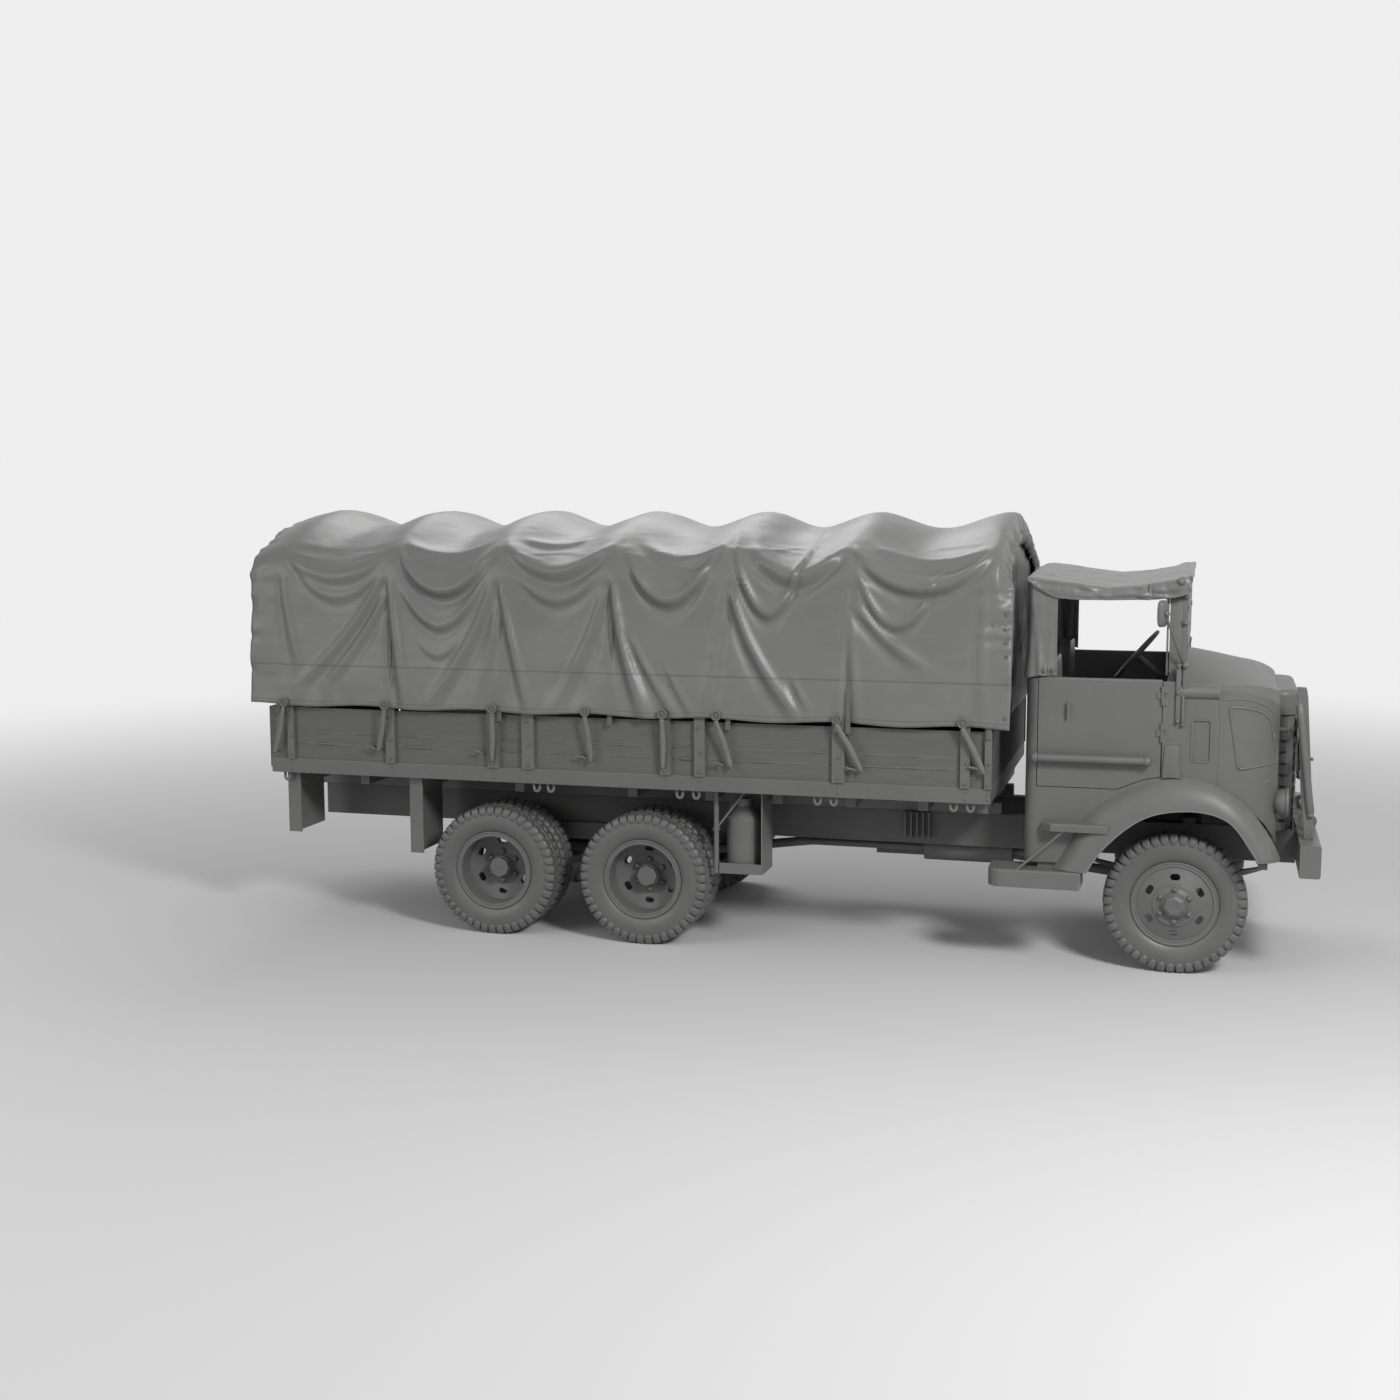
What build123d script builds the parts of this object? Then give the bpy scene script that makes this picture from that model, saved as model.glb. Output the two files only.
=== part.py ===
from build123d import *
import math
import os

# A six-wheel-drive military cargo truck with the cab over its engine and a canvas-covered long bed.
# Millimetres. +X points forward, +Y to the truck's left, +Z up. The origin lies on the ground, at the
# middle of the truck's length and width. Stations named reach are measured from the bogie's centre.

# Driving dimensions
wheelbase = 4166
bogie_spread = 1118
front_track = 1530
rear_track = 1714
twin_spacing = 232
tyre_radius = 465
tyre_width = 208
front_reach = 5060
bumper_depth = 130
rear_reach = 2400
bed_front_reach = 2980
bed_rear_reach = 2270
bed_half_width = 1118
bed_rail_bottom = 1120
bed_rail_height = 105
cab_half_width = 980
cab_rear_reach = 3185
nose_front_reach = 4790
frame_half_width = 420
frame_top = 925
floor_top = 1235
floor_thickness = 30
floor_bottom = floor_top - floor_thickness
frame_height = 230
belt_height = 1950
cover_top = 3010
cover_sag = 112

# Common plate, pipe and gap sizes
sheet = 5
plate = 10
wall = 25
seat_gap = 0.3
running_gap = 0.3
part_gap = 5
overrun = 20

# Stations worked out from the driving dimensions
bogie_x = (rear_reach - front_reach) / 2
front_axle_x = bogie_x + wheelbase
rear_axle_offsets = (bogie_spread / 2, -bogie_spread / 2)
bed_front_x = bogie_x + bed_front_reach
bed_rear_x = bogie_x - bed_rear_reach
bed_rail_top = bed_rail_bottom + bed_rail_height
cab_rear_x = bogie_x + cab_rear_reach
nose_front_x = bogie_x + nose_front_reach
front_end_x = bogie_x + front_reach
axle_z = tyre_radius
front_wheel_y = front_track / 2
rear_pair_y = rear_track / 2

os.makedirs("parts", exist_ok=True)
pieces = []


def finish(builder, name):
    """Gives a finished piece its name and puts it on the list to write."""
    builder.part.label = name
    pieces.append(builder.part)


def block(x_low, x_high, y_low, y_high, z_low, z_high, mode=Mode.ADD):
    """A box between two corners, in the part that is being built."""
    middle = ((x_low + x_high) / 2, (y_low + y_high) / 2, (z_low + z_high) / 2)
    with Locations(middle):
        Box(x_high - x_low, y_high - y_low, z_high - z_low, mode=mode)


def bar(start, end, radius, mode=Mode.ADD):
    """A round bar between two points, in the part that is being built."""
    run = Vector(*end) - Vector(*start)
    with Locations(Plane(origin=start, z_dir=run)):
        Cylinder(radius, run.length, align=(Align.CENTER, Align.CENTER, Align.MIN), mode=mode)


# Chassis frame: two pressed channel rails tied by cross members
rail_flange = 76
rail_wall = 8
rail_tail_reach = 2190
cross_width = 90
cross_drop = 30
cross_reaches = (-2145, -1150, 0, 1150, 1900, 2650, 4700)
bracket_reach = 2310
bracket_low = 745
bracket_depth = 60
bracket_length = 180
fin_thickness = 12
fin_count = 5
# Cab mounts: one post on each rail under the rear and the front of the cab's floor
cab_mount_reaches = (3340, 3900)
cab_mount_length = 70
cab_mount_top = floor_bottom - seat_gap
frame_bottom = frame_top - frame_height
rail_tail_x = bogie_x - rail_tail_reach
rail_nose_x = front_end_x - bumper_depth - seat_gap
rail_inside = frame_half_width - rail_flange
with BuildPart() as frame:
    block(rail_tail_x, rail_nose_x, rail_inside, frame_half_width, frame_bottom, frame_top)
    block(
        rail_tail_x - overrun, rail_nose_x + overrun, rail_inside - overrun, frame_half_width - rail_wall,
        frame_bottom + rail_wall, frame_top - rail_wall, mode=Mode.SUBTRACT,
    )
    mirror(about=Plane.XZ)
    for reach in cross_reaches:
        block(
            bogie_x + reach - cross_width / 2, bogie_x + reach + cross_width / 2,
            -frame_half_width + rail_wall, frame_half_width - rail_wall,
            frame_bottom + cross_drop, frame_top - cross_drop,
        )
    for reach in cab_mount_reaches:
        for side in (-1, 1):
            mount_ends = sorted((side * rail_inside, side * frame_half_width))
            block(
                bogie_x + reach - cab_mount_length / 2, bogie_x + reach + cab_mount_length / 2,
                mount_ends[0], mount_ends[1], frame_top - rail_wall, cab_mount_top,
            )
    bracket_face_y = -frame_half_width - bracket_depth / 3
    block(
        bogie_x + bracket_reach, bogie_x + bracket_reach + bracket_length, bracket_face_y, -frame_half_width,
        bracket_low, frame_top,
    )
    for step in range(fin_count):
        fin_x = bogie_x + bracket_reach + (bracket_length - fin_thickness) * step / (fin_count - 1)
        block(
            fin_x, fin_x + fin_thickness, -frame_half_width - bracket_depth, bracket_face_y, bracket_low, frame_top,
        )
finish(frame, "frame")

# Engine: one plain block at its place between the rails, under the cab floor
engine_rear_reach = 3420
engine_length = 900
engine_half_width = 230
engine_bottom = 760
engine_height = 760
bearer_reaches = (3500, 4240)
bearer_width = 80
with BuildPart() as engine:
    block(
        bogie_x + engine_rear_reach, bogie_x + engine_rear_reach + engine_length,
        -engine_half_width, engine_half_width, engine_bottom, engine_bottom + engine_height,
    )
    for reach in bearer_reaches:
        block(
            bogie_x + reach - bearer_width / 2, bogie_x + reach + bearer_width / 2, -frame_half_width + plate,
            frame_half_width - plate, frame_top + seat_gap, frame_top + bearer_width / 2,
        )
finish(engine, "engine_block")

# Axles: a banjo housing on each tube. The front one ends in steering balls, the rear ones in spindles
axle_tube_radius = 52
banjo_radius = 165
banjo_half_length = 95
kingpin_y = 620
ball_radius = 88
spindle_radius = 36
rear_spindle_end_y = rear_pair_y + 75
rear_tube_end_y = rear_pair_y - 150
front_diff_y = -120


def axle_housing(x, middle_y, tube_end_y):
    """A tube across the truck with a round banjo housing on it."""
    bar((x, -tube_end_y, axle_z), (x, tube_end_y, axle_z), axle_tube_radius)
    with Locations(Location((x, middle_y, axle_z), (90, 0, 0))):
        Cylinder(banjo_half_length, banjo_half_length * 2)
    with Locations((x, middle_y, axle_z)):
        Sphere(banjo_radius)


with BuildPart() as front_axle:
    axle_housing(front_axle_x, front_diff_y, kingpin_y)
    with Locations((front_axle_x, kingpin_y, axle_z), (front_axle_x, -kingpin_y, axle_z)):
        Sphere(ball_radius)
finish(front_axle, "front_axle")

with BuildPart() as rear_axles:
    for axle in rear_axle_offsets:
        axle_housing(bogie_x + axle, 0, rear_tube_end_y)
        bar(
            (bogie_x + axle, -rear_spindle_end_y, axle_z),
            (bogie_x + axle, rear_spindle_end_y, axle_z), spindle_radius,
        )
finish(rear_axles, "rear_axles")

# Steering knuckles: a cup over each ball, a spindle for the wheel and an arm for the track rod
cup_gap = 0.3
cup_wall = 14
cup_cut_y = kingpin_y + 12
kingpin_boss_radius = 34
kingpin_boss_height = 26
front_spindle_end_y = front_wheel_y + 130
knuckle_flange_radius = 95
knuckle_flange_thickness = 22
arm_reach = 260
arm_drop = 70
arm_thickness = 26
arm_width = 44
cup_outer = ball_radius + cup_gap + cup_wall
cup_end_y = kingpin_y + cup_outer
arm_z = axle_z - arm_drop
arm_pin_x = front_axle_x - arm_reach
arm_pin_y = kingpin_y
arm_pin_radius = 14
track_rod_radius = 10
track_eye_radius = 30
track_eye_height = 24
track_rod_top = arm_z - arm_thickness - part_gap


def knuckle(side, name):
    """A steering knuckle: side is 1 on the left and -1 on the right."""
    with BuildPart() as part:
        with Locations((front_axle_x, side * kingpin_y, axle_z)):
            Sphere(cup_outer)
        bar(
            (front_axle_x, side * kingpin_y, axle_z - cup_outer - kingpin_boss_height),
            (front_axle_x, side * kingpin_y, axle_z + cup_outer + kingpin_boss_height), kingpin_boss_radius,
        )
        with Locations((front_axle_x, side * kingpin_y, axle_z)):
            Sphere(ball_radius + cup_gap, mode=Mode.SUBTRACT)
        cut_ends = sorted((side * cup_cut_y, side * (kingpin_y - cup_outer - overrun)))
        reach = cup_outer + kingpin_boss_height + overrun
        block(
            front_axle_x - reach, front_axle_x + reach, cut_ends[0], cut_ends[1],
            axle_z - reach, axle_z + reach, mode=Mode.SUBTRACT,
        )
        bar(
            (front_axle_x, side * (cup_end_y - cup_wall / 2), axle_z),
            (front_axle_x, side * front_spindle_end_y, axle_z), spindle_radius,
        )
        arm_ends = sorted((side * (arm_pin_y - arm_width / 2), side * (cup_cut_y + arm_width)))
        arm_root_ends = sorted((side * cup_cut_y, side * (cup_cut_y + arm_width)))
        block(
            front_axle_x - cup_outer - arm_thickness, front_axle_x - ball_radius - cup_gap - cup_wall / 2,
            arm_root_ends[0], arm_root_ends[1], arm_z - arm_thickness, axle_z,
        )
        block(
            arm_pin_x - arm_width / 2, front_axle_x - cup_outer, arm_root_ends[0], arm_root_ends[1],
            arm_z - arm_thickness, arm_z,
        )
        block(
            arm_pin_x - arm_width / 2, arm_pin_x + arm_width / 2, arm_ends[0], arm_ends[1],
            arm_z - arm_thickness, arm_z,
        )
        bar(
            (arm_pin_x, side * arm_pin_y, track_rod_top - track_eye_height),
            (arm_pin_x, side * arm_pin_y, arm_z), arm_pin_radius,
        )
    finish(part, name)


knuckle(1, "knuckle_left")
knuckle(-1, "knuckle_right")

# Track rod: joins the two knuckle arms from below, with an eye on each arm's pin
with BuildPart() as track_rod:
    rod_z = track_rod_top - track_eye_height / 2
    bar((arm_pin_x, -arm_pin_y, rod_z), (arm_pin_x, arm_pin_y, rod_z), track_rod_radius)
    for side in (-1, 1):
        bar(
            (arm_pin_x, side * arm_pin_y, track_rod_top - track_eye_height),
            (arm_pin_x, side * arm_pin_y, track_rod_top), track_eye_radius,
        )
        bar(
            (arm_pin_x, side * arm_pin_y, track_rod_top - track_eye_height - overrun),
            (arm_pin_x, side * arm_pin_y, track_rod_top + overrun), arm_pin_radius + running_gap,
            mode=Mode.SUBTRACT,
        )
finish(track_rod, "track_rod")

# Springs: a semi-elliptic pack over the front axle on each side, and an inverted pack between the rear axles
leaf_width = 62
front_spring_y = 350
front_spring_half_length = 560
front_spring_height = 60
front_spring_camber = 110
rear_spring_y = 470
rear_spring_half_length = bogie_spread / 2
rear_spring_height = 120
rear_spring_tip_height = 46
rear_spring_z = axle_z + 150
trunnion_radius = 60
seat_block_half = 55
spring_seat_z = axle_z + axle_tube_radius
with BuildPart() as springs:
    for side in (-1, 1):
        with BuildSketch(Plane.XZ.offset(-side * front_spring_y - leaf_width / 2)):
            with BuildLine():
                left = (front_axle_x - front_spring_half_length, spring_seat_z + front_spring_camber)
                right = (front_axle_x + front_spring_half_length, spring_seat_z + front_spring_camber)
                low = (front_axle_x, spring_seat_z + seat_gap)
                high = (front_axle_x, spring_seat_z + front_spring_height)
                tip = front_spring_height / 4
                ThreePointArc(left, low, right)
                Line(right, (right[0], right[1] + tip))
                ThreePointArc((right[0], right[1] + tip), high, (left[0], left[1] + tip))
                Line((left[0], left[1] + tip), left)
            make_face()
        extrude(amount=leaf_width)
        for end in (left, right):
            block(
                end[0] - leaf_width / 2, end[0] + leaf_width / 2,
                side * front_spring_y - leaf_width / 2, side * front_spring_y + leaf_width / 2,
                end[1], frame_bottom - seat_gap,
            )
        with BuildSketch(Plane.XZ.offset(-side * rear_spring_y - leaf_width / 2)):
            with BuildLine():
                reach = rear_spring_half_length
                crown = rear_spring_z + rear_spring_height
                Polyline(
                    (bogie_x - reach, rear_spring_z), (bogie_x + reach, rear_spring_z),
                    (bogie_x + reach, rear_spring_z + rear_spring_tip_height),
                )
                ThreePointArc(
                    (bogie_x + reach, rear_spring_z + rear_spring_tip_height), (bogie_x, crown),
                    (bogie_x - reach, rear_spring_z + rear_spring_tip_height),
                )
                Line((bogie_x - reach, rear_spring_z + rear_spring_tip_height), (bogie_x - reach, rear_spring_z))
            make_face()
        extrude(amount=leaf_width)
        for axle in rear_axle_offsets:
            block(
                bogie_x + axle - seat_block_half, bogie_x + axle + seat_block_half,
                side * rear_spring_y - leaf_width / 2, side * rear_spring_y + leaf_width / 2,
                axle_z + axle_tube_radius + seat_gap, rear_spring_z,
            )
        trunnion_ends = sorted((side * (frame_half_width + seat_gap), side * (rear_spring_y + leaf_width / 2)))
        bar((bogie_x, trunnion_ends[0], rear_spring_z + trunnion_radius),
            (bogie_x, trunnion_ends[1], rear_spring_z + trunnion_radius), trunnion_radius)
finish(springs, "springs")

# Driveline: transfer case and open propeller shafts
transfer_reach = 2250
transfer_half_length = 190
transfer_half_width = 170
transfer_bottom = 560
transfer_height = 300
shaft_radius = 34
shaft_joint_radius = 52
shaft_joint_length = 70
shaft_y = -120
with BuildPart() as driveline:
    transfer_x = bogie_x + transfer_reach
    block(
        transfer_x - transfer_half_length, transfer_x + transfer_half_length,
        -transfer_half_width, transfer_half_width, transfer_bottom, transfer_bottom + transfer_height,
    )
    transfer_z = transfer_bottom + transfer_height / 3
    for start, end in (
        ((transfer_x + transfer_half_length, shaft_y, transfer_z),
         (front_axle_x - banjo_radius / 2, shaft_y, axle_z)),
        ((transfer_x - transfer_half_length, 0, transfer_z),
         (bogie_x + rear_axle_offsets[0] + banjo_radius / 2, 0, axle_z)),
        ((bogie_x + rear_axle_offsets[0] - banjo_radius / 2, 0, axle_z),
         (bogie_x + rear_axle_offsets[1] + banjo_radius / 2, 0, axle_z)),
    ):
        bar(start, end, shaft_radius)
    add(front_axle.part, mode=Mode.SUBTRACT)
    add(rear_axles.part, mode=Mode.SUBTRACT)
finish(driveline, "driveline")

# Exhaust: silencer under the right rail with its pipe to the side
silencer_radius = 85
silencer_front_reach = 3050
silencer_length = 620
silencer_y = -275
silencer_z = 640
exhaust_pipe_radius = 26
exhaust_tail_reach = 1500
with BuildPart() as exhaust:
    rear_x = bogie_x + silencer_front_reach - silencer_length
    bar((rear_x, silencer_y, silencer_z), (bogie_x + silencer_front_reach, silencer_y, silencer_z), silencer_radius)
    bar((bogie_x + exhaust_tail_reach, silencer_y, silencer_z), (rear_x, silencer_y, silencer_z), exhaust_pipe_radius)
    bar(
        (bogie_x + silencer_front_reach, silencer_y, silencer_z),
        (bogie_x + engine_rear_reach, silencer_y, silencer_z), exhaust_pipe_radius,
    )
finish(exhaust, "exhaust")

# Wheels: pressed discs dished to the mounting face, in flat-base rims, and their tyres
rim_radius = 254
rim_half_width = 82
rim_flange = 26
rim_wall = 10
hub_radius = 62
hub_cap_radius = 58
hand_hole_radius = 21
hand_hole_length = 66
hand_hole_count = 6
hand_hole_circle = 165
tread_half_width = 84
bead_half_width = 74
shoulder_drop = 34
tyre_wall_bulge_radius = rim_radius + (tyre_radius - rim_radius) * 0.45
front_face_offset = 108
hub_bore_radius = spindle_radius + running_gap


def tyre_profile(middle_y):
    """The tyre's section as an outline of radius and width, in the caller's sketch."""
    half = tyre_width / 2
    with BuildLine() as outline:
        shoulder = tread_half_width + (half - tread_half_width) / 2
        lip = rim_radius + rim_flange
        low_bead, high_bead = middle_y - bead_half_width, middle_y + bead_half_width
        Polyline((lip, low_bead), (rim_radius, low_bead), (rim_radius, high_bead), (lip, high_bead))
        high_shoulder = (tyre_radius - shoulder_drop, middle_y + shoulder)
        ThreePointArc((lip, high_bead), (tyre_wall_bulge_radius, middle_y + half), high_shoulder)
        low_shoulder = (tyre_radius - shoulder_drop, middle_y - shoulder)
        Polyline(
            high_shoulder, (tyre_radius, middle_y + tread_half_width),
            (tyre_radius, middle_y - tread_half_width), low_shoulder,
        )
        ThreePointArc(low_shoulder, (tyre_wall_bulge_radius, middle_y - half), (lip, low_bead))
    make_face(outline.edges())


def tyre(x, side, middles_y, name):
    """One tyre, or a twin pair, standing at station x."""
    with BuildPart() as part:
        for middle_y in middles_y:
            with BuildSketch(Plane(origin=(x, 0, axle_z), x_dir=(1, 0, 0), z_dir=(0, 0, 1))):
                tyre_profile(side * middle_y)
            revolve(axis=Axis((x, 0, axle_z), (0, 1, 0)))
    finish(part, name)


def wheel_section(middle_y, attach_y, face_y, side):
    """A flat-base rim and its dished disc, as outlines of radius and width in the caller's sketch."""
    base = rim_radius - seat_gap
    inner = base - rim_wall
    lip = rim_radius + rim_flange
    near = bead_half_width + seat_gap
    with BuildLine() as rim_line:
        Polyline(
            (inner, side * (middle_y - rim_half_width)), (lip, side * (middle_y - rim_half_width)),
            (lip, side * (middle_y - near)), (base, side * (middle_y - near)),
            (base, side * (middle_y + near)), (lip, side * (middle_y + near)),
            (lip, side * (middle_y + rim_half_width)), (inner, side * (middle_y + rim_half_width)),
            close=True,
        )
    make_face(rim_line.edges())
    with BuildLine() as disc_line:
        Polyline(
            (inner + rim_wall / 2, side * attach_y), (inner + rim_wall / 2, side * (attach_y + rim_wall)),
            (hand_hole_circle - hand_hole_radius, side * (face_y + rim_wall)),
            (hub_radius - rim_wall, side * (face_y + rim_wall)), (hub_radius - rim_wall, side * face_y),
            (hand_hole_circle - hand_hole_radius, side * face_y), close=True,
        )
    make_face(disc_line.edges())


def wheel(x, side, rims, hub_low_y, hub_high_y, name):
    """A hub with one rim, or two: rims lists each one's middle, where its disc joins it, and its face."""
    axis = Axis((x, 0, axle_z), (0, 1, 0))
    with BuildPart() as part:
        for middle_y, attach_y, face_y in rims:
            with BuildSketch(Plane(origin=(x, 0, axle_z), x_dir=(1, 0, 0), z_dir=(0, 0, 1))):
                wheel_section(middle_y, attach_y, face_y, side)
            revolve(axis=axis)
        bar((x, side * hub_low_y, axle_z), (x, side * hub_high_y, axle_z), hub_radius + seat_gap)
        bore_end_y = hub_high_y - rim_wall
        bar(
            (x, side * (hub_low_y - overrun), axle_z), (x, side * bore_end_y, axle_z),
            hub_bore_radius, mode=Mode.SUBTRACT,
        )
        turned = Plane(origin=(x, side * (hub_high_y + overrun), axle_z), z_dir=(0, -side, 0))
        with BuildSketch(turned):
            with PolarLocations(hand_hole_circle + hand_hole_radius, hand_hole_count):
                SlotOverall(hand_hole_length, hand_hole_radius * 2, rotation=90)
        extrude(amount=hub_high_y - hub_low_y + overrun * 8, mode=Mode.SUBTRACT)
    finish(part, name)


for side, hand in ((1, "left"), (-1, "right")):
    face_y = front_wheel_y + front_face_offset
    tyre(front_axle_x, side, [front_wheel_y], f"tyre_front_{hand}")
    attach_y = front_wheel_y + rim_half_width - rim_wall
    wheel(
        front_axle_x, side, [(front_wheel_y, attach_y, face_y)], cup_end_y + part_gap,
        front_spindle_end_y + rim_wall + part_gap * 4, f"wheel_front_{hand}",
    )
    outer_y = rear_pair_y + twin_spacing / 2
    inner_y = rear_pair_y - twin_spacing / 2
    for axle, place in zip(rear_axle_offsets, ("middle", "rear")):
        tyre(bogie_x + axle, side, [outer_y, inner_y], f"tyres_{place}_{hand}")
        outer_rim = (outer_y, outer_y - rim_half_width, rear_pair_y + seat_gap)
        inner_rim = (inner_y, inner_y + rim_half_width - rim_wall, rear_pair_y - rim_wall)
        wheel(
            bogie_x + axle, side, [outer_rim, inner_rim], rear_tube_end_y + part_gap,
            rear_spindle_end_y + rim_wall + part_gap * 3, f"wheels_{place}_{hand}",
        )

# Door hinges: alternate barrels on one line, each with a leaf on the door or on the pillar
hinge_heights = (1600, 1840)
hinge_barrel_height = 40
hinge_radius = 10
hinge_leaf = 32


def hinge_half(side, low, leaf):
    """One barrel of a door hinge with its leaf, forwards on the pillar or backwards on the door."""
    bar((hinge_x, side * hinge_y, low), (hinge_x, side * hinge_y, low + hinge_barrel_height), hinge_radius)
    leaf_ends = sorted((hinge_x, hinge_x + leaf))
    face_ends = sorted((side * (cab_half_width - (seat_gap if leaf < 0 else 0)), side * hinge_y))
    block(leaf_ends[0], leaf_ends[1], face_ends[0], face_ends[1], low, low + hinge_barrel_height)


# Cab shell: a hollow steel box with rounded rear corners, a lofted nose and an open front for the grille
skirt_bottom = 730
cab_corner_radius = 85
door_rear_reach = 3268
door_front_reach = 4052
door_bottom = 1240
door_thickness = 28
door_gap = 6
screen_reach = 4140
hood_split_z = 1935
cowl_reach = 4206
engine_bay_gap = 30
grille_opening_half_width = 460
grille_opening_top = 1680
# The door's outline and the plate at the foot of the front pillar: reach from the bogie, height
door_outline = (
    (3268, 1240), (3780, 1240), (3960, 1315), (4052, 1330), (4052, 1950), (3268, 1950),
)
pillar_plate = ((4062, 1340), (4178, 1340), (4153, 1560), (4062, 1560))
door_rear_x = bogie_x + door_rear_reach
door_front_x = bogie_x + door_front_reach
hinge_x = door_front_x + door_gap / 2
hinge_y = cab_half_width + hinge_radius + seat_gap
screen_x = bogie_x + screen_reach
cowl_x = bogie_x + cowl_reach
# Sections of the nose: reach from the bogie, half width, height where the side ends, crown height, corner size
nose_sections = (
    (4140, 980, 1905, 2085, 30),
    (4400, 975, 1905, 2035, 30),
    (4620, 925, 1880, 1962, 50),
    (4740, 830, 1830, 1905, 70),
    (4790, 700, 1790, 1862, 80),
)
nose_bottom = 840


def nose_solid(inset, front_shift):
    """The nose as one solid, drawn in by inset on its sides and top."""
    with BuildPart() as part:
        for reach, half_width, side_top, crown, corner in nose_sections:
            half = half_width - inset
            top = side_top - inset
            peak = crown - inset
            x = bogie_x + reach + (front_shift if reach == nose_sections[-1][0] else 0)
            with BuildSketch(Plane(origin=(x, 0, 0), x_dir=(0, 1, 0), z_dir=(1, 0, 0))):
                with BuildLine():
                    Polyline((-half, top), (-half, nose_bottom), (half, nose_bottom), (half, top))
                    Line((half, top), (half - corner, top + corner))
                    ThreePointArc((half - corner, top + corner), (0, peak), (-half + corner, top + corner))
                    Line((-half + corner, top + corner), (-half, top))
                make_face()
        loft()
    return part.part


arch_foot_z = 686
arch_half_span = 720
arch_middle_offset = -74
arch_rise = 646
# The fender's line against the cab: shares of the half span and of the rise
arch_line_shares = (
    (-1.0, 0.0), (-0.72, 0.535), (-0.15, 0.945), (0.103, 1.0), (0.31, 0.98), (0.736, 0.687), (0.93, 0.44), (1.0, 0.229),
)


def arch_point(index, inset=0):
    """A point of the fender's line against the cab, moved inwards by inset."""
    share_x, share_z = arch_line_shares[index]
    x = front_axle_x + arch_middle_offset + share_x * arch_half_span
    z = arch_foot_z + share_z * arch_rise
    away = Vector(x - front_axle_x, z - axle_z).normalized() * inset
    return (x - away.X, z - away.Y)


def arch_face(inset, foot):
    """The region under the fender's line, down to foot."""
    with BuildLine() as outline:
        points = [arch_point(i, inset) for i in range(len(arch_line_shares))]
        Line((points[0][0], foot), points[0])
        Line(points[0], points[1])
        ThreePointArc(points[1], points[2], points[3])
        ThreePointArc(points[3], points[4], points[5])
        ThreePointArc(points[5], points[6], points[7])
        Line(points[7], (points[7][0], foot))
        Line((points[7][0], foot), (points[0][0], foot))
    make_face(outline.edges())


def door_solid(gap):
    """The left door's outline as a solid through the cab's side wall, grown by gap."""
    with BuildPart() as part:
        with BuildSketch(Plane.XZ.offset(-cab_half_width - overrun)):
            with BuildLine():
                Polyline(*[(bogie_x + reach, z) for reach, z in door_outline], close=True)
            make_face()
            if gap:
                offset(amount=gap, kind=Kind.INTERSECTION)
                with Locations((door_rear_x, belt_height)):
                    Rectangle(
                        door_front_x - door_rear_x + gap, overrun * 2, align=(Align.MIN, Align.MIN)
                    )
        extrude(amount=wall + overrun * 2)
    return part.part


# Side fittings of the nose: a half-round roll under the crease, a pressed seam, a louvre frame and knobs
roll_radius = 46
roll_proud = 22
roll_z = 1886
seam_reach = 4408
seam_width = 4
louvre_reach = 4246
louvre_width = 112
louvre_low = 1442
louvre_height = 264
louvre_corner = 15
louvre_lip = 7
hatch_proud = 3
knob_radius = 15
knob_places = ((4752, 812, 1599), (4714, 850, 1307))
# The hatch on each side of the nose: reach from the bogie, height
hatch_outline = ((4469, 1797), (4568, 1793), (4671, 1766), (4726, 1709), (4781, 1430), (4535, 1395))


def cab_hollow(front_x, low, high):
    """The space inside the cab's walls up to front_x, rounded at its rear corners like the shell."""
    with BuildPart() as part:
        block(cab_rear_x + wall, front_x, -cab_inside, cab_inside, low, high)
        fillet(part.edges().filter_by(Axis.Z).group_by(Axis.X)[0], cab_corner_radius - wall)
    return part.part


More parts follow.
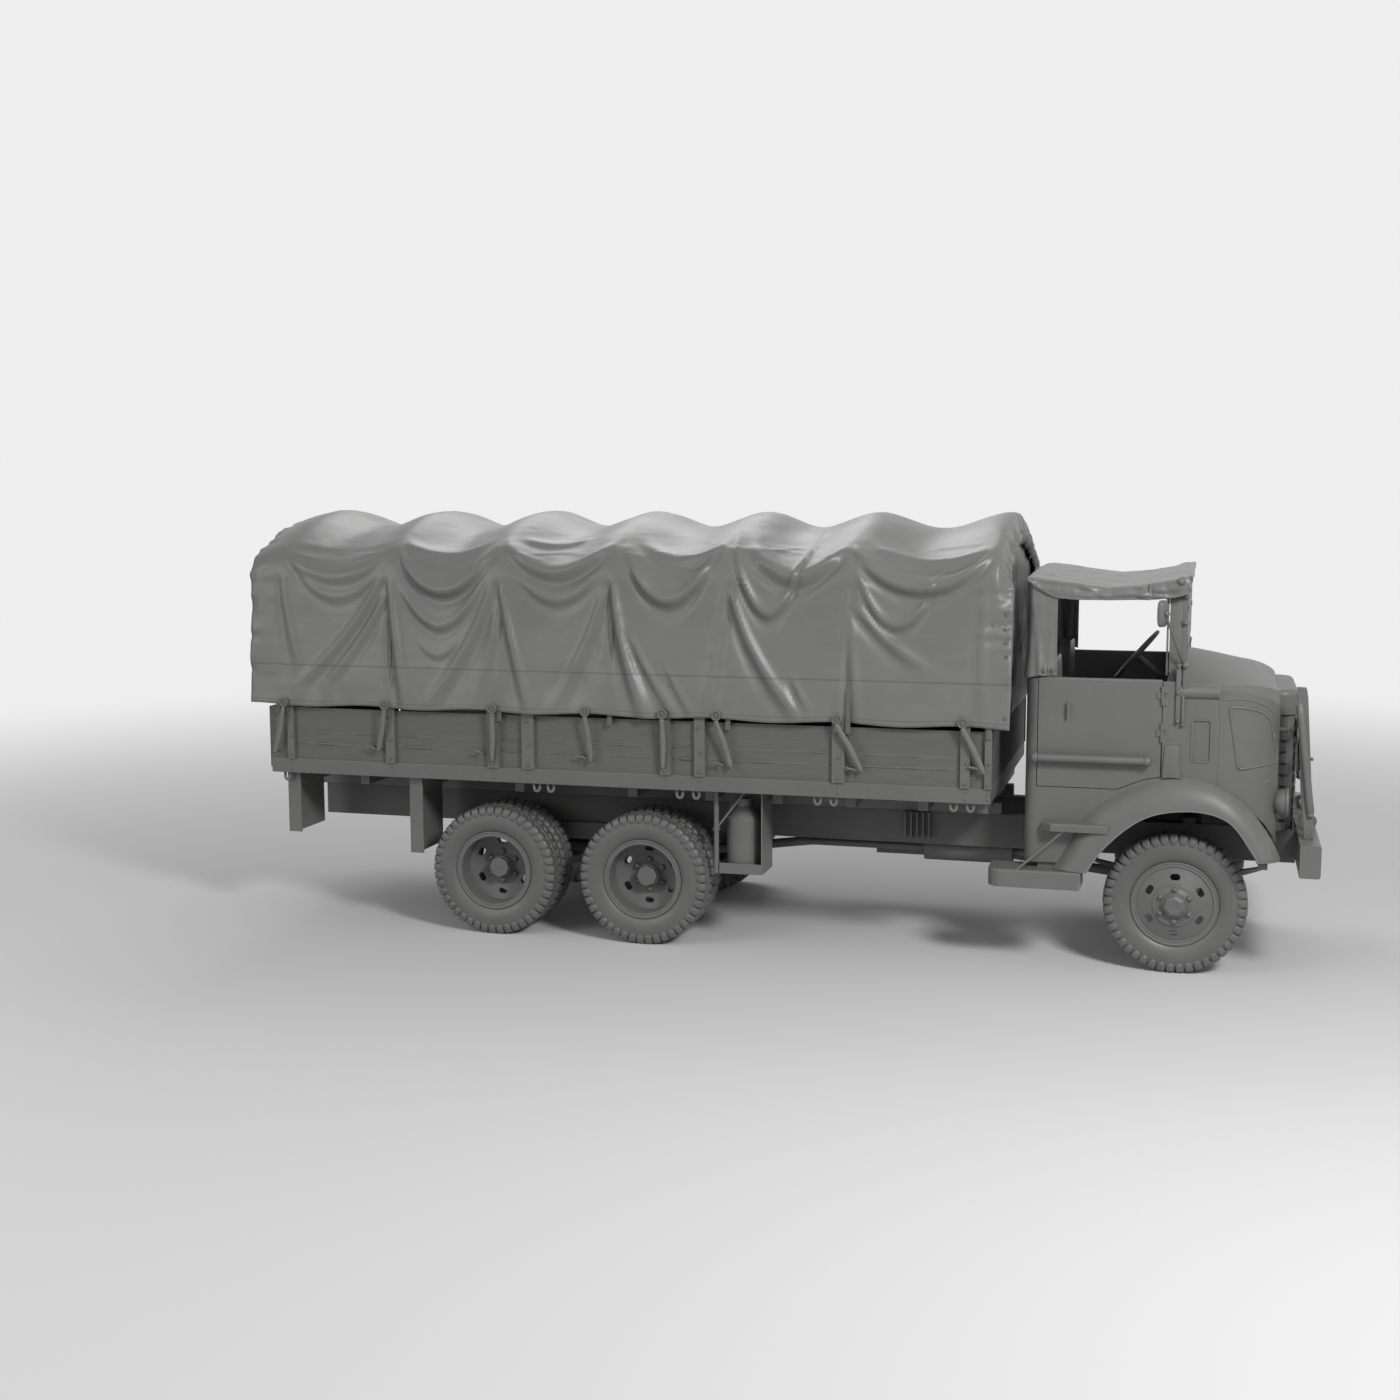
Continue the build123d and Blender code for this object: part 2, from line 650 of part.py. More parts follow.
cab_inside = cab_half_width - wall
nose_outer = nose_solid(0, 0)
nose_inner = nose_solid(wall, -wall)
with BuildPart() as hatch_skin:
    with BuildSketch(Plane.XZ.offset(-cab_half_width - overrun)):
        with BuildLine():
            Polyline(*[(bogie_x + reach, z) for reach, z in hatch_outline], close=True)
        make_face()
    extrude(amount=cab_half_width * 2 + overrun * 2)
    fillet(hatch_skin.edges().filter_by(Axis.Y), plate * 2)
    add(nose_solid(-hatch_proud, 0), mode=Mode.INTERSECT)
    add(nose_inner, mode=Mode.SUBTRACT)
with BuildPart() as cab_body:
    block(cab_rear_x, screen_x + part_gap, -cab_half_width, cab_half_width, skirt_bottom, belt_height)
    rear_corners = cab_body.edges().filter_by(Axis.Z).group_by(Axis.X)[0]
    fillet(rear_corners, cab_corner_radius)
    add(nose_outer)
    add(cab_hollow(screen_x - wall, floor_top, belt_height + overrun), mode=Mode.SUBTRACT)
    add(cab_hollow(screen_x + overrun, skirt_bottom - overrun, floor_bottom), mode=Mode.SUBTRACT)
    block(
        cab_rear_x - overrun, cab_rear_x + wall + overrun, -frame_half_width - engine_bay_gap,
        frame_half_width + engine_bay_gap, skirt_bottom - overrun, frame_top + engine_bay_gap, mode=Mode.SUBTRACT,
    )
    add(nose_inner, mode=Mode.SUBTRACT)
    block(
        screen_x, nose_front_x + overrun, -cab_half_width - overrun, cab_half_width + overrun,
        skirt_bottom - overrun, nose_bottom + wall, mode=Mode.SUBTRACT,
    )
    block(
        cowl_x, nose_front_x + overrun * 4, -cab_half_width - overrun, cab_half_width + overrun,
        hood_split_z, cover_top, mode=Mode.SUBTRACT,
    )
    with BuildSketch(Plane.XZ.offset(-cab_half_width - overrun)) as arch:
        arch_face(sheet * 2, skirt_bottom - overrun * 4)
        with Locations((front_axle_x, floor_bottom)):
            Rectangle(
                arch_half_span * 3, arch_half_span, align=(Align.CENTER, Align.MIN), mode=Mode.SUBTRACT
            )
    extrude(amount=cab_half_width * 2 + overrun * 2, mode=Mode.SUBTRACT)
    block(
        bogie_x + engine_rear_reach - engine_bay_gap, screen_x + overrun,
        -engine_half_width - engine_bay_gap, engine_half_width + engine_bay_gap,
        floor_bottom - overrun, engine_bottom + engine_height + engine_bay_gap, mode=Mode.SUBTRACT,
    )
    block(
        nose_front_x - wall * 3, nose_front_x + overrun, -grille_opening_half_width, grille_opening_half_width,
        nose_bottom - overrun, grille_opening_top, mode=Mode.SUBTRACT,
    )
    add(door_solid(door_gap), mode=Mode.SUBTRACT)
    add(door_solid(door_gap).mirror(Plane.XZ), mode=Mode.SUBTRACT)
    with BuildSketch(Plane.XZ.offset(cab_half_width)):
        with BuildLine():
            Polyline(*[(bogie_x + reach, z) for reach, z in pillar_plate], close=True)
        make_face()
    extrude(amount=plate)
    with BuildSketch(Plane.XZ.offset(-cab_half_width)):
        with BuildLine():
            Polyline(*[(bogie_x + reach, z) for reach, z in pillar_plate], close=True)
        make_face()
    extrude(amount=-plate)
    for side in (-1, 1):
        for height in hinge_heights:
            hinge_half(side, height + hinge_barrel_height + seat_gap, hinge_leaf)
            hinge_half(side, height - hinge_barrel_height - seat_gap, hinge_leaf)
    for side in (-1, 1):
        roll_y = side * (cab_half_width - roll_radius + roll_proud)
        bar((cowl_x - roll_radius, roll_y, roll_z), (bogie_x + seam_reach, roll_y, roll_z), roll_radius)
        seam_ends = sorted((side * (cab_half_width - sheet * 2), side * (cab_half_width + overrun)))
        block(
            bogie_x + seam_reach, bogie_x + seam_reach + seam_width, seam_ends[0], seam_ends[1],
            nose_bottom, roll_z - roll_radius, mode=Mode.SUBTRACT,
        )
        louvre_middle = (bogie_x + louvre_reach + louvre_width / 2, louvre_low + louvre_height / 2)
        with BuildSketch(Plane.XZ.offset(-side * cab_half_width)) as louvre_rim:
            with Locations(louvre_middle):
                RectangleRounded(
                    louvre_width + louvre_lip * 2, louvre_height + louvre_lip * 2, louvre_corner + louvre_lip
                )
        extrude(to_extrude=louvre_rim.sketch, amount=louvre_lip / 2, both=True)
        with BuildSketch(Plane.XZ.offset(-side * cab_half_width)) as louvre_face:
            with Locations(louvre_middle):
                RectangleRounded(louvre_width, louvre_height, louvre_corner)
        extrude(to_extrude=louvre_face.sketch, amount=plate, both=True, mode=Mode.SUBTRACT)
        for knob_reach, knob_y, knob_z in knob_places:
            with Locations((bogie_x + knob_reach, side * knob_y, knob_z)):
                Sphere(knob_radius)
    add(hatch_skin.part)
finish(cab_body, "cab_shell")

with BuildPart() as hood:
    add(nose_outer)
    add(nose_inner, mode=Mode.SUBTRACT)
    block(
        screen_x - overrun, nose_front_x + overrun * 4, -cab_half_width - overrun, cab_half_width + overrun,
        0, hood_split_z + seat_gap, mode=Mode.SUBTRACT,
    )
    block(
        screen_x - overrun, cowl_x + seat_gap, -cab_half_width - overrun, cab_half_width + overrun,
        0, cover_top, mode=Mode.SUBTRACT,
    )
finish(hood, "hood")

# Doors: low steel doors hinged at their front edges, each with a grab bar and a handle
grab_z = 1435
grab_radius = 26
grab_rear_reach = 3256
grab_front_reach = 3968
grab_out = 48
grab_knob_radius = 33
handle_reach = 3460
handle_low = 1700
handle_length = 100
handle_radius = 9
door_top_radius = 12
door_y = -cab_half_width + door_thickness / 2
grab_y = -cab_half_width - grab_out
handle_y = -cab_half_width - grab_out / 2
with BuildPart() as door_right:
    add(door_solid(0).mirror(Plane.XZ))
    block(
        door_rear_x - overrun, door_front_x + overrun, -cab_half_width - overrun * 2, -cab_half_width,
        door_bottom - overrun, belt_height + overrun, mode=Mode.SUBTRACT,
    )
    block(
        door_rear_x - overrun, door_front_x + overrun, -cab_half_width + door_thickness,
        -cab_half_width + wall + overrun * 2, door_bottom - overrun, belt_height + overrun, mode=Mode.SUBTRACT,
    )
    bar((door_rear_x, door_y, belt_height), (door_front_x, door_y, belt_height), door_top_radius)
    bar((bogie_x + grab_rear_reach, grab_y, grab_z), (bogie_x + grab_front_reach, grab_y, grab_z), grab_radius)
    with Locations((bogie_x + grab_rear_reach, grab_y, grab_z), (bogie_x + grab_front_reach, grab_y, grab_z)):
        Sphere(grab_knob_radius)
    for reach in (grab_rear_reach + grab_knob_radius * 2, grab_front_reach - grab_knob_radius * 2):
        bar((bogie_x + reach, door_y, grab_z), (bogie_x + reach, grab_y, grab_z), handle_radius)
    bar(
        (bogie_x + handle_reach, handle_y, handle_low),
        (bogie_x + handle_reach, handle_y, handle_low + handle_length), handle_radius,
    )
    for height in (handle_low + handle_radius, handle_low + handle_length - handle_radius):
        bar((bogie_x + handle_reach, door_y, height), (bogie_x + handle_reach, handle_y, height), handle_radius)
    for height in hinge_heights:
        hinge_half(-1, height, -hinge_leaf)
finish(door_right, "door_right")

with BuildPart() as door_left:
    add(door_right.part.mirror(Plane.XZ))
finish(door_left, "door_left")

# Grille: flat slats bent round the front of the radiator, under a rounded cap
grille_rear_reach = 4756
grille_front_reach = 4915
grille_half_width = 500
grille_corner = 110
grille_low = frame_top + seat_gap
grille_high = 1700
slat_height = 55
slat_pitch = 76
slat_thickness = 12
cap_top = 1865
stay_width = 20
grille_rear_x = bogie_x + grille_rear_reach
grille_front_x = bogie_x + grille_front_reach
nose_face_x = nose_front_x + seat_gap


def grille_band(low, height, inset):
    """A level band round the front of the grille, or a filled one with no inset."""
    with BuildSketch(Plane.XY.offset(low)) as band:
        with Locations((nose_face_x, 0)):
            Rectangle(grille_front_x - nose_face_x, grille_half_width * 2, align=(Align.MIN, Align.CENTER))
        fillet(band.vertices().group_by(Axis.X)[-1], grille_corner)
        if inset:
            with Locations((nose_face_x - overrun, 0)):
                Rectangle(
                    grille_front_x - nose_face_x - inset + overrun, (grille_half_width - inset) * 2,
                    align=(Align.MIN, Align.CENTER), mode=Mode.SUBTRACT,
                )
    extrude(to_extrude=band.sketch, amount=height)


with BuildPart() as grille:
    slat_count = int((grille_high - grille_low) / slat_pitch)
    for step in range(slat_count):
        grille_band(grille_low + step * slat_pitch, slat_height, slat_thickness)
    for y in (-grille_half_width / 2, 0, grille_half_width / 2):
        block(
            grille_front_x - slat_thickness - stay_width, grille_front_x - slat_thickness,
            y - stay_width / 2, y + stay_width / 2, grille_low, grille_high,
        )
    for side in (-1, 1):
        ends = sorted((side * (grille_half_width - slat_thickness), side * (grille_half_width - stay_width * 2)))
        block(nose_face_x, nose_face_x + stay_width, ends[0], ends[1], grille_low, grille_high)
    grille_band(grille_high, cap_top - grille_high, 0)
    cap_edges = grille.edges().group_by(Axis.Z)[-1].filter_by(
        lambda edge: edge.center().X > nose_face_x + seat_gap
    )
    fillet(cap_edges, stay_width * 2)
finish(grille, "grille")

# Radiator: a core in its frame, standing behind the grille
radiator_reach = 4690
radiator_depth = 60
radiator_half_width = 330
radiator_low = 940
radiator_high = 1700
with BuildPart() as radiator:
    block(
        bogie_x + radiator_reach - radiator_depth, bogie_x + radiator_reach,
        -radiator_half_width, radiator_half_width, radiator_low, radiator_high,
    )
    block(
        bogie_x + radiator_reach - radiator_depth, bogie_x + radiator_reach,
        -radiator_half_width / 2, radiator_half_width / 2, frame_top - cross_drop, radiator_low,
    )
finish(radiator, "radiator")

# Windscreen: a two-pane frame standing on the cowl, with rails back to the rear of the cab
screen_front_reach = 4196
screen_depth = 30
screen_half_width = 930
screen_top = 2620
pane_inner_y = 30
pane_outer_y = 865
pane_low = 2150
pane_high = 2600
roof_rail_radius = 16
glass_thickness = 5
glass_lap = 10
roof_post_reach = 3232
roof_post_foot = 10
screen_rear_x = bogie_x + screen_front_reach - screen_depth
screen_front_x = bogie_x + screen_front_reach
roof_rail_z = 2500
with BuildPart() as screen_frame:
    block(screen_rear_x, screen_front_x, -screen_half_width, screen_half_width, belt_height, screen_top)
    add(nose_outer, mode=Mode.SUBTRACT)
    for side in (-1, 1):
        ends = sorted((side * pane_inner_y, side * pane_outer_y))
        block(
            screen_rear_x - overrun, screen_front_x + overrun, ends[0], ends[1], pane_low, pane_high,
            mode=Mode.SUBTRACT,
        )
        rail_y = side * (screen_half_width - roof_rail_radius)
        bar((bogie_x + roof_post_reach, rail_y, roof_rail_z), (screen_rear_x, rail_y, roof_rail_z), roof_rail_radius)
        bar(
            (bogie_x + roof_post_reach, rail_y, belt_height + seat_gap),
            (bogie_x + roof_post_reach, rail_y, roof_rail_z), roof_rail_radius,
        )
        foot_ends = sorted((rail_y, rail_y - side * roof_rail_radius))
        block(
            cab_rear_x + wall * 3 / 4, bogie_x + roof_post_reach, foot_ends[0], foot_ends[1],
            belt_height + seat_gap, belt_height + roof_post_foot,
        )
    bar(
        (bogie_x + roof_post_reach, -screen_half_width + roof_rail_radius, roof_rail_z),
        (bogie_x + roof_post_reach, screen_half_width - roof_rail_radius, roof_rail_z), roof_rail_radius,
    )
finish(screen_frame, "windscreen_frame")

with BuildPart() as screen_glass:
    for side in (-1, 1):
        ends = sorted((side * (pane_inner_y - glass_lap), side * (pane_outer_y + glass_lap)))
        block(
            screen_front_x, screen_front_x + glass_thickness, ends[0], ends[1],
            pane_low - glass_lap, pane_high + glass_lap,
        )
finish(screen_glass, "windscreen_glass")

# Cab canvas: a crowned roof with side valances, quarter curtains and a rear wall with a window
canvas_thickness = 6
roof_half_width = 1000
valance_bottom = 2480
curtain_front_reach = 3380
cab_window_half_width = 280
cab_window_low = 2150
cab_window_high = 2380
# Sections of the roof: reach from the bogie, height of its side, height of its crown
roof_sections = (
    (3190, 2575, 2665), (3450, 2545, 2650), (3700, 2520, 2640), (3950, 2565, 2665), (4205, 2640, 2725),
)


def roof_solid(inset):
    """The cab's roof as one solid down to its valances, drawn in by inset."""
    with BuildPart() as part:
        for reach, side_top, crown in roof_sections:
            half = roof_half_width - inset
            low = valance_bottom - (overrun if inset else 0)
            edge_shift = inset * 2 if inset else 0
            x = bogie_x + reach
            if reach == roof_sections[0][0]:
                x += inset
            if reach == roof_sections[-1][0]:
                x += edge_shift
            with BuildSketch(Plane(origin=(x, 0, 0), x_dir=(0, 1, 0), z_dir=(1, 0, 0))):
                with BuildLine():
                    knee = (half, side_top - inset)
                    Polyline((-half, side_top - inset), (-half, low), (half, low), knee)
                    ThreePointArc(knee, (0, crown - inset), (-half, side_top - inset))
                make_face()
        loft(ruled=True)
    return part.part


roof_outer = roof_solid(0)
roof_inner = roof_solid(canvas_thickness)
with BuildPart() as canvas_hollow:
    block(
        cab_rear_x + part_gap + canvas_thickness, bogie_x + curtain_front_reach + overrun,
        -cab_half_width + sheet + canvas_thickness, cab_half_width - sheet - canvas_thickness,
        belt_height - overrun, valance_bottom + overrun * 3,
    )
    fillet(
        canvas_hollow.edges().filter_by(Axis.Z).group_by(Axis.X)[0], cab_corner_radius - canvas_thickness
    )
with BuildPart() as cab_canvas:
    block(
        cab_rear_x + part_gap, bogie_x + curtain_front_reach, -cab_half_width + sheet, cab_half_width - sheet,
        belt_height + seat_gap, valance_bottom + overrun * 2,
    )
    fillet(cab_canvas.edges().filter_by(Axis.Z).group_by(Axis.X)[0], cab_corner_radius)
    add(canvas_hollow.part, mode=Mode.SUBTRACT)
    block(
        cab_rear_x - overrun, cab_rear_x + overrun * 2, -cab_window_half_width, cab_window_half_width,
        cab_window_low, cab_window_high, mode=Mode.SUBTRACT,
    )
    block(
        door_rear_x - door_gap, bogie_x + curtain_front_reach + overrun, -cab_half_width, cab_half_width,
        belt_height - overrun, belt_height + door_top_radius + part_gap, mode=Mode.SUBTRACT,
    )
    add(roof_outer)
    add(roof_inner, mode=Mode.SUBTRACT)
    block(
        cab_rear_x + part_gap, cab_rear_x + part_gap + canvas_thickness, -roof_half_width / 2,
        roof_half_width / 2, cab_window_high, valance_bottom + overrun * 3,
    )
finish(cab_canvas, "cab_canvas")

# Mirrors: a long head on an arm from the foot of each windscreen pillar
mirror_reach = 4045
mirror_y = 1095
mirror_low = 2310
mirror_height = 175
mirror_half_width = 48
mirror_depth = 24
mirror_arm_radius = 8
mirror_foot_z = 2000
with BuildPart() as mirrors:
    for side in (-1, 1):
        head_x = bogie_x + mirror_reach
        head_z = mirror_low + mirror_height / 2
        block(
            head_x - mirror_depth / 2, head_x + mirror_depth / 2, side * mirror_y - mirror_half_width,
            side * mirror_y + mirror_half_width, mirror_low, mirror_low + mirror_height,
        )
        foot = (screen_rear_x + screen_depth / 2, side * (screen_half_width - sheet), mirror_foot_z + overrun * 2)
        elbow = (screen_rear_x, side * mirror_y, head_z - mirror_half_width)
        bar(foot, elbow, mirror_arm_radius)
        bar(elbow, (head_x, side * mirror_y, head_z), mirror_arm_radius)
        with Locations(elbow):
            Sphere(mirror_arm_radius)
    add(screen_frame.part, mode=Mode.SUBTRACT)
finish(mirrors, "mirrors")

# Fenders: a convex flare round each front arch, standing off the cab's side
fender_skin = 8
fender_lip_y = 1090
fender_bulge_y = 1058
fender_foot_z = 692
# The lip's line: shares of the half span from the arch's middle, and of the rise above its foot
lip_line_shares = (
    (-0.724, -0.124), (-0.594, 0.183), (-0.407, 0.418), (-0.157, 0.616), (0.113, 0.690), (0.361, 0.684),
    (0.551, 0.605), (0.700, 0.413), (0.799, 0.249),
)
side_line_shares = (
    (-1.0, 0.0), (-0.864, 0.237), (-0.718, 0.536), (-0.422, 0.808), (-0.149, 0.944), (0.101, 1.0),
    (0.524, 0.882), (0.845, 0.545), (1.0, 0.229),
)
bulge_share = 0.42


def flare_points(bulge, inset):
    """Points of the flare's outline between the cab's side (bulge 0) and its lip (bulge 1)."""
    points = []
    for (side_x, side_z), (lip_x, lip_z) in zip(side_line_shares, lip_line_shares):
        share_x = side_x + (lip_x - side_x) * bulge
        share_z = side_z + (lip_z - side_z) * bulge
        x = front_axle_x + arch_middle_offset + share_x * arch_half_span
        z = arch_foot_z + share_z * arch_rise
        away = Vector(x - front_axle_x, z - axle_z).normalized() * inset
        points.append((x - away.X, z - away.Y))
    return points


def flare_solid(inset, low_y, high_y):
    """The flare on the left side as one solid between two widths, drawn in by inset."""
    with BuildPart() as part:
        for bulge, y in ((0, low_y), (bulge_share, fender_bulge_y), (1, high_y)):
            points = flare_points(bulge, inset)
            with BuildSketch(Plane(origin=(0, y, 0), x_dir=(1, 0, 0), z_dir=(0, -1, 0))):
                with BuildLine():
                    Spline(*points)
                    foot = axle_z - inset
                    Polyline(points[-1], (points[-1][0], foot), (points[0][0], foot), points[0])
                make_face()
        loft()
    return part.part


flare_outer = flare_solid(0, cab_half_width + seat_gap, fender_lip_y)
flare_inner = flare_solid(fender_skin, cab_half_width + seat_gap, fender_lip_y)
for side, hand in ((1, "left"), (-1, "right")):
    with BuildPart() as fender:
        add(flare_outer if side == 1 else flare_outer.mirror(Plane.XZ))
        add(flare_inner if side == 1 else flare_inner.mirror(Plane.XZ), mode=Mode.SUBTRACT)
        block(
            front_axle_x - arch_half_span * 2, front_axle_x, -fender_lip_y * 2, fender_lip_y * 2,
            0, fender_foot_z, mode=Mode.SUBTRACT,
        )
        block(
            front_axle_x, front_axle_x + arch_half_span * 2, -fender_lip_y * 2, fender_lip_y * 2,
            0, arch_foot_z + arch_rise / 5, mode=Mode.SUBTRACT,
        )
    finish(fender, f"fender_{hand}")

# Steps: a long lower step on hangers and a short upper one on the cab's side, tied by a flat strap
lower_step_rear_reach = 2960
lower_step_front_reach = 3568
lower_step_top = 688
lower_step_height = 118
lower_step_inner_y = 800
lower_step_corner = 100
upper_step_rear_reach = 3310
upper_step_front_reach = 3735
upper_step_top = 1012
upper_step_height = 52
upper_step_corner = 60
step_edge = 12
hanger_rear_reach = 3280
hanger_width = 150
strap_low_reach = 3135
strap_high_reach = 3470
strap_width = 34
for side, hand in ((1, "left"), (-1, "right")):
    upper_ends = sorted((side * (cab_half_width + seat_gap), side * (fender_lip_y + part_gap)))
    with BuildPart() as upper:
        block(
            bogie_x + upper_step_rear_reach, bogie_x + upper_step_front_reach, upper_ends[0], upper_ends[1],
            upper_step_top - upper_step_height, upper_step_top,
        )
        rear_edge = upper.edges().filter_by(Axis.Z).group_by(Axis.X)[0].sort_by(Axis.Y)
        chamfer(rear_edge[-1] if side == 1 else rear_edge[0], upper_step_corner)
        fillet(upper.faces().sort_by(Axis.Z)[-1].edges(), step_edge)
    with BuildPart() as step_body:
        ends = sorted((side * lower_step_inner_y, side * fender_lip_y))
        block(
            bogie_x + lower_step_rear_reach, bogie_x + lower_step_front_reach, ends[0], ends[1],
            lower_step_top - lower_step_height, lower_step_top,
        )
        outer_rear = step_body.edges().filter_by(Axis.Z).group_by(Axis.X)[0].sort_by(Axis.Y)
        fillet(outer_rear[-1] if side == 1 else outer_rear[0], lower_step_corner)
        fillet(step_body.faces().sort_by(Axis.Z)[-1].edges(), step_edge)
        hanger_ends = sorted((side * (cab_inside - seat_gap), side * (cab_inside - seat_gap - plate)))
        block(
            bogie_x + hanger_rear_reach, bogie_x + hanger_rear_reach + hanger_width,
            hanger_ends[0], hanger_ends[1], lower_step_top - overrun, skirt_bottom + hanger_width / 2,
        )
        add(upper.part)
        strap_y = side * (fender_lip_y - strap_width / 2 - step_edge)
        with BuildSketch(Plane.XZ.offset(-strap_y - strap_width / 2)) as strap_face:
            with BuildLine():
                low_x, high_x = bogie_x + strap_low_reach, bogie_x + strap_high_reach
                Polyline(
                    (low_x, lower_step_top - step_edge), (low_x + overrun, lower_step_top - step_edge),
                    (high_x + overrun, upper_step_top - upper_step_height / 2),
                    (high_x, upper_step_top - upper_step_height / 2), close=True,
                )
            make_face()
        extrude(to_extrude=strap_face.sketch, amount=strap_width)
        add(flare_outer if side == 1 else flare_outer.mirror(Plane.XZ), mode=Mode.SUBTRACT)
    finish(step_body, f"step_{hand}")

# Lamps: a headlamp on each front corner of the nose with a smaller lamp below it
headlamp_front_reach = 4906
headlamp_y = 720
headlamp_z = 1625
headlamp_radius = 80
headlamp_depth = 100
lamp_rim = 12
lower_lamp_front_reach = 4850
lower_lamp_y = 750
lower_lamp_z = 1160
lower_lamp_radius = 88
lamp_arm_radius = 16
with BuildPart() as lamps:
    for side in (-1, 1):
        front_x = bogie_x + headlamp_front_reach
        rear_x = front_x - headlamp_depth
        bar((rear_x + headlamp_depth / 2, side * headlamp_y, headlamp_z), (front_x, side * headlamp_y, headlamp_z),
            headlamp_radius)
        with Locations((rear_x + headlamp_depth / 2, side * headlamp_y, headlamp_z)):
            Sphere(headlamp_radius)
        bar(
            (front_x - lamp_rim * 2, side * headlamp_y, headlamp_z),
            (front_x - lamp_rim, side * headlamp_y, headlamp_z), headlamp_radius + lamp_rim / 2,
        )
        front_x = bogie_x + lower_lamp_front_reach
        with Locations((front_x - lamp_rim, side * lower_lamp_y, lower_lamp_z)):
            Sphere(lower_lamp_radius)
        block(
            front_x, front_x + lower_lamp_radius * 2, side * lower_lamp_y - lower_lamp_radius * 2,
            side * lower_lamp_y + lower_lamp_radius * 2, lower_lamp_z - lower_lamp_radius * 2,
            lower_lamp_z + lower_lamp_radius * 2, mode=Mode.SUBTRACT,
        )
        arm_y = side * (nose_sections[-1][1] - lamp_arm_radius * 3)
        for height, lamp_y, reach in (
            (headlamp_z, headlamp_y, headlamp_front_reach - headlamp_depth / 2),
            (lower_lamp_z, lower_lamp_y, lower_lamp_front_reach - lower_lamp_radius / 2),
        ):
            bar((nose_face_x - wall, arm_y, height), (bogie_x + reach, side * lamp_y, height), lamp_arm_radius)
    add(nose_outer, mode=Mode.SUBTRACT)
finish(lamps, "headlamps")

# Engine cover, seats and instrument panel inside the cab
cover_half_width = 290
cover_rear_reach = 3385
cover_inside_top = 1580
cover_skin = 20
seat_half_width = 215
seat_centre_y = 600
seat_rear_reach = 3290
seat_depth = 420
seat_low = 1480
seat_height = 130
seat_back_depth = 100
seat_back_top = 2080
seat_leg = 40
dash_reach = 4080
dash_low = 1620
with BuildPart() as engine_cover:
    block(
        bogie_x + cover_rear_reach, screen_x - wall - seat_gap, -cover_half_width, cover_half_width,
        floor_top + seat_gap, cover_inside_top,
    )
    fillet(engine_cover.edges().filter_by(Axis.X).group_by(Axis.Z)[-1], cover_skin * 2)
    block(
        bogie_x + cover_rear_reach + cover_skin, screen_x, -cover_half_width + cover_skin,
        cover_half_width - cover_skin, floor_top - overrun, cover_inside_top - cover_skin, mode=Mode.SUBTRACT,
    )
finish(engine_cover, "engine_cover")

with BuildPart() as seats:
    for side in (-1, 1):
        seat_x = bogie_x + seat_rear_reach
        low_y = side * seat_centre_y - seat_half_width
        high_y = side * seat_centre_y + seat_half_width
        block(seat_x, seat_x + seat_depth, low_y, high_y, seat_low, seat_low + seat_height)
        block(
            seat_x - seat_back_depth / 4, seat_x + seat_back_depth, low_y, high_y,
            seat_low + seat_height, seat_back_top,
        )
        for leg_x in (seat_x + seat_leg, seat_x + seat_depth - seat_leg * 2):
            for leg_y in (low_y + seat_leg, high_y - seat_leg * 2):
                block(leg_x, leg_x + seat_leg, leg_y, leg_y + seat_leg, floor_top + seat_gap, seat_low)
finish(seats, "seats")

wheel_hub_reach = 3830
wheel_hub_y = 450
wheel_hub_z = 1980
wheel_radius = 222
wheel_rim_radius = 13
wheel_boss_radius = 34
column_radius = 24
column_slope_shares = (0.76, -0.65)
column_start = 17.3
column_end = 325
spoke_radius = 8
hub_point = Vector(bogie_x + wheel_hub_reach, wheel_hub_y, wheel_hub_z)
column_way = Vector(column_slope_shares[0], 0, column_slope_shares[1]).normalized()
with BuildPart() as dash:
    block(
        bogie_x + dash_reach, screen_x - wall - seat_gap, -cab_inside + seat_gap, cab_inside - seat_gap,
        dash_low, belt_height - seat_gap,
    )
    bar(hub_point + column_way * column_start, hub_point + column_way * column_end, column_radius)
    add(engine_cover.part, mode=Mode.SUBTRACT)
finish(dash, "dash_and_column")

wheel_plane = Plane(origin=hub_point, z_dir=column_way)
with BuildPart() as steering_wheel:
    with Locations(wheel_plane):
        Torus(wheel_radius, wheel_rim_radius)
        Cylinder(wheel_boss_radius, wheel_boss_radius)
    for step in range(3):
        turn = math.radians(90 + 120 * step)
        tip = wheel_plane.from_local_coords(
            Vector(math.cos(turn) * wheel_radius, math.sin(turn) * wheel_radius, 0)
        )
        bar(hub_point, tip, spoke_radius)
finish(steering_wheel, "steering_wheel")

# Bumper: a deep bar across the rail ends, with two tow hooks on top of the rails
bumper_low = 720
bumper_height = 212
bumper_half_width = 1020
bumper_edge = 16
hook_plate = 14
hook_eye_radius = 22
hook_reach = 60
bumper_x = front_end_x - bumper_depth
with BuildPart() as bumper:
    block(bumper_x, front_end_x, -bumper_half_width, bumper_half_width, bumper_low, bumper_low + bumper_height)
    fillet(bumper.faces().sort_by(Axis.X)[-1].edges(), bumper_edge)
    for side in (-1, 1):
        hook_y = side * (frame_half_width - hook_plate * 3)
        hook_z = bumper_low + bumper_height + hook_eye_radius * 2
        with BuildSketch(Plane.XZ.offset(-hook_y - hook_plate)):
            with Locations((front_end_x - hook_reach, hook_z)):
                SlotOverall(hook_reach * 2, hook_eye_radius * 4)
                Circle(hook_eye_radius, mode=Mode.SUBTRACT)
        extrude(amount=hook_plate * 2)
finish(bumper, "bumper")

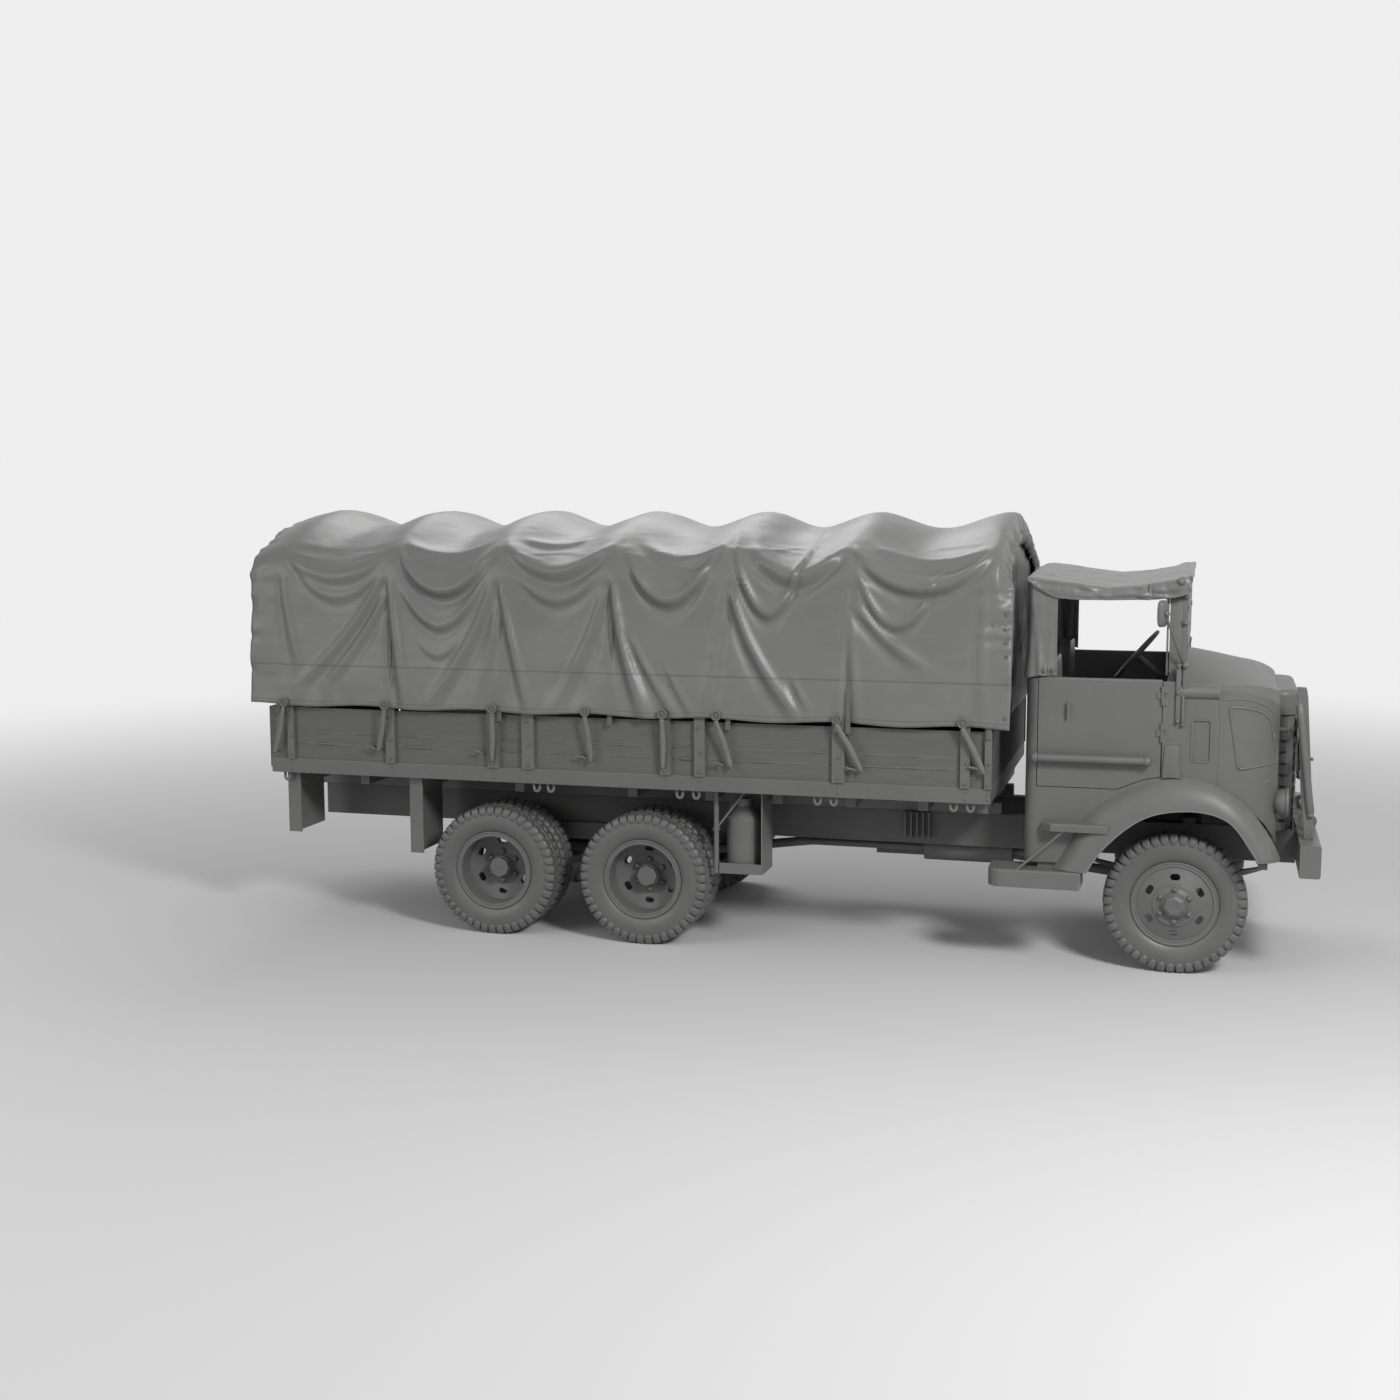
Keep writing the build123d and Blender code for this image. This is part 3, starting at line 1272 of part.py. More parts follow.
# Brush guard: flat bars in front of the nose, bent back over the top, with hoops round the headlamps
guard_reach_low = 5020
guard_reach_high = 4955
guard_top = 1905
guard_back_reach = 4872
guard_y = 765
guard_flat = 10
guard_width = 45
guard_rung_heights = (1120, 1500, 1880)
guard_bars_y = (-560, -280, 0, 280, 560)
guard_tube_y = 715
guard_tube_radius = 20
guard_tube_low_reach = 5000
guard_tube_low = 1098
guard_tube_high_reach = 4921
guard_tube_high = 1728
with BuildPart() as guard:
    foot_z = bumper_low + bumper_height + seat_gap
    for y in (-guard_y, *guard_bars_y, guard_y):
        with BuildSketch(Plane.XZ.offset(-y - guard_width / 2)):
            with BuildLine():
                low_x = bogie_x + guard_reach_low
                high_x = bogie_x + guard_reach_high
                back_x = bogie_x + guard_back_reach
                Polyline(
                    (low_x - guard_flat, foot_z), (low_x, foot_z), (high_x, guard_top),
                    (back_x + guard_flat * 2, guard_top + guard_flat), (back_x, guard_top + guard_flat),
                    (back_x, guard_top), (high_x - guard_flat, guard_top - guard_flat), close=True,
                )
            make_face()
        extrude(amount=guard_width)
    for height in guard_rung_heights:
        share = (height - foot_z) / (guard_top - foot_z)
        x = low_x + (high_x - low_x) * share - guard_flat
        block(x - guard_flat, x, -guard_y, guard_y, height - guard_width / 2, height + guard_width / 2)
    for side in (-1, 1):
        tube_low = (bogie_x + guard_tube_low_reach, side * guard_tube_y, guard_tube_low)
        tube_high = (bogie_x + guard_tube_high_reach, side * guard_tube_y, guard_tube_high)
        bar(tube_low, tube_high, guard_tube_radius)
        with Locations(tube_low, tube_high):
            Sphere(guard_tube_radius)
finish(guard, "brush_guard")

# Fuel tank: a strapped box beside the left rail
tank_rear_reach = 1500
tank_front_reach = 2620
tank_inner_y = 560
tank_outer_y = 960
tank_low = 620
tank_height = 380
tank_edge = 50
tank_strap = 40
tank_strap_inset = 190
with BuildPart() as tank:
    block(
        bogie_x + tank_rear_reach, bogie_x + tank_front_reach, tank_inner_y, tank_outer_y,
        tank_low, tank_low + tank_height,
    )
    fillet(tank.edges().filter_by(Axis.X), tank_edge)
    for reach in (tank_rear_reach + tank_strap_inset, tank_front_reach - tank_strap_inset):
        block(
            bogie_x + reach - tank_strap, bogie_x + reach + tank_strap,
            frame_half_width + seat_gap, tank_inner_y + overrun, frame_bottom + cross_drop, frame_top - cross_drop,
        )
        block(
            bogie_x + reach - tank_strap, bogie_x + reach + tank_strap, tank_inner_y - sheet,
            tank_outer_y + sheet, tank_low - sheet, tank_low + tank_height + sheet,
        )
finish(tank, "fuel_tank")

# Can carrier on the right side of the bed, with its can
carrier_rear_reach = 1060
carrier_front_reach = 1410
carrier_outer_y = 1000
carrier_inner_y = 700
carrier_low = 530
carrier_plate = 8
carrier_wall_height = 240
carrier_post = 36
carrier_clamp_z = 839
carrier_stay_reach = 1287
can_reach = 1245
can_y = 850
can_low = carrier_low + carrier_plate + seat_gap
can_radius = 122
can_shoulder_z = 900
can_top = 1040
can_cap_radius = 52
with BuildPart() as carrier:
    rear_x = bogie_x + carrier_rear_reach
    near_x = bogie_x + carrier_front_reach
    tray_x = rear_x + carrier_post + carrier_plate
    block(tray_x, near_x, -carrier_outer_y, -carrier_inner_y, carrier_low, carrier_low + carrier_plate)
    block(
        near_x - carrier_plate, near_x, -carrier_outer_y, -carrier_inner_y, carrier_low, bed_rail_bottom - seat_gap,
    )
    block(
        tray_x, near_x, -carrier_inner_y - carrier_plate, -carrier_inner_y, carrier_low,
        bed_rail_bottom - seat_gap,
    )
    block(
        tray_x, near_x, -carrier_outer_y, -carrier_outer_y + carrier_plate, carrier_low, carrier_low + carrier_post * 2,
    )
    post_x = rear_x + carrier_post / 2
    post_y = -carrier_outer_y + carrier_post / 2
    bar((post_x, post_y, carrier_low), (post_x, post_y, bed_rail_bottom - seat_gap), carrier_post / 2)
    bar(
        (post_x, post_y, carrier_clamp_z - carrier_plate), (post_x, post_y, carrier_clamp_z + carrier_plate),
        carrier_post / 2 + carrier_plate,
    )
    bar(
        (post_x, post_y, carrier_clamp_z),
        (bogie_x + carrier_stay_reach, post_y, bed_rail_bottom - carrier_plate), carrier_plate,
    )
    block(
        post_x, tray_x + overrun, post_y, post_y + carrier_plate,
        carrier_low, carrier_low + carrier_post,
    )
finish(carrier, "can_carrier")

with BuildPart() as can:
    can_x = bogie_x + can_reach
    with BuildSketch(Plane(origin=(can_x, -can_y, 0), x_dir=(1, 0, 0), z_dir=(0, -1, 0))):
        with BuildLine():
            Polyline(
                (0, can_low), (can_radius, can_low), (can_radius, can_shoulder_z),
                (can_cap_radius, can_top - can_cap_radius), (can_cap_radius, can_top), (0, can_top), close=True,
            )
        make_face()
    revolve(axis=Axis((can_x, -can_y, 0), (0, 0, 1)))
finish(can, "water_can")

# Cargo bed: sills, floor, edge rails and low boards
sill_width = 76
sill_y = 380
sill_top = 1010
cross_sill_width = 70
cross_sill_reaches = (-2130, -1650, -1155, -430, 430, 1000, 1480, 2000, 2500, 2900)
floor_board_top = 1165
rail_depth = 38
bed_inside = bed_half_width - rail_depth
with BuildPart() as bed_frame:
    for side in (-1, 1):
        block(
            bed_rear_x, bed_front_x, side * sill_y - sill_width / 2, side * sill_y + sill_width / 2,
            frame_top + seat_gap, sill_top,
        )
        ends = sorted((side * bed_inside, side * bed_half_width))
        block(bed_rear_x, bed_front_x, ends[0], ends[1], bed_rail_bottom, bed_rail_top)
    for reach in cross_sill_reaches:
        block(
            bogie_x + reach - cross_sill_width / 2, bogie_x + reach + cross_sill_width / 2,
            -bed_half_width + rail_depth / 2, bed_half_width - rail_depth / 2, sill_top, bed_rail_bottom,
        )
    for x in (bed_rear_x, bed_front_x - rail_depth):
        block(x, x + rail_depth, -bed_inside, bed_inside, bed_rail_bottom, bed_rail_top)
finish(bed_frame, "bed_frame")

with BuildPart() as bed_floor:
    block(
        bed_rear_x + rail_depth + seat_gap, bed_front_x - rail_depth - seat_gap, -bed_inside + seat_gap,
        bed_inside - seat_gap, bed_rail_bottom + seat_gap, floor_board_top,
    )
finish(bed_floor, "bed_floor")

# Bows: flat hoops over the bed that carry the canvas
bow_reaches = (-2190, -1310, -465, 356, 1203, 2029, 2968)
bow_thickness = 28
bow_width = 30
bow_foot_z = 1560
eave_z = 2520
knee_z = 2700
crown_edge_z = 2800
crown_edge_y = 930
knee_y = 1058
eave_y = 1100
hem_y = 1160
hem_z = 1630


def cover_outline(inset, drop, foot):
    """The canvas's outline across the bed, as edges of a closed face in the caller's sketch."""
    low_y = hem_y - (foot - hem_z) / (eave_z - hem_z) * (hem_y - eave_y) - inset
    side_z = eave_z - drop / 2
    top = cover_top - inset - drop
    with BuildLine() as outline:
        knee = (knee_y - inset - drop / 6, knee_z - inset / 2 - drop * 0.7)
        edge = (crown_edge_y - inset - drop / 6, crown_edge_z - inset - drop * 0.8)
        Line((-low_y, foot), (low_y, foot))
        Line((low_y, foot), (eave_y - inset, side_z))
        ThreePointArc((eave_y - inset, side_z), knee, edge)
        ThreePointArc(edge, (0, top), (-edge[0], edge[1]))
        ThreePointArc((-edge[0], edge[1]), (-knee[0], knee[1]), (-eave_y + inset, side_z))
        Line((-eave_y + inset, side_z), (-low_y, foot))
    make_face(outline.edges())


def across(x):
    """A plane across the truck at station x, its first axis to the left and its second up."""
    return Plane(origin=(x, 0, 0), x_dir=(0, 1, 0), z_dir=(1, 0, 0))


bow_gap = 8
with BuildPart() as bows:
    for reach in bow_reaches:
        near_x = bogie_x + reach - bow_width / 2
        with BuildSketch(across(near_x)) as hoop_face:
            cover_outline(canvas_thickness + bow_gap, 0, bow_foot_z)
        with BuildSketch(across(near_x)) as hole_face:
            cover_outline(canvas_thickness + bow_gap + bow_thickness, 0, bow_foot_z)
        extrude(to_extrude=hoop_face.sketch, amount=bow_width)
        extrude(to_extrude=hole_face.sketch, amount=bow_width, mode=Mode.SUBTRACT)
finish(bows, "bows")

# Side boards, stakes and racks: rear and front reach of each stake
stake_reaches = (
    (-2127, -2078), (-1345, -1278), (-561, -477), (-300, -212), (716, 788), (962, 1035),
    (1921, 2007), (2782, 2843), (2941, 2986),
)
board_gaps = ((-477, -300), (788, 962))
board_y = 1082
board_thickness = 22
board_face = board_y + board_thickness
board_top = 1600
board_low_joint = 1340
board_high_joint = 1420
board_groove = 5
stake_thickness = 30
stake_top = 1850
rack_slats = ((1630, 1715), (1745, 1830))
with BuildPart() as side_boards:
    for side in (-1, 1):
        ends = sorted((side * board_y, side * (board_y + board_thickness)))
        block(
            bed_rear_x, bed_front_x, ends[0], ends[1], bed_rail_top + seat_gap, board_top,
        )
        groove_ends = sorted((side * (board_face - board_groove), side * (board_face + overrun)))
        for joint in (board_low_joint, board_high_joint):
            block(
                bed_rear_x - overrun, bed_front_x + overrun, groove_ends[0], groove_ends[1],
                joint, joint + board_groove, mode=Mode.SUBTRACT,
            )
        for rear_reach_gap, front_reach_gap in board_gaps:
            block(
                bogie_x + rear_reach_gap, bogie_x + front_reach_gap, groove_ends[0], groove_ends[1],
                bed_rail_top, board_top + overrun, mode=Mode.SUBTRACT,
            )
        for low, high in rack_slats:
            block(bed_rear_x, bed_front_x, ends[0], ends[1], low, high)
    block(
        bed_front_x - board_thickness, bed_front_x, -board_y, board_y, bed_rail_top + seat_gap, rack_slats[-1][1],
    )
finish(side_boards, "side_boards")

with BuildPart() as stakes:
    for side in (-1, 1):
        ends = sorted((side * (board_face + seat_gap), side * (board_face + stake_thickness)))
        for rear_edge_reach, front_edge_reach in stake_reaches:
            block(
                bogie_x + rear_edge_reach, bogie_x + front_edge_reach, ends[0], ends[1],
                bed_rail_top + seat_gap, stake_top,
            )
    add(bows.part, mode=Mode.SUBTRACT)
finish(stakes, "stakes")

# Tailgate: hinged on barrels along the bed's rear lower edge
tailgate_thickness = 30
tailgate_top = 1600
tailgate_half_width = 1068
tailgate_low = bed_rail_bottom + 30
gate_barrel_radius = 11
gate_barrel_length = 60
gate_hinges_y = (-800, 0, 800)
tailgate_x = bed_rear_x - tailgate_thickness - part_gap
with BuildPart() as tailgate:
    block(
        tailgate_x, tailgate_x + tailgate_thickness, -tailgate_half_width, tailgate_half_width,
        tailgate_low, tailgate_top,
    )
    for y in gate_hinges_y:
        bar((tailgate_x, y, tailgate_low), (tailgate_x, y + gate_barrel_length, tailgate_low), gate_barrel_radius)
        for low_y, high_y in ((y - gate_barrel_length - sheet, y),
                              (y + gate_barrel_length, y + gate_barrel_length * 2 + sheet)):
            bar(
                (tailgate_x, low_y, tailgate_low), (tailgate_x, high_y, tailgate_low), gate_barrel_radius + sheet,
                mode=Mode.SUBTRACT,
            )
finish(tailgate, "tailgate")

with BuildPart() as gate_hinges:
    for y in gate_hinges_y:
        for low_y, high_y in ((y - gate_barrel_length, y - seat_gap),
                              (y + gate_barrel_length + seat_gap, y + gate_barrel_length * 2)):
            bar((tailgate_x, low_y, tailgate_low), (tailgate_x, high_y, tailgate_low), gate_barrel_radius)
            block(
                tailgate_x, bed_rear_x - seat_gap, low_y, high_y, tailgate_low - gate_barrel_radius,
                tailgate_low - part_gap,
            )
            block(
                bed_rear_x - part_gap, bed_rear_x - seat_gap, low_y, high_y,
                tailgate_low - gate_barrel_radius * 2, tailgate_low - part_gap,
            )
finish(gate_hinges, "gate_hinges")

# Canvas cover: a thin skin over the bows, sagging between them, with a flat curtain in its front end
cover_rear_reach = 2400
cover_front_reach = 3100
cover_rear_drop = 60
cover_front_drop = 40
curtain_reach = 3000
curtain_foot_z = 1600
cover_foot_z = 1625
# Share of the way from one bow to the next, and the share of the sag there
sag_shares = ((0.22, 0.62), (0.5, 1.0), (0.78, 0.62))


def cover_solid(inset, past_end):
    """The space under the canvas as one solid, drawn in by inset and run past both ends."""
    stations = [(bogie_x - cover_rear_reach - past_end, cover_rear_drop)]
    for reach, next_reach in zip(bow_reaches, bow_reaches[1:]):
        stations.append((bogie_x + reach, 0))
        for share, sag_share in sag_shares:
            stations.append((bogie_x + reach + (next_reach - reach) * share, cover_sag * sag_share))
    stations.append((bogie_x + bow_reaches[-1], 0))
    stations.append((bogie_x + cover_front_reach + past_end, cover_front_drop))
    with BuildPart() as part:
        for x, drop in stations:
            with BuildSketch(across(x)):
                cover_outline(inset, drop, cover_foot_z - past_end)
        loft(ruled=True)
    return part.part


cover_outer = cover_solid(0, 0)
cover_inner = cover_solid(canvas_thickness, part_gap)
with BuildPart() as front_curtain:
    with BuildSketch(across(bogie_x + curtain_reach)):
        cover_outline(-overrun, -overrun, curtain_foot_z)
    extrude(amount=canvas_thickness)
    add(cover_outer, mode=Mode.INTERSECT)
with BuildPart() as cargo_canvas:
    add(cover_outer)
    add(cover_inner, mode=Mode.SUBTRACT)
    add(front_curtain.part)
finish(cargo_canvas, "cargo_canvas")

# Cover ties: cords from the rings in the hem to the cleats on the bed's rails
# Columns: reach and height of the ring, reach and height of the cord's lower end
tie_runs = (
    (-2130, 1632, -2223, 1278), (-1330, 1634, -1394, 1322), (-506, 1636, -519, 1281), (186, 1638, 219, 1310),
    (744, 1640, 742, 1284), (1127, 1642, 1225, 1310), (1959, 1646, 2125, 1318), (2797, 1650, 2938, 1336),
)
cleat_places = ((-1449, 1336), (-619, 1335), (150, 1330), (1140, 1322), (2055, 1325), (2870, 1366))
tie_radius = 6
tie_ring_radius = 12
tie_y = hem_y + tie_ring_radius + seat_gap
cleat_y = 1150
cleat_length = 60
cleat_radius = 8


def backing_y(reach, radius):
    """The outer face of the stake or board that a pin of the given radius is driven into."""
    for rear_edge_reach, front_edge_reach in stake_reaches:
        if rear_edge_reach - radius < reach < front_edge_reach + radius:
            return board_face + stake_thickness + seat_gap
    return board_face + seat_gap


with BuildPart() as ties:
    for side in (-1, 1):
        for ring_reach, ring_z, end_reach, end_z in tie_runs:
            top = (bogie_x + ring_reach, side * tie_y, ring_z)
            low = (bogie_x + end_reach, side * cleat_y, end_z)
            bar(top, low, tie_radius)
            with Locations(top, low):
                Sphere(tie_ring_radius)
            bar(low, (low[0], side * backing_y(end_reach, tie_radius), end_z), tie_radius)
        for reach, height in cleat_places:
            foot = (bogie_x + reach, side * backing_y(reach, cleat_radius), height)
            bar((bogie_x + reach, side * cleat_y, height), foot, cleat_radius)
            bar(
                (bogie_x + reach - cleat_length / 2, side * cleat_y, height),
                (bogie_x + reach + cleat_length / 2, side * cleat_y, height), cleat_radius,
            )
finish(ties, "cover_ties")

# Mud flaps behind the rear wheels and guards at the bed's tail: middle reach, lowest point
flap_places = ((-2130, 667), (-1155, 560))
flap_inner_y = 600
flap_outer_y = 1050
flap_thickness = 12
flap_flange = 100
with BuildPart() as flaps:
    for side in (-1, 1):
        ends = sorted((side * flap_inner_y, side * flap_outer_y))
        flange_ends = sorted((side * flap_outer_y, side * (flap_outer_y - flap_thickness)))
        for reach, low in flap_places:
            x = bogie_x + reach
            block(x - flap_thickness / 2, x + flap_thickness / 2, ends[0], ends[1], low, sill_top - seat_gap)
            block(
                x - flap_flange / 2, x + flap_flange / 2, flange_ends[0], flange_ends[1], low, sill_top - seat_gap
            )
finish(flaps, "mud_flaps")

# Rear pintle hook and tail lamps
pintle_z = 810
pintle_length = 110
pintle_radius = 30
pintle_jaw = 52
pintle_bore_radius = 26
pintle_plate_half = 140
tail_lamp_y = 850
tail_lamp_z = 1070
tail_lamp_radius = 40
tail_lamp_length = 60
with BuildPart() as pintle:
    block(
        rail_tail_x - plate, rail_tail_x - seat_gap, -pintle_plate_half, pintle_plate_half,
        pintle_z - pintle_jaw, pintle_z + pintle_jaw,
    )
    ring_x = rail_tail_x - pintle_length
    bar((ring_x, 0, pintle_z), (rail_tail_x - plate, 0, pintle_z), pintle_radius)
    bar((ring_x, -pintle_radius, pintle_z), (ring_x, pintle_radius, pintle_z), pintle_jaw)
    bar(
        (ring_x, -pintle_radius - overrun, pintle_z), (ring_x, pintle_radius + overrun, pintle_z),
        pintle_bore_radius, mode=Mode.SUBTRACT,
    )
finish(pintle, "pintle_hook")

with BuildPart() as tail_lamps:
    for side in (-1, 1):
        lamp_x = bed_rear_x + rail_depth / 2
        bar((lamp_x, side * tail_lamp_y, tail_lamp_z), (lamp_x + tail_lamp_length, side * tail_lamp_y, tail_lamp_z),
            tail_lamp_radius)
        block(
            lamp_x + rail_depth / 4, lamp_x + rail_depth / 2, side * tail_lamp_y - tail_lamp_radius / 2,
            side * tail_lamp_y + tail_lamp_radius / 2, tail_lamp_z, bed_rail_bottom - seat_gap,
        )
finish(tail_lamps, "tail_lamps")

for piece in pieces:
    export_step(piece, f"parts/{piece.label}.step")
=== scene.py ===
import math

import bmesh
import bpy
import numpy as np
from mathutils import Matrix, Vector
from mathutils.bvhtree import BVHTree


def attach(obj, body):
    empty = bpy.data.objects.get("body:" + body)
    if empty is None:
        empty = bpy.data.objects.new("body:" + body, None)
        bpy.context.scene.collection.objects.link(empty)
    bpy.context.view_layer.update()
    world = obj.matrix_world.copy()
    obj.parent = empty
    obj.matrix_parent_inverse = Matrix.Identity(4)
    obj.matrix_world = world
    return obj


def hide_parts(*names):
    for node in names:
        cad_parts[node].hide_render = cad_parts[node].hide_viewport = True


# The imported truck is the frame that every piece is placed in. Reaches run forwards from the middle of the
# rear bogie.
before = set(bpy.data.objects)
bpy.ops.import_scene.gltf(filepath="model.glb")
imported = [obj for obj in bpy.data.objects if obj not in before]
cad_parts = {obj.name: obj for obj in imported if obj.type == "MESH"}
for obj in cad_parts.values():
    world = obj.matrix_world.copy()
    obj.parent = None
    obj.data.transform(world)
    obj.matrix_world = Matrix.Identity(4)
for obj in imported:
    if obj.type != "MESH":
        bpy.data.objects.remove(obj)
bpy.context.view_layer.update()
bogie_x, axle_z = -1.33, 0.465


def at(reach, y, z):
    """A place in the truck's frame, from its reach, side and height."""
    return bogie_x + reach, y, z


# The camera stands off the truck's right side, a little ahead of its middle, and looks slightly down.
# Its place, turn and lens were fitted to the photograph's wheels, bed rail and bows.
scene = bpy.context.scene
photo_width, focal_pixels, sensor_width = 1400, 1807.5, 36
yaw, pitch, roll = 0.27508, 0.12402, -0.0025


def put_in_scene(name, data):
    """A new object of the scene that holds the given data."""
    made = bpy.data.objects.new(name, data)
    scene.collection.objects.link(made)
    return made


view_camera = put_in_scene("view_camera", bpy.data.cameras.new("view_camera"))
view_camera.data.sensor_width = sensor_width
view_camera.data.lens = sensor_width * focal_pixels / photo_width
view_camera.data.clip_end = 200
view_camera.location = at(4.325, -12.899, 3.279)
forward = Vector((-math.sin(yaw) * math.cos(pitch), math.cos(yaw) * math.cos(pitch), -math.sin(pitch)))
level_right = Vector((math.cos(yaw), math.sin(yaw), 0))
level_up = level_right.cross(forward)
camera_right = level_right * math.cos(roll) + level_up * math.sin(roll)
camera_up = level_up * math.cos(roll) - level_right * math.sin(roll)
view_camera.rotation_euler = Matrix((camera_right, camera_up, -forward)).transposed().to_euler()
scene.camera = view_camera

# Plain studio: a pale floor that fades into a pale world, and three broad soft lamps. The key stands ahead of
# the truck on the camera's side, where it draws the long highlights down the canvas folds.
scene.view_settings.view_transform = "Standard"
backdrop_tone = (0.86, 0.86, 0.86, 1)
floor_radius, fade_start, fade_end = 60, 4, 17


def add_node(tree, kind, inputs=(), **settings):
    """A node with its settings, and its inputs fed by sockets or plain values."""
    made = tree.nodes.new(kind)
    for label, value in settings.items():
        setattr(made, label, value)
    for label, value in dict(inputs).items():
        if isinstance(value, bpy.types.NodeSocket):
            tree.links.new(value, made.inputs[label])
        else:
            made.inputs[label].default_value = value
    return made


def math_node(tree, operation, first, second=None, clamp=False):
    """A math node fed by sockets or plain numbers."""
    inputs = {0: first} if second is None else {0: first, 1: second}
    return add_node(tree, "ShaderNodeMath", inputs, operation=operation, use_clamp=clamp).outputs[0]


def new_finish(name, **settings):
    """A new material, with some inputs of its surface set."""
    finish = bpy.data.materials.new(name)
    finish.use_nodes = True
    for label, value in settings.items():
        finish.node_tree.nodes["Principled BSDF"].inputs[label.replace("_", " ")].default_value = value
    return finish


def straight_rays(tree):
    """The kinds of ray, and a mask of those seen straight or through glass."""
    rays = add_node(tree, "ShaderNodeLightPath").outputs
    return rays, math_node(tree, "MAXIMUM", rays["Is Camera Ray"], rays["Is Transmission Ray"])


studio_floor = put_in_scene("studio_floor", bpy.data.meshes.new("studio_floor"))
floor_mesh = bmesh.new()
bmesh.ops.create_circle(floor_mesh, cap_ends=True, segments=96, radius=floor_radius)
floor_mesh.to_mesh(studio_floor.data)
floor_mesh.free()
floor_finish = new_finish("studio_floor", Base_Color=(0.66, 0.66, 0.66, 1), Roughness=0.9)
studio_floor.data.materials.append(floor_finish)
floor_tree = floor_finish.node_tree
floor_place = add_node(floor_tree, "ShaderNodeTexCoord").outputs["Object"]
floor_away = add_node(floor_tree, "ShaderNodeVectorMath", {0: floor_place}, operation="LENGTH")
floor_fade = add_node(floor_tree, "ShaderNodeMapRange", {
    "Value": floor_away.outputs["Value"], "From Min": fade_start, "From Max": fade_end,
}, interpolation_type="SMOOTHSTEP")
floor_share = math_node(floor_tree, "MULTIPLY", floor_fade.outputs[0], straight_rays(floor_tree)[1])
floor_glow = add_node(floor_tree, "ShaderNodeEmission", {"Color": backdrop_tone})
floor_mix = add_node(floor_tree, "ShaderNodeMixShader", {
    0: floor_share, 1: floor_tree.nodes["Principled BSDF"].outputs[0], 2: floor_glow.outputs[0],
})
floor_tree.links.new(floor_mix.outputs[0], floor_tree.nodes["Material Output"].inputs["Surface"])

studio_world = bpy.data.worlds.new("studio_world")
scene.world = studio_world
studio_world.use_nodes = True
world_tree = studio_world.node_tree
world_tree.nodes.clear()
world_rays, seen_straight = straight_rays(world_tree)
seen_in_gloss = math_node(world_tree, "MAXIMUM", seen_straight, world_rays["Is Glossy Ray"])
ambient = add_node(world_tree, "ShaderNodeBackground", {"Color": (1, 1, 1, 1), "Strength": 0.33})
backdrop = add_node(world_tree, "ShaderNodeBackground", {"Color": backdrop_tone, "Strength": 1})
world_mix = add_node(
    world_tree, "ShaderNodeMixShader", {0: seen_in_gloss, 1: ambient.outputs[0], 2: backdrop.outputs[0]},
)
add_node(world_tree, "ShaderNodeOutputWorld", {0: world_mix.outputs[0]})

for lamp_name, place, aim, size, power in (
    ("key_lamp", (7.0, -8.0, 7.5), (0.3, 0, 1.6), 2.2, 900),
    ("side_lamp", (-7.5, -9.0, 5.0), (-1.0, 0, 1.3), 5.0, 250),
    ("far_lamp", (-3.0, 6.5, 9.0), (0, 0, 1.5), 6.0, 300),
):
    lamp = put_in_scene(lamp_name, bpy.data.lights.new(lamp_name, "AREA"))
    lamp.data.size = size
    lamp.data.energy = power
    lamp.location = place
    lamp.rotation_euler = (Vector(aim) - Vector(place)).to_track_quat("-Z", "Y").to_euler()


# Chassis: riveted steel channels, springs, axles and shafts, brushed with a dull dark paint at the works.
# Years of road dirt lie thickest low down, and the paint is thin on every edge.
def group_tree(name, inputs, outputs):
    """An empty shader group with named numbers in and out, and the sockets at its two ends."""
    tree = bpy.data.node_groups.new(name, "ShaderNodeTree")
    for label, value in inputs.items():
        tree.interface.new_socket(label, in_out="INPUT", socket_type="NodeSocketFloat").default_value = value
    for label in outputs:
        tree.interface.new_socket(label, in_out="OUTPUT", socket_type="NodeSocketFloat")
    return tree, tree.nodes.new("NodeGroupInput").outputs, tree.nodes.new("NodeGroupOutput").inputs


def noise_node(tree, vector, scale, detail=4.0, roughness=0.6):
    """A noise texture read at the given coordinates."""
    inputs = {"Vector": vector, "Scale": scale, "Detail": detail, "Roughness": roughness}
    return add_node(tree, "ShaderNodeTexNoise", inputs).outputs["Fac"]


def object_place(tree):
    """Where a point of the surface lies in the truck's frame."""
    return add_node(tree, "ShaderNodeTexCoord").outputs["Object"]


def split(tree, vector):
    """The X, Y and Z of a vector."""
    return add_node(tree, "ShaderNodeSeparateXYZ", {0: vector}).outputs


def give_out(tree, ends, values):
    """Feeds the named outputs of a group."""
    for label, socket in values.items():
        tree.links.new(socket, ends[label])


brushed_film, film_in, film_out = group_tree(
    "brushed_film", {"Mottle Scale": 3.0, "Grain Scale": 90.0, "Streak": 0.4}, ("Mottle", "Grain", "Height"),
)
film_place = object_place(brushed_film)
film_stretch = add_node(brushed_film, "ShaderNodeMapping", {"Vector": film_place, "Scale": (1, 1, 0.22)})
mottle = noise_node(brushed_film, film_place, film_in["Mottle Scale"], 6)
streaks = noise_node(brushed_film, film_stretch.outputs["Vector"], 17.0, 5)
grain = noise_node(brushed_film, film_place, film_in["Grain Scale"], 3)
streak_part = math_node(brushed_film, "MULTIPLY", streaks, film_in["Streak"])
mottle_sum = math_node(brushed_film, "ADD", mottle, streak_part)
mottle_even = math_node(brushed_film, "SUBTRACT", mottle_sum, 0.2, clamp=True)
film_height = math_node(brushed_film, "ADD", math_node(brushed_film, "MULTIPLY", grain, 0.35), mottle_even)
give_out(brushed_film, film_out, {"Mottle": mottle_even, "Grain": grain, "Height": film_height})

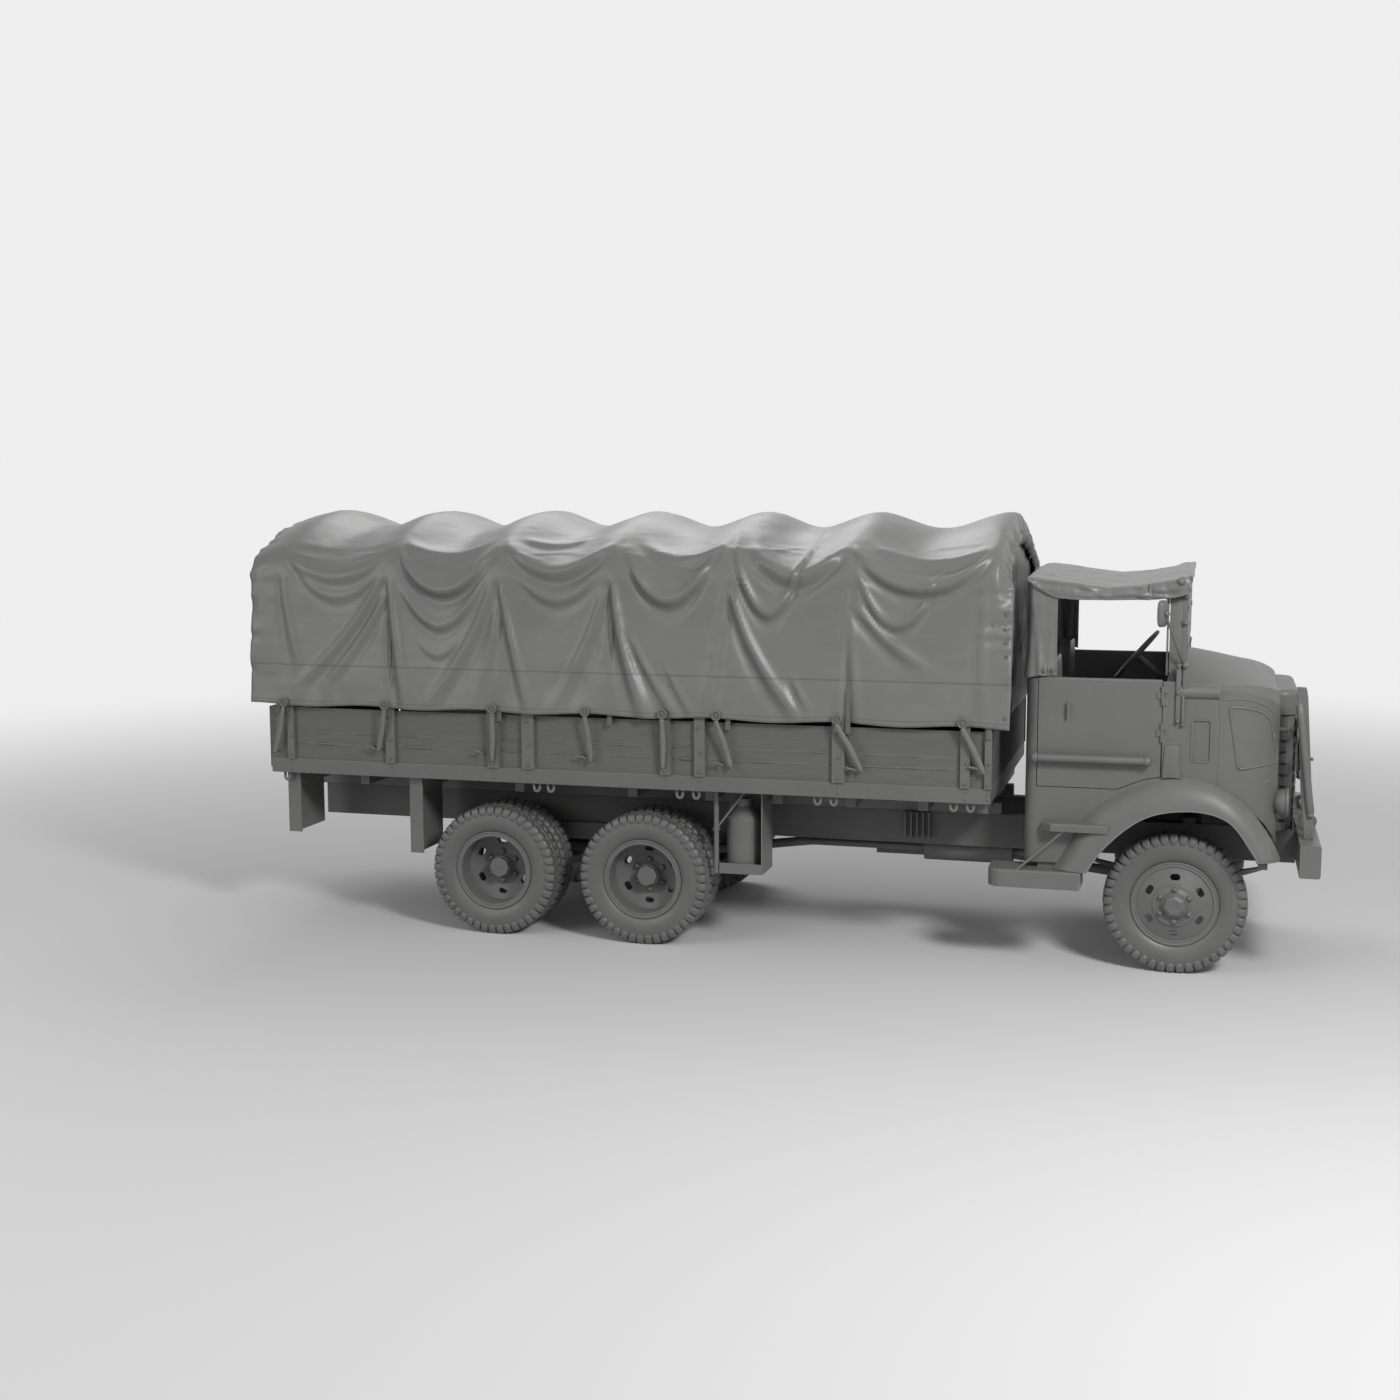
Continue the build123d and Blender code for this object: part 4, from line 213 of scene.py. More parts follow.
road_dust, dust_in, dust_out = group_tree("road_dust", {"Low": 0.2, "High": 1.3, "Most": 0.6}, ("Cover",))
dust_place = object_place(road_dust)
dust_ramp = add_node(road_dust, "ShaderNodeMapRange", {
    "Value": split(road_dust, dust_place)["Z"], "From Min": dust_in["Low"], "From Max": dust_in["High"],
    "To Min": 1, "To Max": 0,
})
dust_patches = noise_node(road_dust, dust_place, 5.0, 8, 0.7)
dust_normal = add_node(road_dust, "ShaderNodeNewGeometry").outputs["Normal"]
dust_up = math_node(road_dust, "MAXIMUM", split(road_dust, dust_normal)["Z"], 0.0)
dust_low = math_node(road_dust, "ADD", dust_ramp.outputs[0], math_node(road_dust, "MULTIPLY", dust_up, 0.35))
dust_broken = math_node(road_dust, "MULTIPLY", dust_low, dust_patches)
dust_cover = math_node(road_dust, "MULTIPLY", dust_broken, dust_in["Most"], clamp=True)
give_out(road_dust, dust_out, {"Cover": dust_cover})

edge_rub, rub_in, rub_out = group_tree("edge_rub", {"Width": 0.006, "Breakup Scale": 40.0}, ("Mask",))
rub_round = add_node(edge_rub, "ShaderNodeBevel", {"Radius": rub_in["Width"]}, samples=4).outputs[0]
rub_normal = add_node(edge_rub, "ShaderNodeNewGeometry").outputs["Normal"]
rub_dot = add_node(edge_rub, "ShaderNodeVectorMath", {0: rub_round, 1: rub_normal}, operation="DOT_PRODUCT")
rub_turn = math_node(edge_rub, "SUBTRACT", 1.0, rub_dot.outputs["Value"])
rub_sharp = math_node(edge_rub, "MULTIPLY", rub_turn, 6.0, clamp=True)
rub_patches = noise_node(edge_rub, object_place(edge_rub), rub_in["Breakup Scale"], 5, 0.7)
rub_breaks = math_node(edge_rub, "MULTIPLY", rub_patches, 1.6, clamp=True)
give_out(edge_rub, rub_out, {"Mask": math_node(edge_rub, "MULTIPLY", rub_sharp, rub_breaks, clamp=True)})


def place_group(finish, tree, **values):
    """The outputs of a shader group placed in a material with its own values."""
    inputs = {label.replace("_", " "): value for label, value in values.items()}
    return add_node(finish.node_tree, "ShaderNodeGroup", inputs, node_tree=tree).outputs


def tone_mix(finish, mask, low, high):
    """A colour that runs from low to high with the mask; low may be another colour's socket."""
    tree = finish.node_tree
    mix = add_node(tree, "ShaderNodeMix", {}, data_type="RGBA")
    tree.links.new(mask, mix.inputs["Factor"])
    for label, value in (("A", low), ("B", high)):
        socket = [s for s in mix.inputs if s.name == label and s.type == "RGBA"][0]
        if isinstance(value, tuple):
            socket.default_value = (*value, 1)
        else:
            tree.links.new(value, socket)
    return [s for s in mix.outputs if s.type == "RGBA"][0]


def number_range(finish, value, low, high):
    """A value between 0 and 1 spread over another range."""
    inputs = {"Value": value, "To Min": low, "To Max": high}
    return add_node(finish.node_tree, "ShaderNodeMapRange", inputs).outputs[0]


def feed_surface(finish, colour, rough_value, rough_low, rough_high):
    """Feeds a surface's colour, and a roughness that runs between two values."""
    links, surface = finish.node_tree.links, finish.node_tree.nodes["Principled BSDF"]
    links.new(colour, surface.inputs["Base Color"])
    links.new(number_range(finish, rough_value, rough_low, rough_high), surface.inputs["Roughness"])


def relief(finish, height, distance, strength=0.5):
    """A bump from a height, fed to the surface's normal."""
    inputs = {"Height": height, "Distance": distance, "Strength": strength}
    bump = add_node(finish.node_tree, "ShaderNodeBump", inputs)
    finish.node_tree.links.new(bump.outputs[0], finish.node_tree.nodes["Principled BSDF"].inputs["Normal"])


def worn_finish(name, film, marks, tones, rough, rub, dust, height, **settings):
    """A finish between two tones, rubbed pale on its edges and dusty low down.

    film is a group and its values, marks its outputs for the colour and for the roughness, and tones are the
    dark, the light, the rubbed and the dusty one.
    """
    finish = new_finish(name, **settings)
    grounds = place_group(finish, film[0], **film[1])
    dust_mask = place_group(finish, road_dust, Low=dust[0], High=dust[1], Most=dust[2])["Cover"]
    rub_mask = place_group(finish, edge_rub, Width=rub[0], Breakup_Scale=rub[1])["Mask"]
    worn = tone_mix(finish, rub_mask, tone_mix(finish, grounds[marks[0]], tones[0], tones[1]), tones[2])
    feed_surface(finish, tone_mix(finish, dust_mask, worn, tones[3]), grounds[marks[1]], *rough)
    relief(finish, grounds["Height"], *height)
    return finish


def painted_metal(name, tones, rough, dust_high):
    """Brushed paint on metal: mottled colour, rubbed edges and dust low down."""
    return worn_finish(
        name, (brushed_film, dict(Mottle_Scale=2.6, Grain_Scale=120.0, Streak=0.45)), ("Mottle", "Grain"),
        tones, rough, rub=(0.005, 30.0), dust=(0.1, dust_high, 0.9), height=(0.0010, 0.22),
        Specular_IOR_Level=0.36,
    )


chassis_paint = painted_metal("chassis_paint", (
    (0.070, 0.070, 0.069), (0.110, 0.110, 0.108), (0.16, 0.16, 0.158), (0.150, 0.149, 0.146),
), (0.50, 0.72), 1.0)


def coat(node_name, finish):
    """Gives a solid of the frame its finish."""
    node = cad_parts[node_name]
    node.data.materials.clear()
    node.data.materials.append(finish)


for node_name in (
    "frame", "engine_block", "front_axle", "rear_axles", "knuckle_left", "knuckle_right", "track_rod",
    "springs", "driveline", "exhaust", "radiator", "pintle_hook", "gate_hinges",
):
    coat(node_name, chassis_paint)

# Cab, nose and fenders: pressed and welded sheet steel in a semi-matt sprayed paint, with a little more gloss
# than the chassis. Handled edges are rubbed paler, and the skirts carry dust.
body_paint = painted_metal("body_paint", (
    (0.108, 0.108, 0.106), (0.142, 0.142, 0.139), (0.21, 0.21, 0.207), (0.185, 0.184, 0.180),
), (0.36, 0.52), 1.1)
for node_name in (
    "cab_shell", "hood", "door_left", "door_right", "fender_left", "fender_right", "step_left", "step_right",
    "bumper", "brush_guard", "grille", "windscreen_frame", "mirrors", "headlamps", "engine_cover",
    "dash_and_column", "fuel_tank", "can_carrier", "water_can", "mud_flaps", "tail_lamps", "bed_frame",
    "stakes", "steering_wheel", "cover_ties",
):
    coat(node_name, body_paint)

# Wheels: pressed steel discs and rims, sprayed like the body but chipped round the rim flanges. The front
# ones are single, and each rear body is a pair of them on one hub.
wheel_paint = painted_metal("wheel_paint", (
    (0.095, 0.095, 0.094), (0.130, 0.130, 0.128), (0.20, 0.20, 0.198), (0.170, 0.169, 0.166),
), (0.38, 0.55), 0.8)
# The body that each place's wheels turn with, its side of the truck and its axle
wheel_bodies = {
    "front_left": ("wheel_front_left", 1, 0), "front_right": ("wheel_front_right", -1, 0),
    "middle_left": ("wheels_middle_left", 1, 1), "middle_right": ("wheels_middle_right", -1, 1),
    "rear_left": ("wheels_rear_left", 1, 2), "rear_right": ("wheels_rear_right", -1, 2),
}
for place, (body, side, axle) in wheel_bodies.items():
    coat(("wheel_" if axle == 0 else "wheels_") + place, wheel_paint)

# Bed boards and hoops: softwood planks bolted to the rails and painted over, so the grain shows through the
# paint. The stakes are steel, and are painted with the body.
plank_grain, plank_in, plank_out = group_tree(
    "plank_grain", {"Ring Scale": 9.0, "Length Stretch": 0.06}, ("Grain", "Height"),
)
plank_parts = split(plank_grain, object_place(plank_grain))
plank_place = add_node(plank_grain, "ShaderNodeCombineXYZ", {
    "X": math_node(plank_grain, "MULTIPLY", plank_parts["X"], plank_in["Length Stretch"]),
    "Y": plank_parts["Y"], "Z": plank_parts["Z"],
}).outputs[0]
ring_noise = noise_node(plank_grain, plank_place, plank_in["Ring Scale"], 8, 0.65)
fibres = noise_node(plank_grain, plank_place, 160.0, 3)
rings = math_node(plank_grain, "FRACT", math_node(plank_grain, "MULTIPLY", ring_noise, 7.0))
broad_rings = math_node(plank_grain, "MULTIPLY", rings, 0.6)
fine_fibres = math_node(plank_grain, "MULTIPLY", fibres, 0.4)
give_out(plank_grain, plank_out, {
    "Grain": math_node(plank_grain, "ADD", broad_rings, fine_fibres),
    "Height": math_node(plank_grain, "ADD", math_node(plank_grain, "MULTIPLY", rings, 0.3), fibres),
})
# The planks' dark and light tones are set below their paint's own: a painted shade for the shadow that the
# canvas casts on the boards. The floor, hoops, tailgate and board edges share this finish.
painted_plank = worn_finish(
    "painted_plank", (plank_grain, dict(Ring_Scale=9.0, Length_Stretch=0.06)), ("Grain", "Grain"),
    ((0.080, 0.080, 0.078), (0.110, 0.110, 0.107), (0.19, 0.189, 0.185), (0.150, 0.149, 0.146)),
    (0.55, 0.75), rub=(0.006, 18.0), dust=(0.3, 1.8, 0.6), height=(0.0015, 0.5),
)
for node_name in ("bed_floor", "side_boards", "bows", "tailgate"):
    coat(node_name, painted_plank)


# Windscreen panes: clear flat glass in the steel frame, with a faint film of dust that makes its colour and
# its gloss a little uneven.
def glassy_finish(name, film, tones, rough, **settings):
    """A smooth finish under a faint uneven film, given by its two scales and its streak."""
    finish = new_finish(name, **settings)
    mottle_scale, grain_scale, streak = film
    uneven = place_group(
        finish, brushed_film, Mottle_Scale=mottle_scale, Grain_Scale=grain_scale, Streak=streak,
    )["Mottle"]
    feed_surface(finish, tone_mix(finish, uneven, *tones), uneven, *rough)
    return finish


clear_glass = glassy_finish(
    "clear_glass", (4.0, 60.0, 0.6), ((0.93, 0.95, 0.95), (0.86, 0.88, 0.88)), (0.01, 0.10),
    Transmission_Weight=1.0, IOR=1.45,
)
coat("windscreen_glass", clear_glass)

# Cargo canvas: one heavy waxed sheet laid over seven hoops and hauled down by cords. It hangs between the
# hoops in long swags, folds fan down from each hoop's shoulder, and its two ends are drawn in over the rims.
bow_reaches = (-2.190, -1.310, -0.465, 0.356, 1.203, 2.029, 2.968)
cover_rear, cover_front = -2.400, 3.100
cover_top, cover_sag = 3.010, 0.112
cloth_steps_along, cloth_steps_down = 300, 112
cloth_gauge = 0.004
cloth_random = np.random.default_rng(41)
shoulder_z, hem_z = 2.66, 1.63


def lengths_along(line):
    """The length along a flat line of points up to each of them."""
    return np.concatenate([[0], np.cumsum(np.hypot(*np.diff(line, axis=0).T))])


def smooth_noise(u, v, cells_u, cells_v, random):
    """Soft noise over a grid of cells, for u and v between 0 and 1."""
    table = random.standard_normal((cells_u + 3, cells_v + 3))
    gu, gv = np.clip(u, 0, 1) * cells_u, np.clip(v, 0, 1) * cells_v
    iu, iv = np.minimum(gu.astype(int), cells_u - 1), np.minimum(gv.astype(int), cells_v - 1)
    fu, fv = gu - iu, gv - iv
    fu, fv = fu * fu * (3 - 2 * fu), fv * fv * (3 - 2 * fv)
    return (
        table[iu, iv] * (1 - fu) * (1 - fv) + table[iu + 1, iv] * fu * (1 - fv)
        + table[iu, iv + 1] * (1 - fu) * fv + table[iu + 1, iv + 1] * fu * fv
    )


def sag_at(reach):
    """How far the canvas's top hangs below the hoops' crowns at a reach from the bogie."""
    if reach <= bow_reaches[0]:
        return 0.06 * ((bow_reaches[0] - reach) / (bow_reaches[0] - cover_rear)) ** 1.5
    if reach >= bow_reaches[-1]:
        return 0.04 * ((reach - bow_reaches[-1]) / (cover_front - bow_reaches[-1])) ** 1.5
    for low, high in zip(bow_reaches, bow_reaches[1:]):
        if low <= reach <= high:
            share = (reach - low) / (high - low)
            return cover_sag * (0.5 - 0.5 * math.cos(2 * math.pi * share)) ** 0.9
    return 0


def arc_points(start, middle, end, count):
    """Points along the arc through three points, start included and end left out."""
    (ax, ay), (bx, by), (cx, cy) = start, middle, end
    d = 2 * (ax * (by - cy) + bx * (cy - ay) + cx * (ay - by))
    sa, sb, sc = ax * ax + ay * ay, bx * bx + by * by, cx * cx + cy * cy
    ux = (sa * (by - cy) + sb * (cy - ay) + sc * (ay - by)) / d
    uy = (sa * (cx - bx) + sb * (ax - cx) + sc * (bx - ax)) / d
    radius = math.hypot(ax - ux, ay - uy)
    first, last = math.atan2(ay - uy, ax - ux), math.atan2(cy - uy, cx - ux)
    return [
        (ux + radius * math.cos(first + (last - first) * i / count),
         uy + radius * math.sin(first + (last - first) * i / count))
        for i in range(count)
    ]


def half_section(drop, count):
    """The canvas from its crown down its left side, evenly spaced, at a station that hangs by drop."""
    edge = (0.930 - drop / 6, 2.800 - drop * 0.8)
    knee = (1.058 - drop / 6, 2.700 - drop * 0.7)
    side = (1.100, 2.520 - drop / 2)
    crown = (0, cover_top - drop)
    outline = arc_points((-edge[0], edge[1]), crown, edge, 60)[30:]
    outline[0] = crown
    outline += arc_points(edge, knee, side, 30) + [side, (1.160, 1.628)]
    line = np.array(outline)
    steps = lengths_along(line)
    even = np.linspace(0, steps[-1], count)
    return np.stack([np.interp(even, steps, line[:, 0]), np.interp(even, steps, line[:, 1])], 1), even


def mirrored(half, reach):
    """A section across the truck from its left half, at a reach: from the right foot to the left one."""
    left = np.column_stack([np.full(len(half), reach + bogie_x), half[:, 0], half[:, 1]])
    return np.vstack([(left[::-1] * np.array([1, -1, 1]))[:-1], left])


def both_ways(lengths):
    """Lengths from the crown down both sides, the right side's below zero."""
    return np.concatenate([-lengths[::-1][:-1], lengths])


def cloth_grid():
    """The canvas's points before folds, with each one's reach and its length from the crown."""
    reaches = np.linspace(cover_rear, cover_front, cloth_steps_along)
    full_girth = half_section(0, cloth_steps_down)[1][-1]
    rows, lengths = [], []
    for reach in reaches:
        half, even = half_section(sag_at(reach), cloth_steps_down)
        rows.append(mirrored(half, reach))
        lengths.append(both_ways(full_girth - (even[-1] - even)))
    return reaches, np.array(rows), np.array(lengths)


def grid_normals(points):
    """Outward normals of a grid of points."""
    along, down = np.gradient(points, axis=0), np.gradient(points, axis=1)
    normals = np.cross(along, down)
    normals /= np.maximum(np.linalg.norm(normals, axis=2, keepdims=True), 1e-9)
    middle = np.array([0, 0, 1.9])
    flip = np.sum((points - middle) * normals * np.array([0, 1, 1]), axis=2, keepdims=True) < 0
    return np.where(flip, -normals, normals)


# Folds between the hoops, rear bay first, on the truck's right side. A swag has its ends and lowest point
# across the bay (-1 rear hoop, 1 front hoop), its drop at the ends and lowest, its width and its height.
# A long fold runs from hoop to hem: start across and down, middle across, end across and down, width, height.
bay_swags = (
    ((-0.85, 0.90, -0.04, 0.10, 0.050, 0.022), (-0.70, 0.85, 0.04, 0.24, 0.040, 0.014),
     (-0.9, 0.9, -0.14, -0.08, 0.025, 0.008)),
    ((-0.80, 0.60, -0.12, -0.04, 0.030, 0.028), (-0.85, 0.80, -0.06, 0.19, 0.046, 0.046),
     (-0.75, 0.60, 0.20, 0.43, 0.040, 0.026),
     (-0.45, 0.25, 0.54, 0.63, 0.028, 0.014)),
    ((-0.75, 0.30, -0.16, -0.12, 0.022, 0.014), (-0.92, 0.88, -0.10, 0.06, 0.044, 0.046),
     (-0.62, 0.70, 0.10, 0.24, 0.040, 0.020)),
    ((-0.55, 0.80, -0.12, -0.03, 0.034, 0.032), (-0.75, 0.70, -0.06, 0.23, 0.052, 0.040)),
    ((-0.70, 0.85, -0.10, 0.07, 0.052, 0.050), (-1.00, 0.30, -0.16, 0.30, 0.050, 0.034)),
    ((-0.65, 0.90, -0.12, -0.03, 0.032, 0.030), (-0.96, 0.98, -0.10, 0.13, 0.044, 0.044),
     (-0.90, 0.25, 0.04, 0.36, 0.044, 0.028)),
)
bay_long_folds = (
    ((0.92, 0.06, 0.45, -0.60, 0.86, 0.030, 0.022), (0.98, 0.18, 0.62, -0.12, 0.84, 0.030, 0.018),
     (-0.92, 0.06, -0.86, -0.62, 0.70, 0.032, 0.016)),
    ((-0.99, 0.10, -0.88, -0.68, 1.00, 0.034, 0.032), (0.90, 0.08, 0.62, -0.25, 0.97, 0.036, 0.026),
     (0.98, 0.3, 0.85, 0.62, 0.9, 0.026, 0.012)),
    ((-0.98, 0.12, -0.80, -0.44, 0.96, 0.034, 0.028), (0.92, 0.10, 0.68, 0.02, 0.95, 0.036, 0.024)),
    ((-0.97, 0.06, -0.88, -0.34, 1.04, 0.040, 0.036), (-0.72, 0.40, -0.40, 0.14, 1.00, 0.026, 0.022),
     (-0.10, 0.62, 0.12, 0.40, 0.98, 0.022, 0.016),
     (0.92, 0.08, 0.80, 0.60, 0.92, 0.030, 0.014)),
    ((-0.97, 0.14, -0.74, 0.18, 0.97, 0.038, 0.034), (0.02, 0.66, 0.16, 0.40, 0.95, 0.022, 0.018),
     (0.96, 0.05, 0.90, 0.84, 1.0, 0.030, 0.014)),
    ((-0.94, 0.22, -0.60, 0.08, 0.64, 0.034, 0.026), (-1.00, 0.20, -0.95, -0.86, 1.02, 0.030, 0.020),
     (0.90, 0.10, 0.84, 0.92, 1.00, 0.034, 0.014)),
)


def ridge_and_crease(gap, width):
    """A fold's section: a rounded lip that falls into a tighter crease below it."""
    lip = np.exp(-(np.where(gap < 0, gap / (width * 1.25), gap / (width * 0.60))) ** 2)
    crease = np.exp(-((gap - width * 1.35) / (width * 0.85)) ** 2)
    return lip - 0.55 * crease


def bell(away, width, power=2):
    """A smooth hump: 1 where away is zero, and almost nothing beyond its width."""
    return np.exp(-(away / width) ** power)


def fold_heights(reaches, points, lengths, random):
    """How far the canvas stands out or in: swags, long folds from the hoops' shoulders, and small creases."""
    reach = np.repeat(reaches[:, None], points.shape[1], axis=1)
    z, y = points[:, :, 2], points[:, :, 1]
    drop = (shoulder_z - z) / (shoulder_z - hem_z)
    out = np.zeros_like(z)
    for side in (-1, 1):
        here = (np.sign(y) == side) * 1.0
        bays = list(zip(bow_reaches, bow_reaches[1:]))
        for number, (low, high) in enumerate(bays):
            pick = number if side < 0 else (number * 5 + 2) % len(bays)
            half_bay = (high - low) / 2
            share = (reach - (low + high) / 2) / half_bay
            inside = np.clip(1.12 - np.abs(share) ** 8, 0, 1) * here * (np.abs(share) < 1.12)
            out -= 0.014 * inside * bell(drop - 0.42, 0.30) * np.clip(1 - share ** 2, 0, 1)
            for start, stop, end_drop, low_drop, width, tall in bay_swags[pick]:
                off = (share - (start + stop) / 2) / ((stop - start) / 2)
                bend = 1.9 + random.uniform(-0.2, 0.3)
                line = low_drop + (end_drop - low_drop) * np.abs(off) ** bend
                spread = width * (1.15 - 0.35 * np.clip(np.abs(off), 0, 1))
                out += tall * ridge_and_crease(drop - line, spread) * bell(np.abs(off), 0.98, 7) * here
            for start, start_drop, mid, stop, stop_drop, width, tall in bay_long_folds[pick]:
                long_drop = stop_drop - start_drop
                t = np.clip((drop - start_drop) / long_drop, 0, 1)
                centre = (1 - t) ** 2 * start + 2 * t * (1 - t) * mid + t * t * stop
                slope = ((2 * (mid - start) * (1 - t) + 2 * (stop - mid) * t) * half_bay) / long_drop
                gap = (share - centre) * half_bay / np.sqrt(1 + slope ** 2)
                lean = math.copysign(1, stop - start)
                breadth = width * (0.55 + 0.8 * t)
                run = np.clip((drop - start_drop) / 0.10, 0, 1)
                run = run * np.clip((stop_drop + 0.16 - drop) / 0.22, 0, 1)
                section = bell(gap, breadth) - 0.75 * bell(gap * lean + breadth * 1.7, breadth * 1.05)
                swell = 0.55 + 0.45 * np.sin(math.pi * np.clip(t, 0.05, 0.95))
                out += tall * section * run * swell * here
        for bow in bow_reaches:
            along, down = reach - bow, np.maximum(2.74 - z, 0.001)
            away, angle = np.hypot(along, down), np.degrees(np.arctan2(along, down))
            for start_angle in (-64, -48, 50, 66, 78, -80):
                centre = start_angle + random.uniform(-5, 5)
                rise = np.clip(away / 0.12, 0, 1) * bell(away - 0.20, 0.16)
                out += random.uniform(0.004, 0.009) * rise * bell(angle - centre, 4.5) * here * (z < 2.80)
        for _ in range(9):
            middle = random.uniform(cover_rear + 0.2, cover_front - 0.2)
            tilt, length = random.uniform(-0.16, 0.16), random.uniform(0.16, 0.34)
            line = random.uniform(2.70, 2.80) + tilt * (reach - middle)
            out += 0.005 * bell(z - line, 0.008) * bell(reach - middle, length, 4) * here
        hem = bell(z - hem_z, 0.20) * here
        out += 0.008 * hem * smooth_noise((reach - cover_rear) / 5.5, z * 0, 26, 1, random)
    u = (reach - cover_rear) / (cover_front - cover_rear)
    v = (lengths - lengths.min()) / (lengths.max() - lengths.min())
    out += 0.0030 * smooth_noise(u, v, 20, 22, random) + 0.0007 * smooth_noise(u, v, 90, 90, random)
    # The ends are drawn in over their rims, and gather into pleats as they turn in past the front hoop
    end = np.minimum(reach - cover_rear, cover_front - reach)
    gather = bell(end, 0.055) * np.clip((z - 1.7) * 3, 0, 1)
    out += 0.010 * gather * smooth_noise(end / 0.3, v, 4, 90, random)
    front_gather = bell(cover_front - reach, 0.105) * np.clip((z - 2.0) * 2.5, 0, 1)
    out += 0.0060 * front_gather * (np.sin(v * 460 + 2.6 * np.sin(v * 47)) * (0.6 + 0.4 * np.sin(v * 83)))
    edge_pull = bell(cover_front - reach, 0.16) * bell(z - 2.28, 0.15)
    out -= 0.026 * edge_pull * (0.5 + 0.5 * np.sin(z * 41 + 1.5 * np.sin(z * 17))) * (np.abs(y) > 0.9)
    rim_start, turn_in, pleat_depth = bow_reaches[-1] + 0.028, 0.110, 0.011
    past_hoop = np.clip((reach - rim_start) / (cover_front - rim_start), 0, 1)
    turned_in = past_hoop ** 2 * (3 - 2 * past_hoop) * np.clip((z - 2.39) / 0.22, 0, 1)
    pleat = np.sin(v * 420 + 3.0 * np.sin(v * 39)) * (0.65 + 0.35 * np.sin(v * 97))
    return np.clip(out, -0.075, 0.062) - turned_in * (turn_in - pleat_depth * pleat)


def shade(mesh, smooth=True):
    """Shades all faces of a mesh smooth or flat."""
    mesh.polygons.foreach_set("use_smooth", [smooth] * len(mesh.polygons))


def sheet_mesh(name, points, uv):
    """A grid of points as a mesh of quads, with its flat coordinates in metres as a UV map."""
    rows, columns = points.shape[:2]
    mesh = bpy.data.meshes.new(name)
    index = np.arange(rows * columns).reshape(rows, columns)
    quads = np.stack([index[:-1, :-1], index[1:, :-1], index[1:, 1:], index[:-1, 1:]], -1).reshape(-1, 4)
    mesh.from_pydata(points.reshape(-1, 3).tolist(), [], quads.tolist())
    layer = mesh.uv_layers.new(name="cloth")
    corner = np.empty(len(mesh.loops), dtype=np.int32)
    mesh.loops.foreach_get("vertex_index", corner)
    layer.data.foreach_set("uv", uv.reshape(-1, 2)[corner].astype(np.float32).ravel())
    shade(mesh)
    return put_in_scene(name, mesh)


def face_out(thing, middle_z):
    """Turns a sheet's faces away from a line along the truck's middle at a height."""
    shape = bmesh.new()
    shape.from_mesh(thing.data)
    shape.faces.ensure_lookup_table()
    total = 0
    for face in list(shape.faces)[::37]:
        centre = face.calc_center_median()
        total += (centre - Vector((centre.x, 0, middle_z))).dot(face.normal)
    if total < 0:
        bmesh.ops.reverse_faces(shape, faces=shape.faces)
    shape.to_mesh(thing.data)
    shape.free()


def bake_modifiers(thing):
    """Turns what the modifiers make into the piece's own mesh."""
    bpy.context.view_layer.update()
    made = bpy.data.meshes.new_from_object(thing.evaluated_get(bpy.context.evaluated_depsgraph_get()))
    thing.modifiers.clear()
    old, thing.data = thing.data, made
    made.name = thing.name
    bpy.data.meshes.remove(old)


def declare(thing, body="chassis", replaces=None):
    """Puts a piece on the body that it rides on, and hides the solid that it stands for."""
    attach(thing, body)
    if replaces:
        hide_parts(replaces)
    return thing


def made_of_canvas(sheet, replaces=None):
    wall = sheet.modifiers.new("gauge", "SOLIDIFY")
    wall.thickness, wall.offset = cloth_gauge, -1
    bake_modifiers(sheet)
    sheet.data.materials.clear()
    sheet.data.materials.append(waxed_canvas)
    return declare(sheet, replaces=replaces)


cloth_weave, weave_in, weave_out = group_tree(
    "cloth_weave", {"Threads": 260.0, "Slub Scale": 18.0}, ("Height", "Slub", "Stain"),
)


def cloth_place(tree):
    """Where a point lies on the flat sheet, in metres."""
    return add_node(tree, "ShaderNodeUVMap", uv_map="cloth").outputs[0]


def times(tree, first, second):
    """The product of two values of a shader group."""
    return math_node(tree, "MULTIPLY", first, second)


full_turn = 6.283
weave_place = cloth_place(cloth_weave)
weave_parts = split(cloth_weave, weave_place)
warp, weft = (
    math_node(cloth_weave, "SINE", times(
        cloth_weave, weave_parts[way], times(cloth_weave, weave_in["Threads"], full_turn)))
    for way in "XY"
)
slub_stretch = add_node(cloth_weave, "ShaderNodeMapping", {"Vector": weave_place, "Scale": (0.25, 1.6, 1)})
slub = noise_node(cloth_weave, slub_stretch.outputs[0], weave_in["Slub Scale"], 6)
stain = noise_node(cloth_weave, weave_place, 1.6, 8, 0.62)
thread_part = times(cloth_weave, times(cloth_weave, warp, weft), 0.25)
give_out(cloth_weave, weave_out, {
    "Height": math_node(cloth_weave, "ADD", thread_part, slub), "Slub": slub, "Stain": stain,
})

seam_line, seam_in, seam_out = group_tree("seam_line", {"Place": 1.0, "Width": 0.012}, ("Mask", "Stitch"))
seam_parts = split(seam_line, cloth_place(seam_line))
seam_side = math_node(seam_line, "ABSOLUTE", seam_parts["Y"])
seam_off = math_node(seam_line, "SUBTRACT", seam_side, seam_in["Place"])
seam_reach = math_node(seam_line, "DIVIDE", math_node(seam_line, "ABSOLUTE", seam_off), seam_in["Width"])
seam_near = math_node(seam_line, "SUBTRACT", 1.0, seam_reach, clamp=True)
stitch_run = math_node(seam_line, "SINE", times(seam_line, seam_parts["X"], 500.0))
stitches = math_node(seam_line, "GREATER_THAN", stitch_run, -0.3)
give_out(seam_line, seam_out, {"Mask": seam_near, "Stitch": times(seam_line, seam_near, stitches)})

